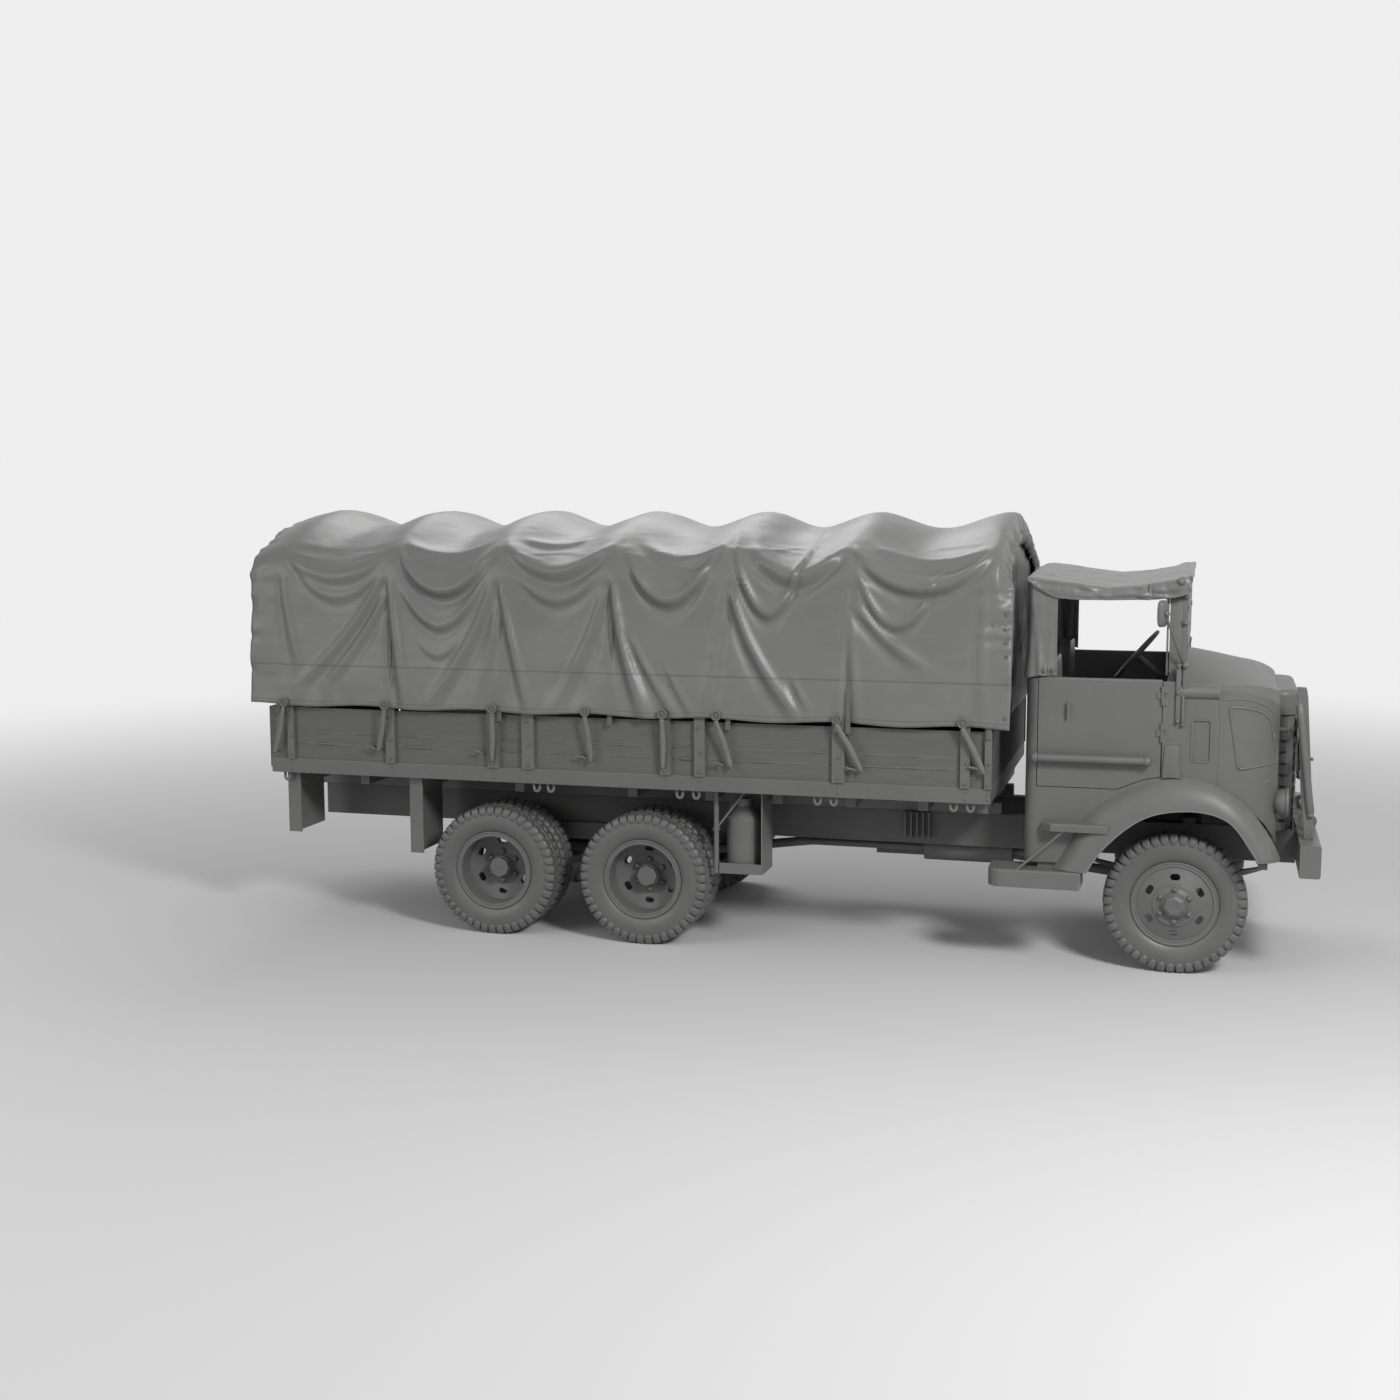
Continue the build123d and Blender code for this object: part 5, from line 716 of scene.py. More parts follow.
half_girth = half_section(0, cloth_steps_down)[1][-1]
waxed_canvas = new_finish("waxed_canvas", Specular_IOR_Level=0.34)
weave = place_group(waxed_canvas, cloth_weave, Threads=260.0, Slub_Scale=18.0)
canvas_seam = place_group(waxed_canvas, seam_line, Place=half_girth - 0.29, Width=0.010)
canvas_hem = place_group(waxed_canvas, seam_line, Place=half_girth - 0.035, Width=0.006)
canvas_dust = place_group(waxed_canvas, road_dust, Low=1.2, High=2.4, Most=0.5)
slub_share = number_range(waxed_canvas, weave["Slub"], 0.0, 0.35)
canvas_tone = tone_mix(waxed_canvas, weave["Stain"], (0.118, 0.118, 0.116), (0.162, 0.162, 0.159))
for mask, tone in (
    (slub_share, (0.19, 0.19, 0.187)), (canvas_dust["Cover"], (0.20, 0.199, 0.195)),
    (canvas_seam["Stitch"], (0.075, 0.075, 0.074)), (canvas_hem["Stitch"], (0.080, 0.080, 0.079)),
):
    canvas_tone = tone_mix(waxed_canvas, mask, canvas_tone, tone)
feed_surface(waxed_canvas, canvas_tone, weave["Stain"], 0.27, 0.42)
seam_dip = times(waxed_canvas.node_tree, canvas_seam["Mask"], 3.0)
relief(waxed_canvas, math_node(waxed_canvas.node_tree, "SUBTRACT", weave["Height"], seam_dip), 0.0008, 0.30)

cloth_reaches, cloth_points, cloth_lengths = cloth_grid()
cloth_out = fold_heights(cloth_reaches, cloth_points, cloth_lengths, cloth_random)
cloth_points = cloth_points + grid_normals(cloth_points) * cloth_out[:, :, None]
hem_wave = bell(cloth_points[:, :, 2] - hem_z, 0.05)
cloth_points[:, :, 2] += hem_wave * 0.010 * np.sin(cloth_reaches * 7.3)[:, None]
rim_rows = []
for rim_inset, rim_back in ((0.030, -0.006), (0.062, 0.004), (0.085, 0.022)):
    rim = cloth_points[-1].copy()
    towards = np.array([0, 0, 2.0]) - rim * np.array([0, 1, 1])
    towards /= np.linalg.norm(towards, axis=1, keepdims=True)
    pull = np.clip((rim[:, 2] - 1.62) / 0.25, 0, 1)[:, None]
    rim_rows.append(rim + towards * rim_inset * pull + np.array([-rim_back, 0, 0]) * pull)
cloth_points = np.concatenate([cloth_points, np.array(rim_rows)])
flat_reaches = np.concatenate([cloth_reaches, cover_front + np.array([0.03, 0.065, 0.09])])
cargo_cover = sheet_mesh("cargo_cover", cloth_points, np.stack([
    np.repeat(flat_reaches[:, None], cloth_points.shape[1], axis=1),
    np.vstack([cloth_lengths, np.repeat(cloth_lengths[-1:], len(rim_rows), axis=0)]),
], -1))
face_out(cargo_cover, 1.9)
made_of_canvas(cargo_cover, replaces="cargo_canvas")

# Front curtain: a flat canvas panel laced inside the front hoop, with a few soft upright folds. It closes
# the cargo cover behind the cab, and is cut from the same waxed canvas.
curtain_random = np.random.default_rng(12)
curtain_reach, curtain_inset = 3.006, 0.016
half_panel = []
for share in np.linspace(1.0, 0.0, 60):
    line = half_section(0.0, 90)[0] * np.array([share, 1]) - np.array([curtain_inset * share, curtain_inset])
    half_panel.append(np.column_stack([np.zeros(len(line)), line]))
half_panel = np.array(half_panel)
panel = np.concatenate([half_panel, half_panel[::-1][1:] * np.array([1, -1, 1])])
panel_u, panel_z = (panel[:, :, 1] + 1.2) / 2.4, panel[:, :, 2]
panel[:, :, 0] = bogie_x + curtain_reach + 0.007 * smooth_noise(panel_u, panel_z * 0, 16, 1, curtain_random)
panel[:, :, 0] += 0.004 * smooth_noise(panel_u, (panel_z - 1.6) / 1.4, 24, 10, curtain_random)
front_curtain = made_of_canvas(sheet_mesh("front_curtain", panel, panel[:, :, 1:3]))

# Tyres: rubber casings moulded with a smooth side wall, a closed middle rib and 45 square lugs down each
# shoulder. Each lug runs over the shoulder onto the side wall and ends there in a rounded toe.
tyre_rubber = worn_finish(
    "tyre_rubber", (brushed_film, dict(Mottle_Scale=7.0, Grain_Scale=220.0, Streak=0.2)), ("Mottle", "Grain"),
    ((0.078, 0.078, 0.077), (0.112, 0.112, 0.110), (0.150, 0.150, 0.148), (0.165, 0.164, 0.161)),
    (0.36, 0.54), rub=(0.006, 14.0), dust=(0.0, 1.3, 0.8), height=(0.001, 0.35),
)

# Radius and width of the casing's outer line, from one bead to the middle of the tread
casing_half = (
    (0.279, 0.0742), (0.286, 0.0830), (0.292, 0.0870), (0.301, 0.0925), (0.318, 0.0990), (0.340, 0.1030),
    (0.362, 0.1032), (0.384, 0.1012), (0.404, 0.0978), (0.422, 0.0928), (0.437, 0.0868), (0.447, 0.0785),
    (0.4515, 0.0680), (0.4525, 0.0460), (0.4525, 0.0250), (0.4615, 0.0215), (0.4640, 0.0120), (0.4645, 0.0),
)
lug_count = 45
# Radius, width and half breadth of a lug, from its rib end over the shoulder to its toe on the side wall
lug_line = (
    (0.4600, 0.0310, 0.0200), (0.4640, 0.0350, 0.0245), (0.4648, 0.0600, 0.0262), (0.4635, 0.0800, 0.0266),
    (0.4570, 0.0915, 0.0266), (0.4450, 0.0985, 0.0262), (0.4300, 0.1026, 0.0250), (0.4140, 0.1046, 0.0222),
    (0.4030, 0.1048, 0.0170), (0.3965, 0.1032, 0.0090),
)


def spun_grid(outline, turns, closed=True):
    """Points and faces of an outline of radius and width turned about the truck's cross axis."""
    line = np.array(outline)
    turn = np.linspace(0, 2 * math.pi, turns, endpoint=False)
    points = np.stack([
        np.outer(np.sin(turn), line[:, 0]), np.tile(line[:, 1], (turns, 1)), np.outer(np.cos(turn), line[:, 0])
    ], -1).reshape(-1, 3)
    count = len(line)
    faces = []
    for i in range(turns):
        for j in range(count if closed else count - 1):
            k = (j + 1) % count
            n = (i + 1) % turns
            faces.append((i * count + j, i * count + k, n * count + k, n * count + j))
    return points, faces


def finished(name, shape, finish, smooth=False):
    """The mesh object of a shape with its finish, smooth or flat; the shape is freed."""
    mesh = bpy.data.meshes.new(name)
    shape.to_mesh(mesh)
    shape.free()
    shade(mesh, smooth)
    mesh.materials.append(finish)
    return put_in_scene(name, mesh)


def plain_object(name, points, faces, finish, smooth=True):
    """A mesh object of the given points and faces with its faces turned outwards."""
    mesh = bpy.data.meshes.new("plain")
    mesh.from_pydata([tuple(p) for p in points], [], [tuple(f) for f in faces])
    shape = bmesh.new()
    shape.from_mesh(mesh)
    bpy.data.meshes.remove(mesh)
    bmesh.ops.remove_doubles(shape, verts=shape.verts, dist=1e-6)
    bmesh.ops.recalc_face_normals(shape, faces=shape.faces)
    return finished(name, shape, finish, smooth)


def geometry_tree(name, **inputs):
    """An empty geometry tree with named inputs, and its two end nodes."""
    tree = bpy.data.node_groups.new(name, "GeometryNodeTree")
    for label, kind in inputs.items():
        tree.interface.new_socket(label, in_out="INPUT", socket_type="NodeSocket" + kind)
    tree.interface.new_socket("Geometry", in_out="OUTPUT", socket_type="NodeSocketGeometry")
    return tree, tree.nodes.new("NodeGroupInput").outputs, tree.nodes.new("NodeGroupOutput").inputs


def copies_out(tree, ends, piece, finish, inputs):
    """Ends a tree in copies of a piece, made real and given their finish."""
    source = add_node(tree, "GeometryNodeObjectInfo", {"Object": piece}).outputs["Geometry"]
    copies = add_node(tree, "GeometryNodeInstanceOnPoints", {"Instance": source, **inputs}).outputs[0]
    real = add_node(tree, "GeometryNodeRealizeInstances", {0: copies}).outputs[0]
    dressed = add_node(tree, "GeometryNodeSetMaterial", {"Geometry": real, "Material": finish}).outputs[0]
    tree.links.new(dressed, ends[0])


turned_repeat, ring_in, ring_out = geometry_tree(
    "turned_repeat", Piece="Object", Count="Int", Start="Float", Finish="Material",
)
ring_points = add_node(turned_repeat, "GeometryNodePoints", {"Count": ring_in["Count"]}).outputs[0]
ring_index = add_node(turned_repeat, "GeometryNodeInputIndex").outputs[0]
ring_step = math_node(turned_repeat, "DIVIDE", 2 * math.pi, ring_in["Count"])
ring_turn = math_node(turned_repeat, "ADD", times(turned_repeat, ring_index, ring_step), ring_in["Start"])
ring_angles = add_node(turned_repeat, "ShaderNodeCombineXYZ", {"Y": ring_turn}).outputs[0]
copies_out(turned_repeat, ring_out, ring_in["Piece"], ring_in["Finish"], {
    "Points": ring_points, "Rotation": ring_angles,
})


def grown_mesh(name, tree, **values):
    """The plain mesh that a geometry tree makes with the given inputs."""
    made = put_in_scene(name, bpy.data.meshes.new(name))
    grower = made.modifiers.new("tree", "NODES")
    grower.node_group = tree
    for item in tree.interface.items_tree:
        if item.in_out == "INPUT" and item.name in values:
            grower[item.identifier] = values[item.name]
    bake_modifiers(made)
    return made


def joined(name, things, finish):
    """Several loose meshes made into one piece; the loose ones are taken away."""
    shape = bmesh.new()
    for thing in things:
        shape.from_mesh(thing.data)
    mesh = bpy.data.meshes.new(name)
    shape.to_mesh(mesh)
    shape.free()
    mesh.polygons.foreach_set("material_index", [0] * len(mesh.polygons))
    mesh.materials.append(finish)
    for thing in set(things):
        bpy.data.objects.remove(thing)
    return put_in_scene(name, mesh)


def shifted(thing, offset):
    """A copy of a loose mesh moved by an offset within its mesh."""
    mesh = thing.data.copy()
    mesh.transform(Matrix.Translation(offset))
    return put_in_scene("copy", mesh)


def strip_faces(rows, sides):
    """Faces between rows of points that each go once round a shape."""
    return [
        (i * sides + j, i * sides + (j + 1) % sides, (i + 1) * sides + (j + 1) % sides, (i + 1) * sides + j)
        for i in range(rows - 1) for j in range(sides)
    ]


def end_faces(rows, sides):
    """Faces that close the first and the last of such rows."""
    return [tuple(range(sides)), tuple(range((rows - 1) * sides, rows * sides))]


# Radius and width of the casing's foot inside the rim; the share of a lug's breadth and its sink across it
casing_foot = [(0.2545, -0.0742), (0.2545, 0.0742)]
lug_section = ((-1.0, 0.016), (-0.93, 0.0025), (-0.72, 0.0), (0.72, 0.0), (0.93, 0.0025), (1.0, 0.016))
tread_radius = 0.4640
casing = list(casing_half) + [(r, -w) for r, w in casing_half[-2::-1]] + casing_foot
tyre_parts = [plain_object("tyre_casing", *spun_grid(casing, 90), tyre_rubber)]
for side in (-1, 1):
    lug_points = []
    for number, (radius, width, breadth) in enumerate(lug_line):
        end_sink = 0.006 if number in (0, len(lug_line) - 1) else 0.0
        lean = min(1, max(0, (tread_radius - radius) / 0.05))
        for across, sink in lug_section:
            sunk = sink + end_sink
            r, w = radius - sunk * (1 - lean), width - sunk * lean
            lug_points.append((across * breadth, side * w, math.sqrt(max(r * r - (across * breadth) ** 2, 0))))
    lug_size = (len(lug_line), len(lug_section))
    lug = plain_object("lug", lug_points, strip_faces(*lug_size) + end_faces(*lug_size), tyre_rubber)
    tyre_parts.append(grown_mesh(
        "lug_ring", turned_repeat, Piece=lug, Count=lug_count, Start=side * math.pi / lug_count / 2,
        Finish=tyre_rubber,
    ))
    bpy.data.objects.remove(lug)
one_tyre = joined("one_tyre", tyre_parts, tyre_rubber)
# Reach of each axle, and how far out the single front tyre and the twin rear ones stand
axle_reaches = (4.166, 0.559, -0.559)
front_track, rear_track, twin_gap = 0.765, 0.857, 0.116
for place, (body, side, axle) in wheel_bodies.items():
    middles = (rear_track + twin_gap, rear_track - twin_gap) if axle else (front_track,)
    copies = [shifted(one_tyre, at(axle_reaches[axle], side * middle, axle_z)) for middle in middles]
    replaced = "tyres_" + place if axle else "tyre_front_" + place.split("_")[1]
    declare(joined("lugged_tyre_" + place, copies, tyre_rubber), body, replaced)
bpy.data.objects.remove(one_tyre)

# Wheel trim: the rings rolled into the rims, the six ball nuts that hold each wheel on its studs, and the
# caps over the hubs: a faceted one with a flange in front, a plain eight-sided one behind.
ring_profile = (
    (0.2450, 0.0815), (0.2470, 0.0880), (0.2520, 0.0900), (0.2580, 0.0875), (0.2640, 0.0860), (0.2700, 0.0880),
    (0.2760, 0.0905), (0.2815, 0.0890), (0.2835, 0.0845), (0.2810, 0.0815),
)
nut_circle = 0.107
nut_line = (
    (0.0, -0.004), (0.0235, -0.004), (0.0235, 0.004), (0.0205, 0.007), (0.0185, 0.009), (0.0185, 0.015),
    (0.0168, 0.0215), (0.0125, 0.0265), (0.0065, 0.0292), (0.0, 0.030),
)
front_step = (
    (0.0, 0.0), (0.1450, 0.0), (0.1440, 0.0035), (0.1380, 0.0062), (0.1320, 0.0068), (0.0900, 0.0075),
    (0.0885, 0.0180), (0.0850, 0.0225), (0.0790, 0.0225), (0.0765, 0.0190), (0.0760, 0.0330), (0.0, 0.0330),
)
front_cap = ((0.0, 0.030), (0.0745, 0.030), (0.0720, 0.0440), (0.0520, 0.0530), (0.0, 0.0480))
rear_step = (
    (0.0, 0.0), (0.0960, 0.0), (0.0950, 0.0050), (0.0890, 0.0080), (0.0800, 0.0085), (0.0785, 0.0460),
    (0.0750, 0.0500), (0.0690, 0.0510), (0.0, 0.0510),
)
rear_cap = ((0.0, 0.050), (0.0740, 0.050), (0.0740, 0.0900), (0.0690, 0.0960), (0.0, 0.0965))


def spun(name, outline, turns, finish, offset=(0, 0, 0), side=1, smooth=True, closed=True):
    """A turned piece about the cross axis, flipped to the truck's side and then moved by an offset."""
    points, faces = spun_grid(outline, turns, closed)
    points[:, 1] *= side
    return plain_object(name, points + np.array(offset), faces, finish, smooth)


for place, (body, side, axle) in wheel_bodies.items():
    outer = rear_track + twin_gap if axle else front_track
    face = rear_track + 0.0103 if axle else outer + 0.1180
    step_line, cap_line, cap_sides = (rear_step, rear_cap, 8) if axle else (front_step, front_cap, 7)
    nut = spun("nut", nut_line, 14, wheel_paint, (0, face, nut_circle))
    cap = spun("cap", cap_line, cap_sides, wheel_paint, (0, face, 0), smooth=False)
    rounding = cap.modifiers.new("rounding", "BEVEL")
    rounding.width, rounding.segments = 0.0035, 2
    bake_modifiers(cap)
    trim = joined("wheel_trim_" + place, [
        spun("ring", ring_profile, 72, wheel_paint, (0, outer, 0)),
        grown_mesh("nuts", turned_repeat, Piece=nut, Count=6, Start=0.0, Finish=wheel_paint),
        spun("step", step_line, 48, wheel_paint, (0, face, 0)), cap,
    ], wheel_paint)
    bpy.data.objects.remove(nut)
    trim.data.transform(Matrix.Translation((bogie_x + axle_reaches[axle], 0, axle_z)))
    if side < 0:
        trim.data.transform(Matrix.Scale(-1, 4, (0, 1, 0)))
        trim.data.flip_normals()
    declare(trim, body)

# Cab canvas: a waxed roof sheet strained over the windscreen header and the rear bow, with a deep valance
# down each side, and a second sheet that wraps the rear corners and hangs as a curtain behind each door.
cab_random = np.random.default_rng(7)
# Reach from the bogie, height of the roof's side and of its crown, and the valance's lowest line
roof_line = np.array([
    (3.183, 2.614, 2.634, 2.596), (3.220, 2.613, 2.633, 2.560), (3.300, 2.601, 2.624, 2.512),
    (3.372, 2.590, 2.614, 2.480), (3.450, 2.579, 2.602, 2.475), (3.700, 2.552, 2.570, 2.471),
    (3.950, 2.574, 2.590, 2.478), (4.050, 2.597, 2.610, 2.487), (4.120, 2.616, 2.625, 2.496),
    (4.160, 2.6275, 2.634, 2.506), (4.198, 2.6275, 2.634, 2.520), (4.205, 2.619, 2.626, 2.528),
    (4.208, 2.603, 2.610, 2.534), (4.209, 2.586, 2.593, 2.538),
])
roof_rear, roof_front, roof_half, eave_drop = 3.183, 4.209, 0.965, 0.026
roof_reaches = np.unique(np.concatenate([np.linspace(roof_rear, 4.198, 132), roof_line[:, 0]]))
roof_rows, roof_lengths = [], []
for reach in roof_reaches:
    side_z, crown_z, foot_z = (np.interp(reach, roof_line[:, 0], roof_line[:, k]) for k in (1, 2, 3))
    half = [(roof_half * t, side_z + (crown_z - side_z) * (1 - t ** 2.4)) for t in np.linspace(0, 1, 40)]
    corner = np.linspace(0, math.pi / 2, 8)[1:]
    half += [(roof_half + 0.030 * math.sin(c), side_z - eave_drop * (1 - math.cos(c))) for c in corner]
    low = side_z - eave_drop
    half += [
        (0.995 + 0.009 * math.sin(math.pi * t), low + (min(foot_z, low - 0.002) - low) * t)
        for t in np.linspace(0, 1, 30)[1:]
    ]
    half = np.array(half)
    roof_rows.append(mirrored(half, reach))
    roof_lengths.append(both_ways(lengths_along(half)))
roof_points, roof_lengths = np.array(roof_rows), np.array(roof_lengths)
roof_x, roof_y, roof_z = roof_points[:, :, 0] - bogie_x, roof_points[:, :, 1], roof_points[:, :, 2]
roof_u, roof_v = (roof_x - roof_rear) / (roof_front - roof_rear), (roof_lengths + 1.2) / 2.4
roof_out = 0.0030 * smooth_noise(roof_u, roof_v, 9, 16, cab_random)
roof_out = roof_out + 0.0012 * smooth_noise(roof_u, roof_v, 34, 60, cab_random)
for strap_reach in (3.985, 4.045, 4.105):
    roof_out += 0.0028 * bell(roof_x - strap_reach, 0.006) * (np.abs(roof_y) < roof_half)
# Puffs in the valance between its tacks: reach, height, half width, half height and how far each stands out
valance_puffs = (
    (3.800, 2.520, 0.075, 0.024, 0.010), (3.905, 2.506, 0.040, 0.018, 0.013),
    (3.880, 2.555, 0.050, 0.012, 0.008), (4.015, 2.545, 0.050, 0.022, 0.011),
    (4.020, 2.500, 0.060, 0.012, 0.010), (4.110, 2.560, 0.045, 0.030, 0.012),
    (3.620, 2.500, 0.120, 0.016, 0.007), (3.500, 2.545, 0.110, 0.014, 0.006),
)
hanging = np.clip((np.abs(roof_y) - 0.960) / 0.03, 0, 1)
for side in (-1, 1):
    here = hanging * (np.sign(roof_y) == side)
    crease = 2.590 - 0.20 * (roof_x - 3.22) + 0.04 * np.sin((roof_x - 3.22) * 7)
    crease_lip = 0.010 * bell(roof_z - crease, 0.012) - 0.009 * bell(roof_z - crease + 0.030, 0.016)
    roof_out += here * bell(roof_x - 3.42, 0.20, 4) * crease_lip
    for puff_reach, puff_z, wide, tall, high in valance_puffs:
        away = ((roof_x - puff_reach) / wide) ** 2 + ((roof_z - puff_z) / tall) ** 2
        roof_out += here * high * np.exp(-away ** 1.6)
    roof_out -= here * 0.010 * bell(roof_x - 3.968, 0.008) * bell(roof_z - 2.53, 0.03)
    roof_out += here * 0.020 * bell(roof_x - 4.140, 0.034) * bell(roof_z - 2.590, 0.034)
    hem_up = roof_z - np.interp(roof_x, roof_line[:, 0], roof_line[:, 3])
    roof_out += here * 0.006 * bell(hem_up, 0.010)
roof_points = roof_points + grid_normals(roof_points) * roof_out[:, :, None]
cab_roof_sheet = sheet_mesh("cab_roof_sheet", roof_points, np.stack([roof_x, roof_lengths], -1))
face_out(cab_roof_sheet, 2.3)
made_of_canvas(cab_roof_sheet, replaces="cab_canvas")

# The line that the corner sheet follows round the cab, as reach and side
corner_radius, curtain_y, wall_reach, crown_half = 0.085, 0.981, 3.188, 0.98
corner_reach = wall_reach + corner_radius
corner_path = [(reach, -curtain_y) for reach in np.linspace(3.380, corner_reach, 22)]
corner_path += [
    (corner_reach - corner_radius * math.sin(turn), -curtain_y + corner_radius - corner_radius * math.cos(turn))
    for turn in np.linspace(0, math.pi / 2, 12)[1:]
]
corner_path += [(wall_reach, y) for y in np.linspace(-curtain_y + corner_radius, 0, 74)[1:]]
corner_path += [(reach, -y) for reach, y in corner_path[-2::-1]]
corner_path = np.array(corner_path)
path_length = lengths_along(corner_path)
from_front = np.minimum(path_length, path_length[-1] - path_length)
from_middle = np.abs(path_length - path_length[-1] / 2)
# The heights of the sheet's foot and head along that line
foot_line = np.where(from_front < 0.118, 1.972, 1.956) + 0.006 * np.sin(from_front * 60) * (from_front < 0.2)
head_line = np.where(from_front < 0.195, 2.560, 2.585)
head_crown = 0.052 * (1 - (from_middle / crown_half) ** 2.4) * (from_middle < crown_half)
head_line = np.maximum(head_line, 2.585 + head_crown)
levels = np.linspace(0, 1, 74)
wall_grid = np.zeros((len(levels), len(path_length), 3))
wall_grid[:, :, 0] = corner_path[:, 0] + bogie_x
wall_grid[:, :, 1] = corner_path[:, 1]
wall_grid[:, :, 2] = foot_line + (head_line - foot_line) * levels[:, None]
wall_up = wall_grid[:, :, 2]
wall_s = np.tile(from_front, (len(levels), 1))
wall_length = np.tile(path_length, (len(levels), 1))
level_share = np.tile(levels[:, None], (1, len(path_length)))
drop_share = 1 - levels[:, None]
wall_out = 0.0025 * smooth_noise(wall_length / path_length[-1], level_share, 26, 8, cab_random)
for fold_top, fold_foot, wide, tall in (
    (0.165, 0.105, 0.013, 0.013), (0.175, 0.165, 0.018, 0.016), (0.190, 0.215, 0.012, 0.009),
    (0.020, 0.045, 0.016, 0.006),
):
    centre, breadth = fold_top + (fold_foot - fold_top) * drop_share, wide * (0.7 + 0.9 * drop_share)
    wall_out += tall * (0.25 + 0.75 * drop_share) * bell(wall_s - centre, breadth)
wall_out -= 0.007 * drop_share * bell(wall_s - 0.135, 0.012)
wall_out += 0.018 * drop_share ** 3 * bell(wall_s - 0.200, 0.035)
wall_out += 0.005 * bell(wall_s - 0.004, 0.010) + 0.004 * bell(wall_up - 1.975, 0.012)
for pucker in (0.030, 0.052, 0.075):
    wall_out += 0.012 * bell(wall_s - pucker, 0.007) * bell(wall_up - 2.010, 0.030)
step_along = np.gradient(corner_path, axis=0)
step_along /= np.linalg.norm(step_along, axis=1, keepdims=True)
step_across = np.stack([step_along[:, 1], -step_along[:, 0]], 1)
step_across *= np.sign(np.sum((corner_path - np.array([3.7, 0])) * step_across, axis=1))[:, None]
wall_grid[:, :, :2] += step_across[None] * (wall_out + 0.001)[:, :, None]
cab_corner_sheet = sheet_mesh("cab_corner_sheet", wall_grid, np.stack([wall_length, wall_up - 1.0], -1))
window_half, window_foot, window_head = 0.28, 2.15, 2.38
window_cut = bmesh.new()
window_cut.from_mesh(cab_corner_sheet.data)
cut_faces = []
for face in window_cut.faces:
    x, y, z = face.calc_center_median()
    if abs(y) < window_half and window_foot < z < window_head and x < bogie_x + 3.3:
        cut_faces.append(face)
bmesh.ops.delete(window_cut, context="FACES", geom=cut_faces)
window_cut.to_mesh(cab_corner_sheet.data)
window_cut.free()
face_out(cab_corner_sheet, 2.2)
made_of_canvas(cab_corner_sheet, replaces="cab_canvas")

# Fittings of the cab canvas: a rolled flap along the windscreen's header, tied down in six puffs, and the knobs
# that pin the curtains. The roll is canvas, the knobs are painted steel.
roll_count, roll_sides, roll_reach, roll_radius = 60, 14, 4.209, 0.016
roll_points = []
for i in range(roll_count):
    share = i / (roll_count - 1)
    height = 2.619 + 0.007 * (1 - abs(2 * share - 1) ** 2.4)
    pinch = 1 - 0.16 * math.exp(-((share * 6) % 1 - 0.5) ** 2 / 0.006) if 0.04 < share < 0.96 else 0.9
    for j in range(roll_sides):
        turn = 2 * math.pi * j / roll_sides
        radius = roll_radius * pinch * (1 + 0.06 * math.sin(3 * turn + 21 * share))
        roll_points.append(at(
            roll_reach + radius * math.cos(turn), -0.955 + 1.91 * share, height + radius * math.sin(turn)))
header_roll = plain_object(
    "header_roll", roll_points, strip_faces(roll_count, roll_sides) + end_faces(roll_count, roll_sides),
    waxed_canvas,
)
roll_uv = header_roll.data.uv_layers.new(name="cloth")
for loop in header_roll.data.loops:
    spot = header_roll.data.vertices[loop.vertex_index].co
    roll_uv.data[loop.index].uv = (spot.y, math.atan2(spot.z - 2.623, spot.x - bogie_x - roll_reach) * 0.03)
declare(header_roll)
knob_line = (
    (0.0, -0.5), (0.35, -0.5), (0.42, -0.2), (0.55, -0.05), (0.85, 0.1), (1.0, 0.45), (0.92, 0.85),
    (0.6, 1.15), (0.25, 1.28), (0.0, 1.30),
)


def rounded_knob(place, size, way):
    """A turned knob of the given size standing at a place, its stem along way."""
    points, faces = spun_grid([(r * size, w * size) for r, w in knob_line], 18)
    turn = Vector((0, 1, 0)).rotation_difference(Vector(way)).to_matrix()
    return plain_object("knob", [turn @ Vector(p) + Vector(place) for p in points], faces, body_paint)


def piece_of(parts, name, finish=body_paint, smooth=True, replaces=None):
    made = joined(name, parts, finish)
    if smooth:
        shade(made.data)
    return declare(made, replaces=replaces)


knobs = []
for side in (-1, 1):
    knobs.append(rounded_knob(at(3.357, side * 1.001, 2.010), 0.015, (0, side, 0)))
    knobs.append(rounded_knob(at(3.300, side * 1.000, 2.004), 0.011, (0, side, 0)))
    knobs.append(rounded_knob(at(4.150, side * 1.004, 2.596), 0.026, (0.1, side, 0.2)))
piece_of(knobs, "curtain_knobs")


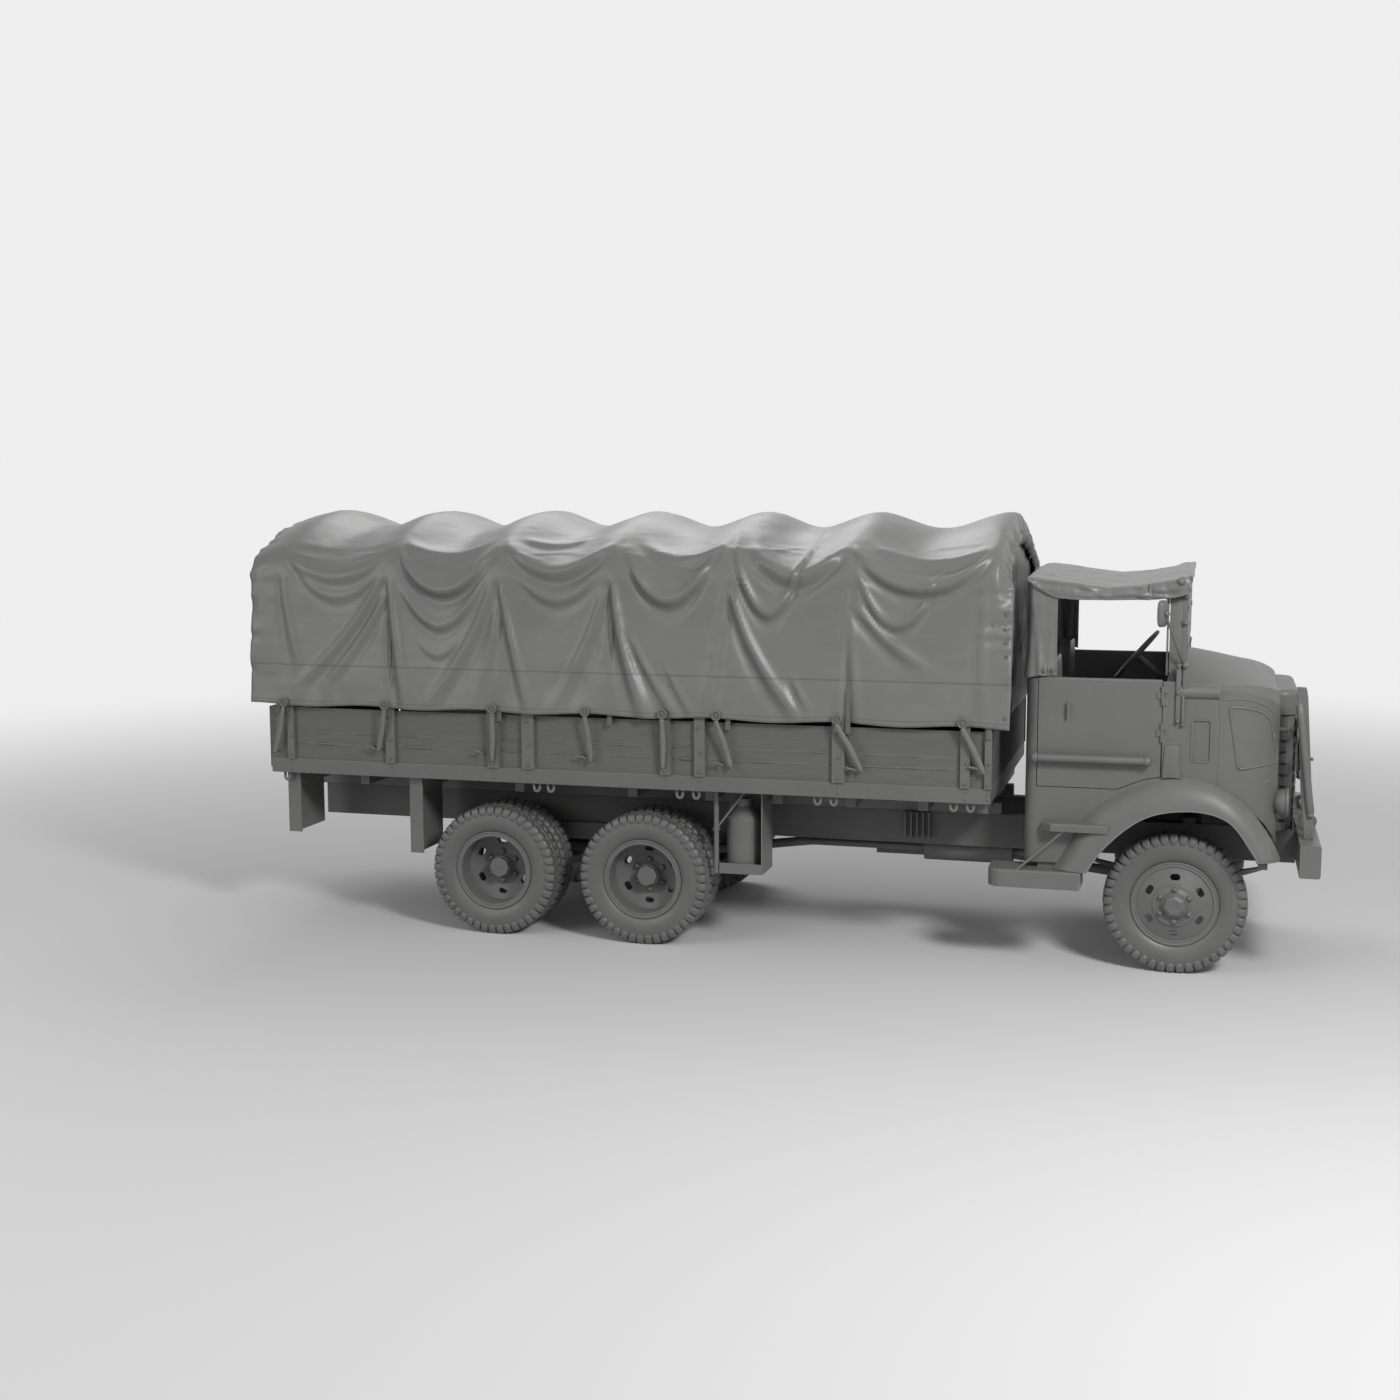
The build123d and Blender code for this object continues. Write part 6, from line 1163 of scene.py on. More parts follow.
# Seats: two sprung cushions and squabs in waxed cloth over steel tube frames bolted to the cab floor. Each
# pad has a crowned face with three sewn channels, and a welt round its edge.
def crowned_pad(name, low, high, crown_axis, crown, channels):
    """A stuffed pad with rounded corners, a crowned face, pulled-in sides and sewn channels."""
    shape = bmesh.new()
    bmesh.ops.create_cube(shape, size=2)
    bmesh.ops.subdivide_edges(shape, edges=shape.edges, cuts=23, use_grid_fill=True)
    middle, half = (Vector(low) + Vector(high)) / 2, (Vector(high) - Vector(low)) / 2
    flat = [k for k in range(3) if k != crown_axis]
    for point in shape.verts:
        spot = np.array(point.co)
        spot = spot / (np.sum(np.abs(spot) ** 9) ** (1 / 9))
        u, v, w = spot[flat[0]], spot[flat[1]], spot[crown_axis]
        pull = 1 - 0.035 * (1 - w * w)
        spot[flat[0]] = u * pull * (1 - 0.012 * (1 - abs(v)))
        spot[flat[1]] = v * pull * (1 - 0.012 * (1 - abs(u)))
        rise = crown * (1 - u * u) * (1 - v * v) * max(w, 0) ** 2
        groove = sum(0.011 * math.exp(-((u - place) / 0.045) ** 2) for place in channels) * max(w, 0) ** 3
        welt = 0.004 * math.exp(-((abs(w) - 0.86) / 0.05) ** 2)
        placed = middle + Vector([spot[k] * half[k] for k in range(3)])
        placed[crown_axis] += rise - groove
        placed[flat[0]] += math.copysign(welt, u) if abs(u) > 0.8 else 0
        placed[flat[1]] += math.copysign(welt, v) if abs(v) > 0.8 else 0
        point.co = placed
    made = finished(name, shape, waxed_canvas, smooth=True)
    layer = made.data.uv_layers.new(name="cloth")
    for loop in made.data.loops:
        spot = made.data.vertices[loop.vertex_index].co
        layer.data[loop.index].uv = (spot[flat[0]], spot[flat[1]] * 0.3)
    return made


def steel_tube(route, radius, finish=body_paint, sides=12):
    """A bent tube along a smooth line through the given points, closed at its ends."""
    curve = bpy.data.curves.new("tube", "CURVE")
    curve.dimensions = "3D"
    curve.bevel_depth, curve.bevel_resolution, curve.use_fill_caps = radius, sides // 4, True
    line = curve.splines.new("POLY")
    line.points.add(len(route) - 1)
    for point, spot in zip(line.points, route):
        point.co = (*spot, 1)
    holder = put_in_scene("tube", curve)
    bpy.context.view_layer.update()
    mesh = bpy.data.meshes.new_from_object(holder.evaluated_get(bpy.context.evaluated_depsgraph_get()))
    bpy.data.objects.remove(holder)
    mesh.materials.clear()
    mesh.materials.append(finish)
    shade(mesh)
    return put_in_scene("tube", mesh)


seat_rear, seat_front, tube_inset, tube_radius, tube_z = bogie_x + 3.290, bogie_x + 3.710, 0.030, 0.011, 1.474
for side, hand in ((1, "left"), (-1, "right")):
    low_y, high_y = side * 0.600 - 0.213, side * 0.600 + 0.213
    for pad in (
        crowned_pad("seat_cushion_" + hand, (seat_rear + 0.012, low_y, 1.486), (seat_front, high_y, 1.600),
                    2, 0.016, (-0.4, 0, 0.4)),
        crowned_pad("seat_squab_" + hand, (seat_rear - 0.018, low_y, 1.625), (seat_rear + 0.080, high_y, 2.074),
                    0, 0.014, (-0.5, 0, 0.5)),
    ):
        declare(pad, replaces="seats")
    routes = []
    for y in (low_y + tube_inset, high_y - tube_inset):
        routes.append([
            (seat_front - 0.05, y, 1.2365), (seat_front - 0.05, y, 1.44), (seat_front - 0.056, y, 1.463),
            (seat_front - 0.075, y, tube_z), (seat_rear + 0.03, y, tube_z), (seat_rear + 0.008, y, 1.463),
            (seat_rear + 0.002, y, 1.44), (seat_rear + 0.002, y, 1.2365),
        ])
        routes.append([
            (seat_rear - 0.008, y, tube_z), (seat_rear - 0.012, y, 1.62), (seat_rear - 0.022, y, 1.95),
        ])
    for x in (seat_front - 0.075, seat_rear + 0.03):
        routes.append([(x, low_y + tube_inset, tube_z), (x, high_y - tube_inset, tube_z)])
    piece_of(
        [steel_tube(route, tube_radius, chassis_paint) for route in routes], "seat_frame_" + hand,
        chassis_paint, replaces="seats",
    )

# Cover ties: eight straps a side, each sewn to a pressed ring in the hem and hauled down to a pin driven
# through the boards, with a horn cleat beside it. The straps are oiled canvas rope, the rings and pins steel.
tie_runs = (
    (-2.130, 1.632, -2.223, 1.278), (-1.330, 1.634, -1.394, 1.322), (-0.506, 1.636, -0.519, 1.281),
    (0.186, 1.638, 0.219, 1.310), (0.744, 1.640, 0.742, 1.284), (1.127, 1.642, 1.225, 1.310),
    (1.959, 1.646, 2.125, 1.318), (2.797, 1.650, 2.938, 1.336),
)
cleat_places = (
    (-1.449, 1.336), (-0.619, 1.335), (0.150, 1.330), (1.140, 1.322), (2.055, 1.325), (2.870, 1.366),
)
tie_top_y, tie_low_y, board_skin_y = 1.1735, 1.150, 1.1045
ring_line = (
    (0.0190, 0.0), (0.0200, 0.0055), (0.0245, 0.0085), (0.0295, 0.0075), (0.0320, 0.0030), (0.0315, -0.0040),
    (0.0190, -0.0040),
)
plate_line = ((0.0, 0.0015), (0.0120, 0.0022), (0.0192, 0.0010), (0.0192, -0.0030), (0.0, -0.0030))

placed_repeat, spot_in, spot_out = geometry_tree(
    "placed_repeat", Piece="Object", Places="Object", Size="Float", Finish="Material",
)
spot_mesh = add_node(placed_repeat, "GeometryNodeObjectInfo", {"Object": spot_in["Places"]}).outputs["Geometry"]
spot_points = add_node(placed_repeat, "GeometryNodeMeshToPoints", {0: spot_mesh}).outputs[0]
copies_out(placed_repeat, spot_out, spot_in["Piece"], spot_in["Finish"], {
    "Points": spot_points, "Scale": spot_in["Size"],
})


def repeated(piece, places, size=1.0):
    """A small painted piece repeated at a list of places, as one plain mesh."""
    mesh = bpy.data.meshes.new("places")
    mesh.from_pydata([tuple(p) for p in places], [], [])
    spots = put_in_scene("places", mesh)
    made = grown_mesh("repeated", placed_repeat, Piece=piece, Places=spots, Size=size, Finish=body_paint)
    bpy.data.objects.remove(spots)
    bpy.data.objects.remove(piece)
    return made


def oval_strap(route, wide, thick, finish, sides=14):
    """A soft strap of oval section along a route on the truck's side, its breadth along the truck."""
    rows = []
    route = np.array(route)
    steps = np.concatenate([[0], np.cumsum(np.linalg.norm(np.diff(route, axis=0), axis=1))])
    even = np.linspace(0, steps[-1], 26)
    line = np.stack([np.interp(even, steps, route[:, k]) for k in range(3)], 1)
    for _ in range(3):
        line[1:-1] = (line[:-2] + 2 * line[1:-1] + line[2:]) / 4
    way = np.gradient(line, axis=0)
    way /= np.linalg.norm(way, axis=1, keepdims=True)
    for i, (spot, run) in enumerate(zip(line, way)):
        across = np.cross(run, [0, 1, 0])
        across /= np.linalg.norm(across)
        out = np.cross(across, run)
        share = i / (len(line) - 1)
        narrow = 0.74 + 0.26 * math.sin(math.pi * min(1, max(0, share * 1.02)))
        half = wide / 2 * narrow * (1 + 0.03 * math.sin(share * 31))
        for j in range(sides):
            turn = 2 * math.pi * j / sides
            rows.append(spot + across * math.cos(turn) * half + out * math.sin(turn) * thick / 2)
    return plain_object("strap", rows, strip_faces(len(line), sides) + end_faces(len(line), sides), finish)


tie_rope = new_finish("tie_rope", Specular_IOR_Level=0.3)
rope_film = place_group(tie_rope, brushed_film, Mottle_Scale=14.0, Grain_Scale=300.0, Streak=0.8)
rope_twist = add_node(tie_rope.node_tree, "ShaderNodeTexWave", {
    "Vector": object_place(tie_rope.node_tree), "Scale": 42, "Distortion": 1.2,
}, bands_direction="DIAGONAL")
rope_tone = tone_mix(tie_rope, rope_film["Mottle"], (0.115, 0.115, 0.112), (0.175, 0.174, 0.169))
feed_surface(tie_rope, rope_tone, rope_film["Grain"], 0.40, 0.62)
rope_height = math_node(tie_rope.node_tree, "ADD", rope_film["Grain"], rope_twist.outputs["Fac"])
relief(tie_rope, rope_height, 0.0014, 0.5)

for side, hand in ((1, "left"), (-1, "right")):
    straps, pins = [], []
    for ring_reach, ring_z, end_reach, end_z in tie_runs:
        top = at(ring_reach, side * (tie_top_y + 0.0100), ring_z - 0.020)
        low = at(end_reach, side * (tie_low_y + 0.002), end_z)
        middle = [(a + b) / 2 for a, b in zip(top, low)]
        middle[0] += 0.006
        straps.append(oval_strap([top, middle, low], 0.040, 0.0155, tie_rope))
        pins.append(([at(end_reach, side * y, end_z) for y in (board_skin_y, tie_low_y + 0.004)], 0.0075))
    for reach, z in cleat_places:
        horns = [at(reach + dx, side * y, z + dz) for dx, y, dz in (
            (-0.033, 1.158, 0.010), (-0.014, 1.150, 0.001), (0.014, 1.150, -0.001), (0.033, 1.158, -0.010))]
        pins += [(horns, 0.0082), ([at(reach, side * y, z) for y in (board_skin_y, 1.150)], 0.0095)]
    ring_places = [at(r, side * (tie_top_y + 0.001), z + 0.014) for r, z, _, _ in tie_runs]
    pin_heads = [at(r, side * tie_low_y, z) for _, _, r, z in tie_runs]
    slot_bar = steel_tube([(0, side * 0.004, -0.018), (0, side * 0.0065, 0), (0, side * 0.004, 0.018)], 0.0042)
    fittings = [
        repeated(spun("ring", ring_line, 24, body_paint, side=side), ring_places, 1.14),
        repeated(spun("plate", plate_line, 24, body_paint, side=side, closed=False), ring_places, 1.14),
        repeated(slot_bar, ring_places),
        repeated(rounded_knob((0, 0, 0), 0.0125, (0, side, 0)), pin_heads),
    ]
    fittings += [steel_tube(route, radius) for route, radius in pins]
    piece_of(straps, "tie_straps_" + hand, tie_rope, replaces="cover_ties")
    piece_of(fittings, "tie_fittings_" + hand, replaces="cover_ties")

# Bed frame: two long sills on the chassis, ten cross sills and an edge rail all round. The two cross sills that
# carry the mud flaps run out to hangers under the rails. Sawn hardwood and pressed rails, painted with the bed.
bed_rear, bed_front, bed_half = -2.270, 2.980, 1.118
rail_bottom, rail_top, rail_depth, sill_top, sill_half = 1.120, 1.225, 0.038, 1.010, 0.035
cross_sill_reaches = (-2.130, -1.650, -1.155, -0.430, 0.430, 1.000, 1.480, 2.000, 2.500, 2.900)
flap_sill_reaches = (-2.130, -1.155)


def slab(low, high, rounding):
    """A painted slab with rounded edges between two corners, given by reach, side and height."""
    shape = bmesh.new()
    bmesh.ops.create_cube(shape, size=1)
    low, high = Vector(at(*low)), Vector(at(*high))
    for point in shape.verts:
        point.co = Vector([point.co[k] * (high - low)[k] + ((low + high) / 2)[k] for k in range(3)])
    bmesh.ops.bevel(shape, geom=shape.edges, offset=rounding, segments=3, affect="EDGES", profile=0.5)
    return finished("slab", shape, body_paint)


def side_slab(side, reaches, depths, heights, rounding):
    """Such a slab on one side of the truck, between two depths from its middle."""
    ends = sorted(side * depth for depth in depths)
    return slab((reaches[0], ends[0], heights[0]), (reaches[1], ends[1], heights[1]), rounding)


beams = []
for side in (-1, 1):
    beams.append(side_slab(side, (bed_rear, bed_front), (0.342, 0.418), (0.9254, sill_top), 0.004))
    beams.append(side_slab(
        side, (bed_rear, bed_front), (bed_half - rail_depth, bed_half), (rail_bottom, rail_top), 0.005))
for reach in cross_sill_reaches:
    span = 1.0375 if reach in flap_sill_reaches else 0.86
    beams.append(slab((reach - sill_half, -span, sill_top), (reach + sill_half, span, rail_bottom), 0.004))
for reach in flap_sill_reaches:
    for side in (-1, 1):
        ends = (reach - 0.050, reach + 0.050)
        beams.append(side_slab(side, ends, (1.038, 1.050), (sill_top, rail_bottom), 0.002))
for reach in (bed_rear, bed_front - rail_depth):
    half_rail = bed_half - rail_depth
    beams.append(slab((reach, -half_rail, rail_bottom), (reach + rail_depth, half_rail, rail_top), 0.005))
piece_of(beams, "bed_beams", smooth=False, replaces="bed_frame")

# Board edges: the boards' chipped lower lips stand a little proud along their joints, ragged where the wood
# has split away. Bare and painted wood, made as thin strips with a seeded jagged edge.
edge_random = np.random.default_rng(19)
board_runs = (
    (-2.07, -1.35), (-1.27, -0.57), (-0.46, -0.31), (-0.20, 0.705), (0.80, 0.955), (1.045, 1.91),
    (2.015, 2.775),
)
for side, hand in ((1, "left"), (-1, "right")):
    rows, faces = [], []
    for joint_z, reaching in ((1.340, 1.0), (1.420, 0.7)):
        for low_reach, high_reach in board_runs:
            steps = int((high_reach - low_reach) / 0.011)
            jag = np.convolve(edge_random.uniform(-1, 1, steps + 4), (0.3, 0.4, 0.3), "same")
            slow = np.convolve(edge_random.uniform(-1, 1, steps + 14), np.ones(11) / 11, "same")
            start = len(rows)
            for i in range(steps):
                reach = low_reach + (high_reach - low_reach) * i / (steps - 1)
                near_end = min(1, i / 6, (steps - 1 - i) / 6)
                torn = reaching * max(0.0, 0.004 + 0.020 * slow[i] + 0.003 * jag[i]) * near_end
                out = board_skin_y + 0.0006 + 0.55 * torn
                rows += [at(reach, side * y, joint_z + up) for y, up in (
                    (board_skin_y - 0.002, 0.005 + torn), (out, 0.002 + 0.5 * torn),
                    (out - 0.0008, -0.002 - 0.5 * torn), (board_skin_y - 0.002, -0.004 - torn),
                )]
            strip = strip_faces(steps, 4) + end_faces(steps, 4)
            faces += [tuple(start + corner for corner in face) for face in strip]
    lips = plain_object("lips", rows, faces, painted_plank)
    piece_of([lips], "board_edges_" + hand, painted_plank, smooth=False)

# Bed hardware: bent steel hooks in pairs under the rails for lashings, round bolt heads through the stakes and
# the rails, and eyelets punched along the canvas's front hem. All are steel and painted with the bed.
hook_reaches = (-2.160, -0.207, -0.102, 0.845, 0.963, 1.816, 1.926, 2.735, 2.847)
stake_middles = (-2.1025, -1.3115, -0.519, -0.256, 0.752, 0.9985, 1.964, 2.8125, 2.9635)
bolt_line = (
    (0.0, -0.002), (0.0105, -0.002), (0.0105, 0.0015), (0.0088, 0.0046), (0.0050, 0.0066), (0.0, 0.0072),
)
eyelet_line = (
    (0.0065, 0.0), (0.0080, 0.0028), (0.0115, 0.0030), (0.0140, 0.0006), (0.0140, -0.0010), (0.0065, -0.0010),
)
hook_half, hook_drop = 0.022, 0.060
for side, hand in ((1, "left"), (-1, "right")):
    hook_line = [(-hook_half, 0, 0), (-hook_half, 0, -hook_drop * 0.5)]
    hook_line += [
        (-hook_half * math.cos(t), side * 0.006 * math.sin(t), -hook_drop * (0.5 + 0.5 * math.sin(t)))
        for t in (0.4, 0.8, 1.2, 1.57, 1.94, 2.34, 2.74)
    ]
    hook_line += [(hook_half, 0, -hook_drop * 0.5), (hook_half, 0, 0)]
    stake_bolts = [
        at(r + dx, side * (board_skin_y + 0.0365), z)
        for r in stake_middles for z, dx in ((1.255, 0.0), (1.395, 0.010), (1.560, -0.006))
    ]
    rail_bolts = [at(r, side * bed_half, z) for r in stake_middles for z in (1.150, 1.196)]
    hem_spots = [
        at(3.070, side * (1.160 + (hem_z - z) * 0.0674 + 0.006), z) for z in (1.70, 2.10, 2.20, 2.29, 2.38)
    ]
    piece_of([
        repeated(steel_tube(hook_line, 0.0105, sides=16), [at(r, side * 1.085, 1.1225) for r in hook_reaches]),
        repeated(spun("bolt", bolt_line, 14, body_paint, side=side), stake_bolts + rail_bolts, 0.9),
        repeated(spun("eyelet", eyelet_line, 18, body_paint, side=side), hem_spots),
    ], "bed_hardware_" + hand)


# Nose and windscreen fittings: a rolled bead round each side hatch, a pressed crease over it, the flared foot
# plate, straps and clamps of each windscreen pillar, and the knobs that they turn on. All painted steel.
def skin_finder(node_name):
    """A lookup of the outer skin of a solid of the frame."""
    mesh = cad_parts[node_name].data
    return BVHTree.FromPolygons([v.co[:] for v in mesh.vertices], [p.vertices[:] for p in mesh.polygons])


def prism(loops, finish, bevelled, rounding, segments):
    """A slab between two outlines, with the edges that bevelled picks rounded."""
    shape = bmesh.new()
    rows = [[shape.verts.new(spot) for spot in loop] for loop in loops]
    shape.faces.new(rows[0])
    shape.faces.new(rows[1][::-1])
    count = len(rows[0])
    for i in range(count):
        k = (i + 1) % count
        shape.faces.new((rows[0][i], rows[1][i], rows[1][k], rows[0][k]))
    bmesh.ops.recalc_face_normals(shape, faces=shape.faces)
    edges = [edge for edge in shape.edges if bevelled(edge)]
    bmesh.ops.bevel(shape, geom=edges, offset=rounding, segments=segments, affect="EDGES", profile=0.5)
    return finished("prism", shape, finish)


hatch_outline = ((4.469, 1.797), (4.568, 1.793), (4.671, 1.766), (4.726, 1.709), (4.781, 1.430), (4.535, 1.395))
hatch_corner_cut = 0.030
crease_line = ((4.43, 1.846), (4.50, 1.850), (4.57, 1.846), (4.63, 1.832), (4.69, 1.804), (4.735, 1.765))
foot_outline = (
    (4.066, 1.324), (4.120, 1.330), (4.187, 1.326), (4.176, 1.380), (4.168, 1.450), (4.164, 1.540),
    (4.078, 1.540), (4.072, 1.450), (4.067, 1.400),
)
foot_low, foot_high = 0.9795, 1.004
hatch_corners = [Vector((r, 0, z)) for r, z in hatch_outline]
bead_line = []
for i, corner in enumerate(hatch_corners):
    before, after = hatch_corners[i - 1], hatch_corners[(i + 1) % len(hatch_corners)]
    start = corner + (before - corner).normalized() * hatch_corner_cut
    stop = corner + (after - corner).normalized() * hatch_corner_cut
    following = after + (corner - after).normalized() * hatch_corner_cut
    bead_line += [start.lerp(corner, t).lerp(corner.lerp(stop, t), t) for t in (0.0, 0.2, 0.4, 0.6, 0.8, 1.0)]
    bead_line += [stop.lerp(following, t) for t in (0.2, 0.4, 0.6, 0.8)]
bead_line = [(spot.x, spot.z) for spot in bead_line]
shell_skin = skin_finder("cab_shell")


def on_shell(line, side, lift):
    """A line of reaches and heights laid on the cab's side, lifted off it a little."""
    route = []
    for reach, z in line:
        found = shell_skin.ray_cast(Vector(at(reach, side * 2, z)), Vector((0, -side, 0)), 3)
        route.append(at(reach, found[0].y + side * lift, z))
    return route


for side, hand in ((1, "left"), (-1, "right")):
    bead = on_shell(bead_line, side, 0.0005)
    fittings = [
        steel_tube(bead + bead[:1], 0.0075, sides=16),
        steel_tube(on_shell(crease_line, side, 0), 0.0055, sides=16),
        prism(
            [[at(r, side * y, z) for r, z in foot_outline] for y in (foot_low, foot_high)], body_paint,
            lambda edge: all(abs(abs(v.co.y) - foot_high) < 1e-6 for v in edge.verts), 0.006, 3,
        ),
    ]
    # Straps, pillar plates and clamps: the two reaches, the two heights, the two depths and the rounding
    for reaches, heights, depths, rounding in (
        ((4.136, 4.168), (1.690, 2.070), (0.9795, 0.997), 0.006),
        ((4.172, 4.192), (1.660, 1.930), (0.9795, 0.997), 0.006),
        ((4.176, 4.204), (1.900, 2.075), (0.9795, 0.997), 0.006),
        ((4.086, 4.1655), (2.000, 2.492), (0.912, 0.9295), 0.004),
        ((4.067, 4.080), (1.985, 2.500), (0.912, 0.9295), 0.004),
        ((4.158, 4.205), (2.040, 2.080), (0.900, 0.942), 0.009),
        ((4.158, 4.205), (2.310, 2.350), (0.900, 0.942), 0.009),
        ((4.158, 4.205), (2.480, 2.520), (0.900, 0.942), 0.009),
    ):
        fittings.append(side_slab(side, reaches, depths, heights, rounding))
    for reach, depth, z, size in (
        (4.152, 0.999, 1.700, 0.014), (4.152, 0.999, 1.884, 0.013), (4.150, 0.999, 2.055, 0.013),
        (4.190, 0.999, 2.060, 0.019), (4.182, 0.999, 1.680, 0.010), (4.182, 0.944, 2.060, 0.013),
        (4.182, 0.944, 2.330, 0.013), (4.182, 0.944, 2.500, 0.013),
    ):
        fittings.append(rounded_knob(at(reach, side * depth, z), size, (0, side, 0)))
    piece_of(fittings, "nose_fittings_" + hand)

# Brush guard: a tall channel post on the near side, the only one that the photograph shows above the nose, a
# grid of shorter flats, three flat rungs, and a heavy tube outside each end that shields the lamps.
guard_foot, guard_low_reach, guard_high_reach, tall_top, low_top = 0.9335, 5.020, 4.955, 1.905, 1.715
bar_half, guard_half = 0.0225, 0.765
guard_bars = []


def guard_reach(z):
    """The reach of the guard's leaning front at a height."""
    return guard_low_reach + (guard_high_reach - guard_low_reach) * (z - guard_foot) / (tall_top - guard_foot)


for bar_y in (-guard_half, guard_half, -0.56, -0.28, 0, 0.28, 0.56):
    top = tall_top if bar_y == -guard_half else low_top
    bar_reach = guard_reach(top)
    if top == tall_top:
        rise = ((0, -0.055), (-0.010, 0.004), (-0.016, 0.010), (-0.070, 0.012), (-0.062, -0.050))
        back_foot = guard_low_reach - 0.060
    else:
        rise = ((0, -0.010), (-0.003, -0.002), (-0.008, -0.002), (-0.010, -0.012))
        back_foot = guard_low_reach - 0.010
    outline = [(guard_low_reach, guard_foot)] + [(bar_reach + dr, top + dz) for dr, dz in rise]
    outline.append((back_foot, guard_foot))
    loops = [[at(r, bar_y + w, z) for r, z in outline] for w in (-bar_half, bar_half)]
    guard_bars.append(prism(loops, body_paint, lambda edge: True, 0.0022, 2))
for z in (1.120, 1.500, 1.690):
    reach = guard_reach(z)
    guard_bars.append(slab(
        (reach - 0.020, -guard_half, z - bar_half), (reach - 0.009, guard_half, z + bar_half), 0.003))
tube_heads = {
    -1: ((4.905, 0.770, 1.800), (4.909, 0.786, 1.775), (4.914, 0.796, 1.735)),
    1: ((4.918, 0.770, 1.690), (4.921, 0.786, 1.668), (4.926, 0.796, 1.635)),
}
tube_run = ((4.953, 0.797, 1.430), (4.983, 0.797, 1.190), (4.992, 0.796, 1.130), (4.994, 0.788, 1.105))
for side in (-1, 1):
    route = [at(r, side * y, z) for r, y, z in tube_heads[side] + tube_run]
    guard_bars.append(steel_tube(route, 0.0245, sides=28))
    guard_bars.append(rounded_knob(at(4.9945, side * 0.786, 1.100), 0.0245, (0, side * 0.3, -1)))
    guard_bars.append(rounded_knob(at(4.986, side * guard_half, 1.452), 0.013, (1, 0, 0)))
piece_of(guard_bars, "guard_bars", smooth=False, replaces="brush_guard")

# Grille backing: a folded sheet-steel duct behind the slats that leads the air to the radiator and closes the
# view between them. The bumper's bolts stand in front of it.
duct_outline = (
    (4.7915, 0.4740), (4.8350, 0.4740), (4.8600, 0.4680), (4.8830, 0.4500), (4.8960, 0.4180), (4.8990, 0.3800),
)
duct_gauge, duct_foot, duct_head = 0.003, 0.9400, 1.6990
duct_walls = []
for side in (-1, 1):
    wall = list(duct_outline) + [(reach - duct_gauge, y - duct_gauge) for reach, y in duct_outline[::-1]]
    points = [at(reach, side * y, z) for z in (duct_foot, duct_head) for reach, y in wall]
    duct_walls.append(plain_object(
        "wall", points, strip_faces(2, len(wall)) + end_faces(2, len(wall)), chassis_paint))
piece_of(duct_walls, "grille_duct", chassis_paint)
bolt_points, bolt_faces = spun_grid(bolt_line, 14)
bolt_points = np.stack([bolt_points[:, 1], -bolt_points[:, 0], bolt_points[:, 2]], 1)
bolt_places = [at(5.0598, y, z) for y in (-0.40, -0.34, 0.34, 0.40) for z in (0.775, 0.870)]
bumper_bolts = repeated(plain_object("bolt", bolt_points, bolt_faces, body_paint), bolt_places, 1.25)
piece_of([bumper_bolts], "bumper_bolts")

# Mirrors: a pressed oblong back with a glass let into it, clamped to a bent arm from the windscreen pillar.
# The rear face is silvered glass, the rest painted steel.
mirror_glass = glassy_finish(
    "mirror_glass", (9.0, 80.0, 0.5), ((0.72, 0.73, 0.74), (0.62, 0.63, 0.63)), (0.04, 0.16), Metallic=1.0,
)
# Share of the head's half size and of its depth, from the middle of its back round to the glass's edge
head_rings = (
    (0.0, -1.0), (0.55, -0.98), (0.85, -0.72), (0.98, -0.30), (1.0, 0.35), (0.99, 0.55), (0.93, 0.62),
    (0.90, 0.50),
)
glass_ring, head_sides, head_power = 6, 40, 2 / 3.4
head_half_wide, head_half_tall, head_half_deep, head_turn = 0.047, 0.086, 0.021, math.radians(32)
arm_line = (
    (4.184, 0.940, 2.046), (4.180, 0.962, 2.062), (4.128, 1.035, 2.205), (4.078, 1.092, 2.345),
    (4.070, 1.099, 2.372), (4.062, 1.102, 2.398),
)


def rounded_share(turn_part):
    """A cosine or sine bent so that the outline it draws is an oblong with round corners."""
    return math.copysign(abs(turn_part) ** head_power, turn_part)


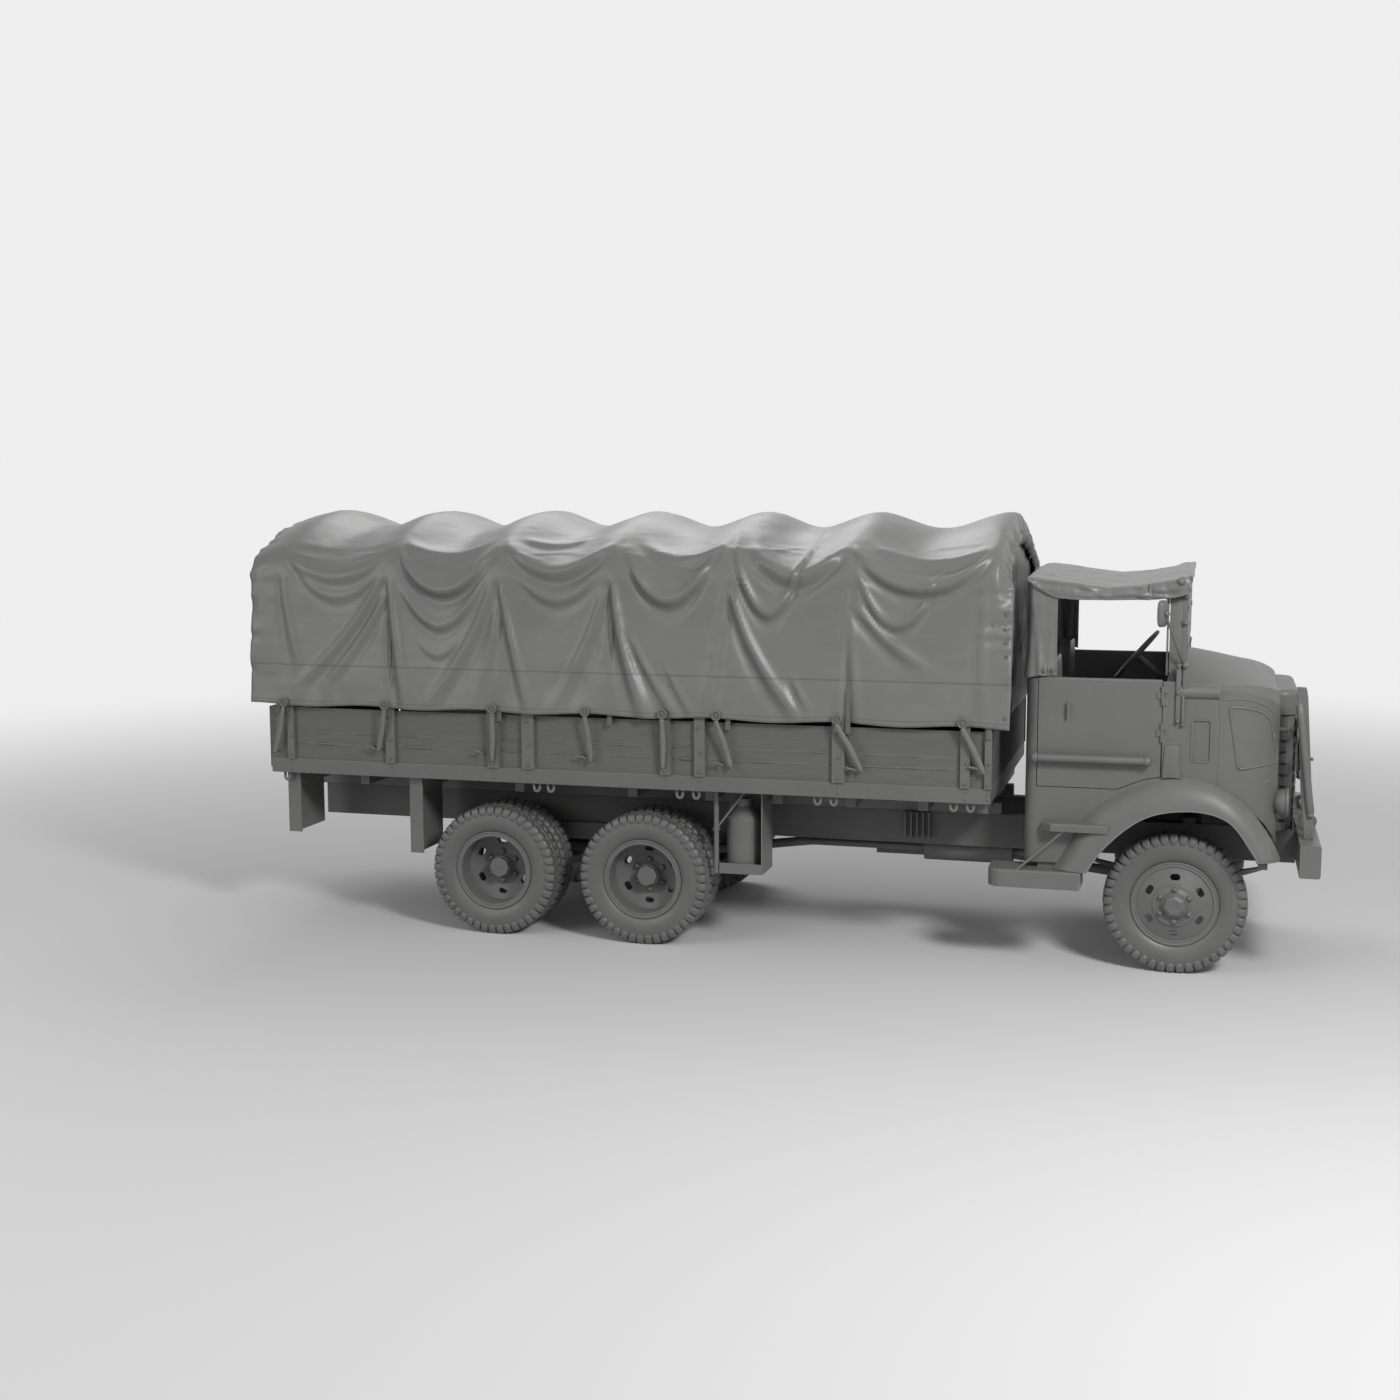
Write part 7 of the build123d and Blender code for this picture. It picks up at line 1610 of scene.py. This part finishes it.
for side, hand in ((1, "left"), (-1, "right")):
    head_x, head_y, head_z = at(4.045, side * 1.095, 2.3975)
    head_rows = []
    for spread, depth in head_rings:
        for j in range(head_sides):
            turn = 2 * math.pi * j / head_sides
            wide = rounded_share(math.cos(turn)) * head_half_wide * spread
            tall = rounded_share(math.sin(turn)) * head_half_tall * spread
            deep = -head_half_deep * depth
            head_rows.append((
                head_x + deep * math.cos(head_turn) - side * wide * math.sin(head_turn),
                head_y + side * deep * math.sin(head_turn) + wide * math.cos(head_turn), head_z + tall,
            ))
    head_faces = strip_faces(len(head_rings), head_sides) + end_faces(len(head_rings), head_sides)[1:]
    head = plain_object("head", head_rows, head_faces, body_paint)
    rim = np.array(head_rows[glass_ring * head_sides:(glass_ring + 1) * head_sides])
    rearward = np.array([-math.cos(head_turn), -side * math.sin(head_turn), 0]) * 0.0012
    pane_rows = [
        rim.mean(0) + (p - rim.mean(0)) * share + rearward * (2 - share)
        for share in (0.0, 0.5, 1.0) for p in rim
    ]
    pane_rows += [p - rearward * 1.6 for p in pane_rows[-head_sides:]]
    pane_faces = strip_faces(4, head_sides) + end_faces(4, head_sides)[1:]
    declare(
        plain_object("mirror_pane_" + hand, pane_rows, pane_faces, mirror_glass), replaces="mirrors")
    piece_of([
        head, steel_tube([at(r, side * y, z) for r, y, z in arm_line], 0.0085, sides=16),
        rounded_knob(at(4.063, side * 1.104, 2.398), 0.020, (1, side * 0.6, 0)),
        rounded_knob(at(4.186, side * 0.948, 2.046), 0.021, (0, side, 0)),
    ], "mirror_" + hand, replaces="mirrors")

# Lamps: a fluted glass in a rolled bezel on the front of each headlamp and of each lamp under it.
# No reflector is built behind the glass: its pale coated finish, which isn't clear, is a painted reflection of
# the bright reflector that backs it.
lamp_glass = glassy_finish(
    "lamp_glass", (12.0, 60.0, 0.3), ((0.30, 0.31, 0.31), (0.42, 0.43, 0.43)), (0.12, 0.30),
    Coat_Weight=0.8, Coat_Roughness=0.06,
)
lens_line = (
    (0.0, 0.012), (0.18, 0.0117), (0.36, 0.0106), (0.54, 0.0088), (0.72, 0.0062), (0.88, 0.0030), (0.97, 0.0),
    (0.97, -0.003), (0.0, -0.003),
)
bezel_line = (
    (0.93, 0.0), (0.945, 0.0052), (0.985, 0.0085), (1.03, 0.0070), (1.06, 0.0010), (1.065, -0.008),
    (1.045, -0.013), (0.93, -0.004),
)
lamps = ((4.9065, 0.720, 1.625, 0.080), (4.8505, 0.750, 1.160, 0.088))
flute_depth, flute_pitch = 0.0007, 0.0042


def facing_forward(points, place):
    """Turns points made about the cross axis to face along the truck, at a place."""
    return np.stack([points[:, 1] + place[0], points[:, 0] + place[1], points[:, 2] + place[2]], 1)


for side, hand in ((1, "left"), (-1, "right")):
    lenses, bezels = [], []
    for reach, y, z, radius in lamps:
        place = at(reach, side * y, z)
        points, faces = spun_grid([(r * radius, w) for r, w in lens_line], 64, closed=False)
        placed = facing_forward(points, place)
        fluted = (np.hypot(points[:, 0], points[:, 2]) < radius * 0.9) * (points[:, 1] > 0)
        placed[:, 0] += flute_depth * np.sin(points[:, 0] / flute_pitch) * fluted
        lenses.append(plain_object("lens", placed, faces, lamp_glass))
        points, faces = spun_grid([(r * radius, w) for r, w in bezel_line], 64)
        bezels.append(plain_object("bezel", facing_forward(points, place), faces, body_paint))
    piece_of(lenses, "lamp_lenses_" + hand, lamp_glass)
    piece_of(bezels, "lamp_bezels_" + hand)
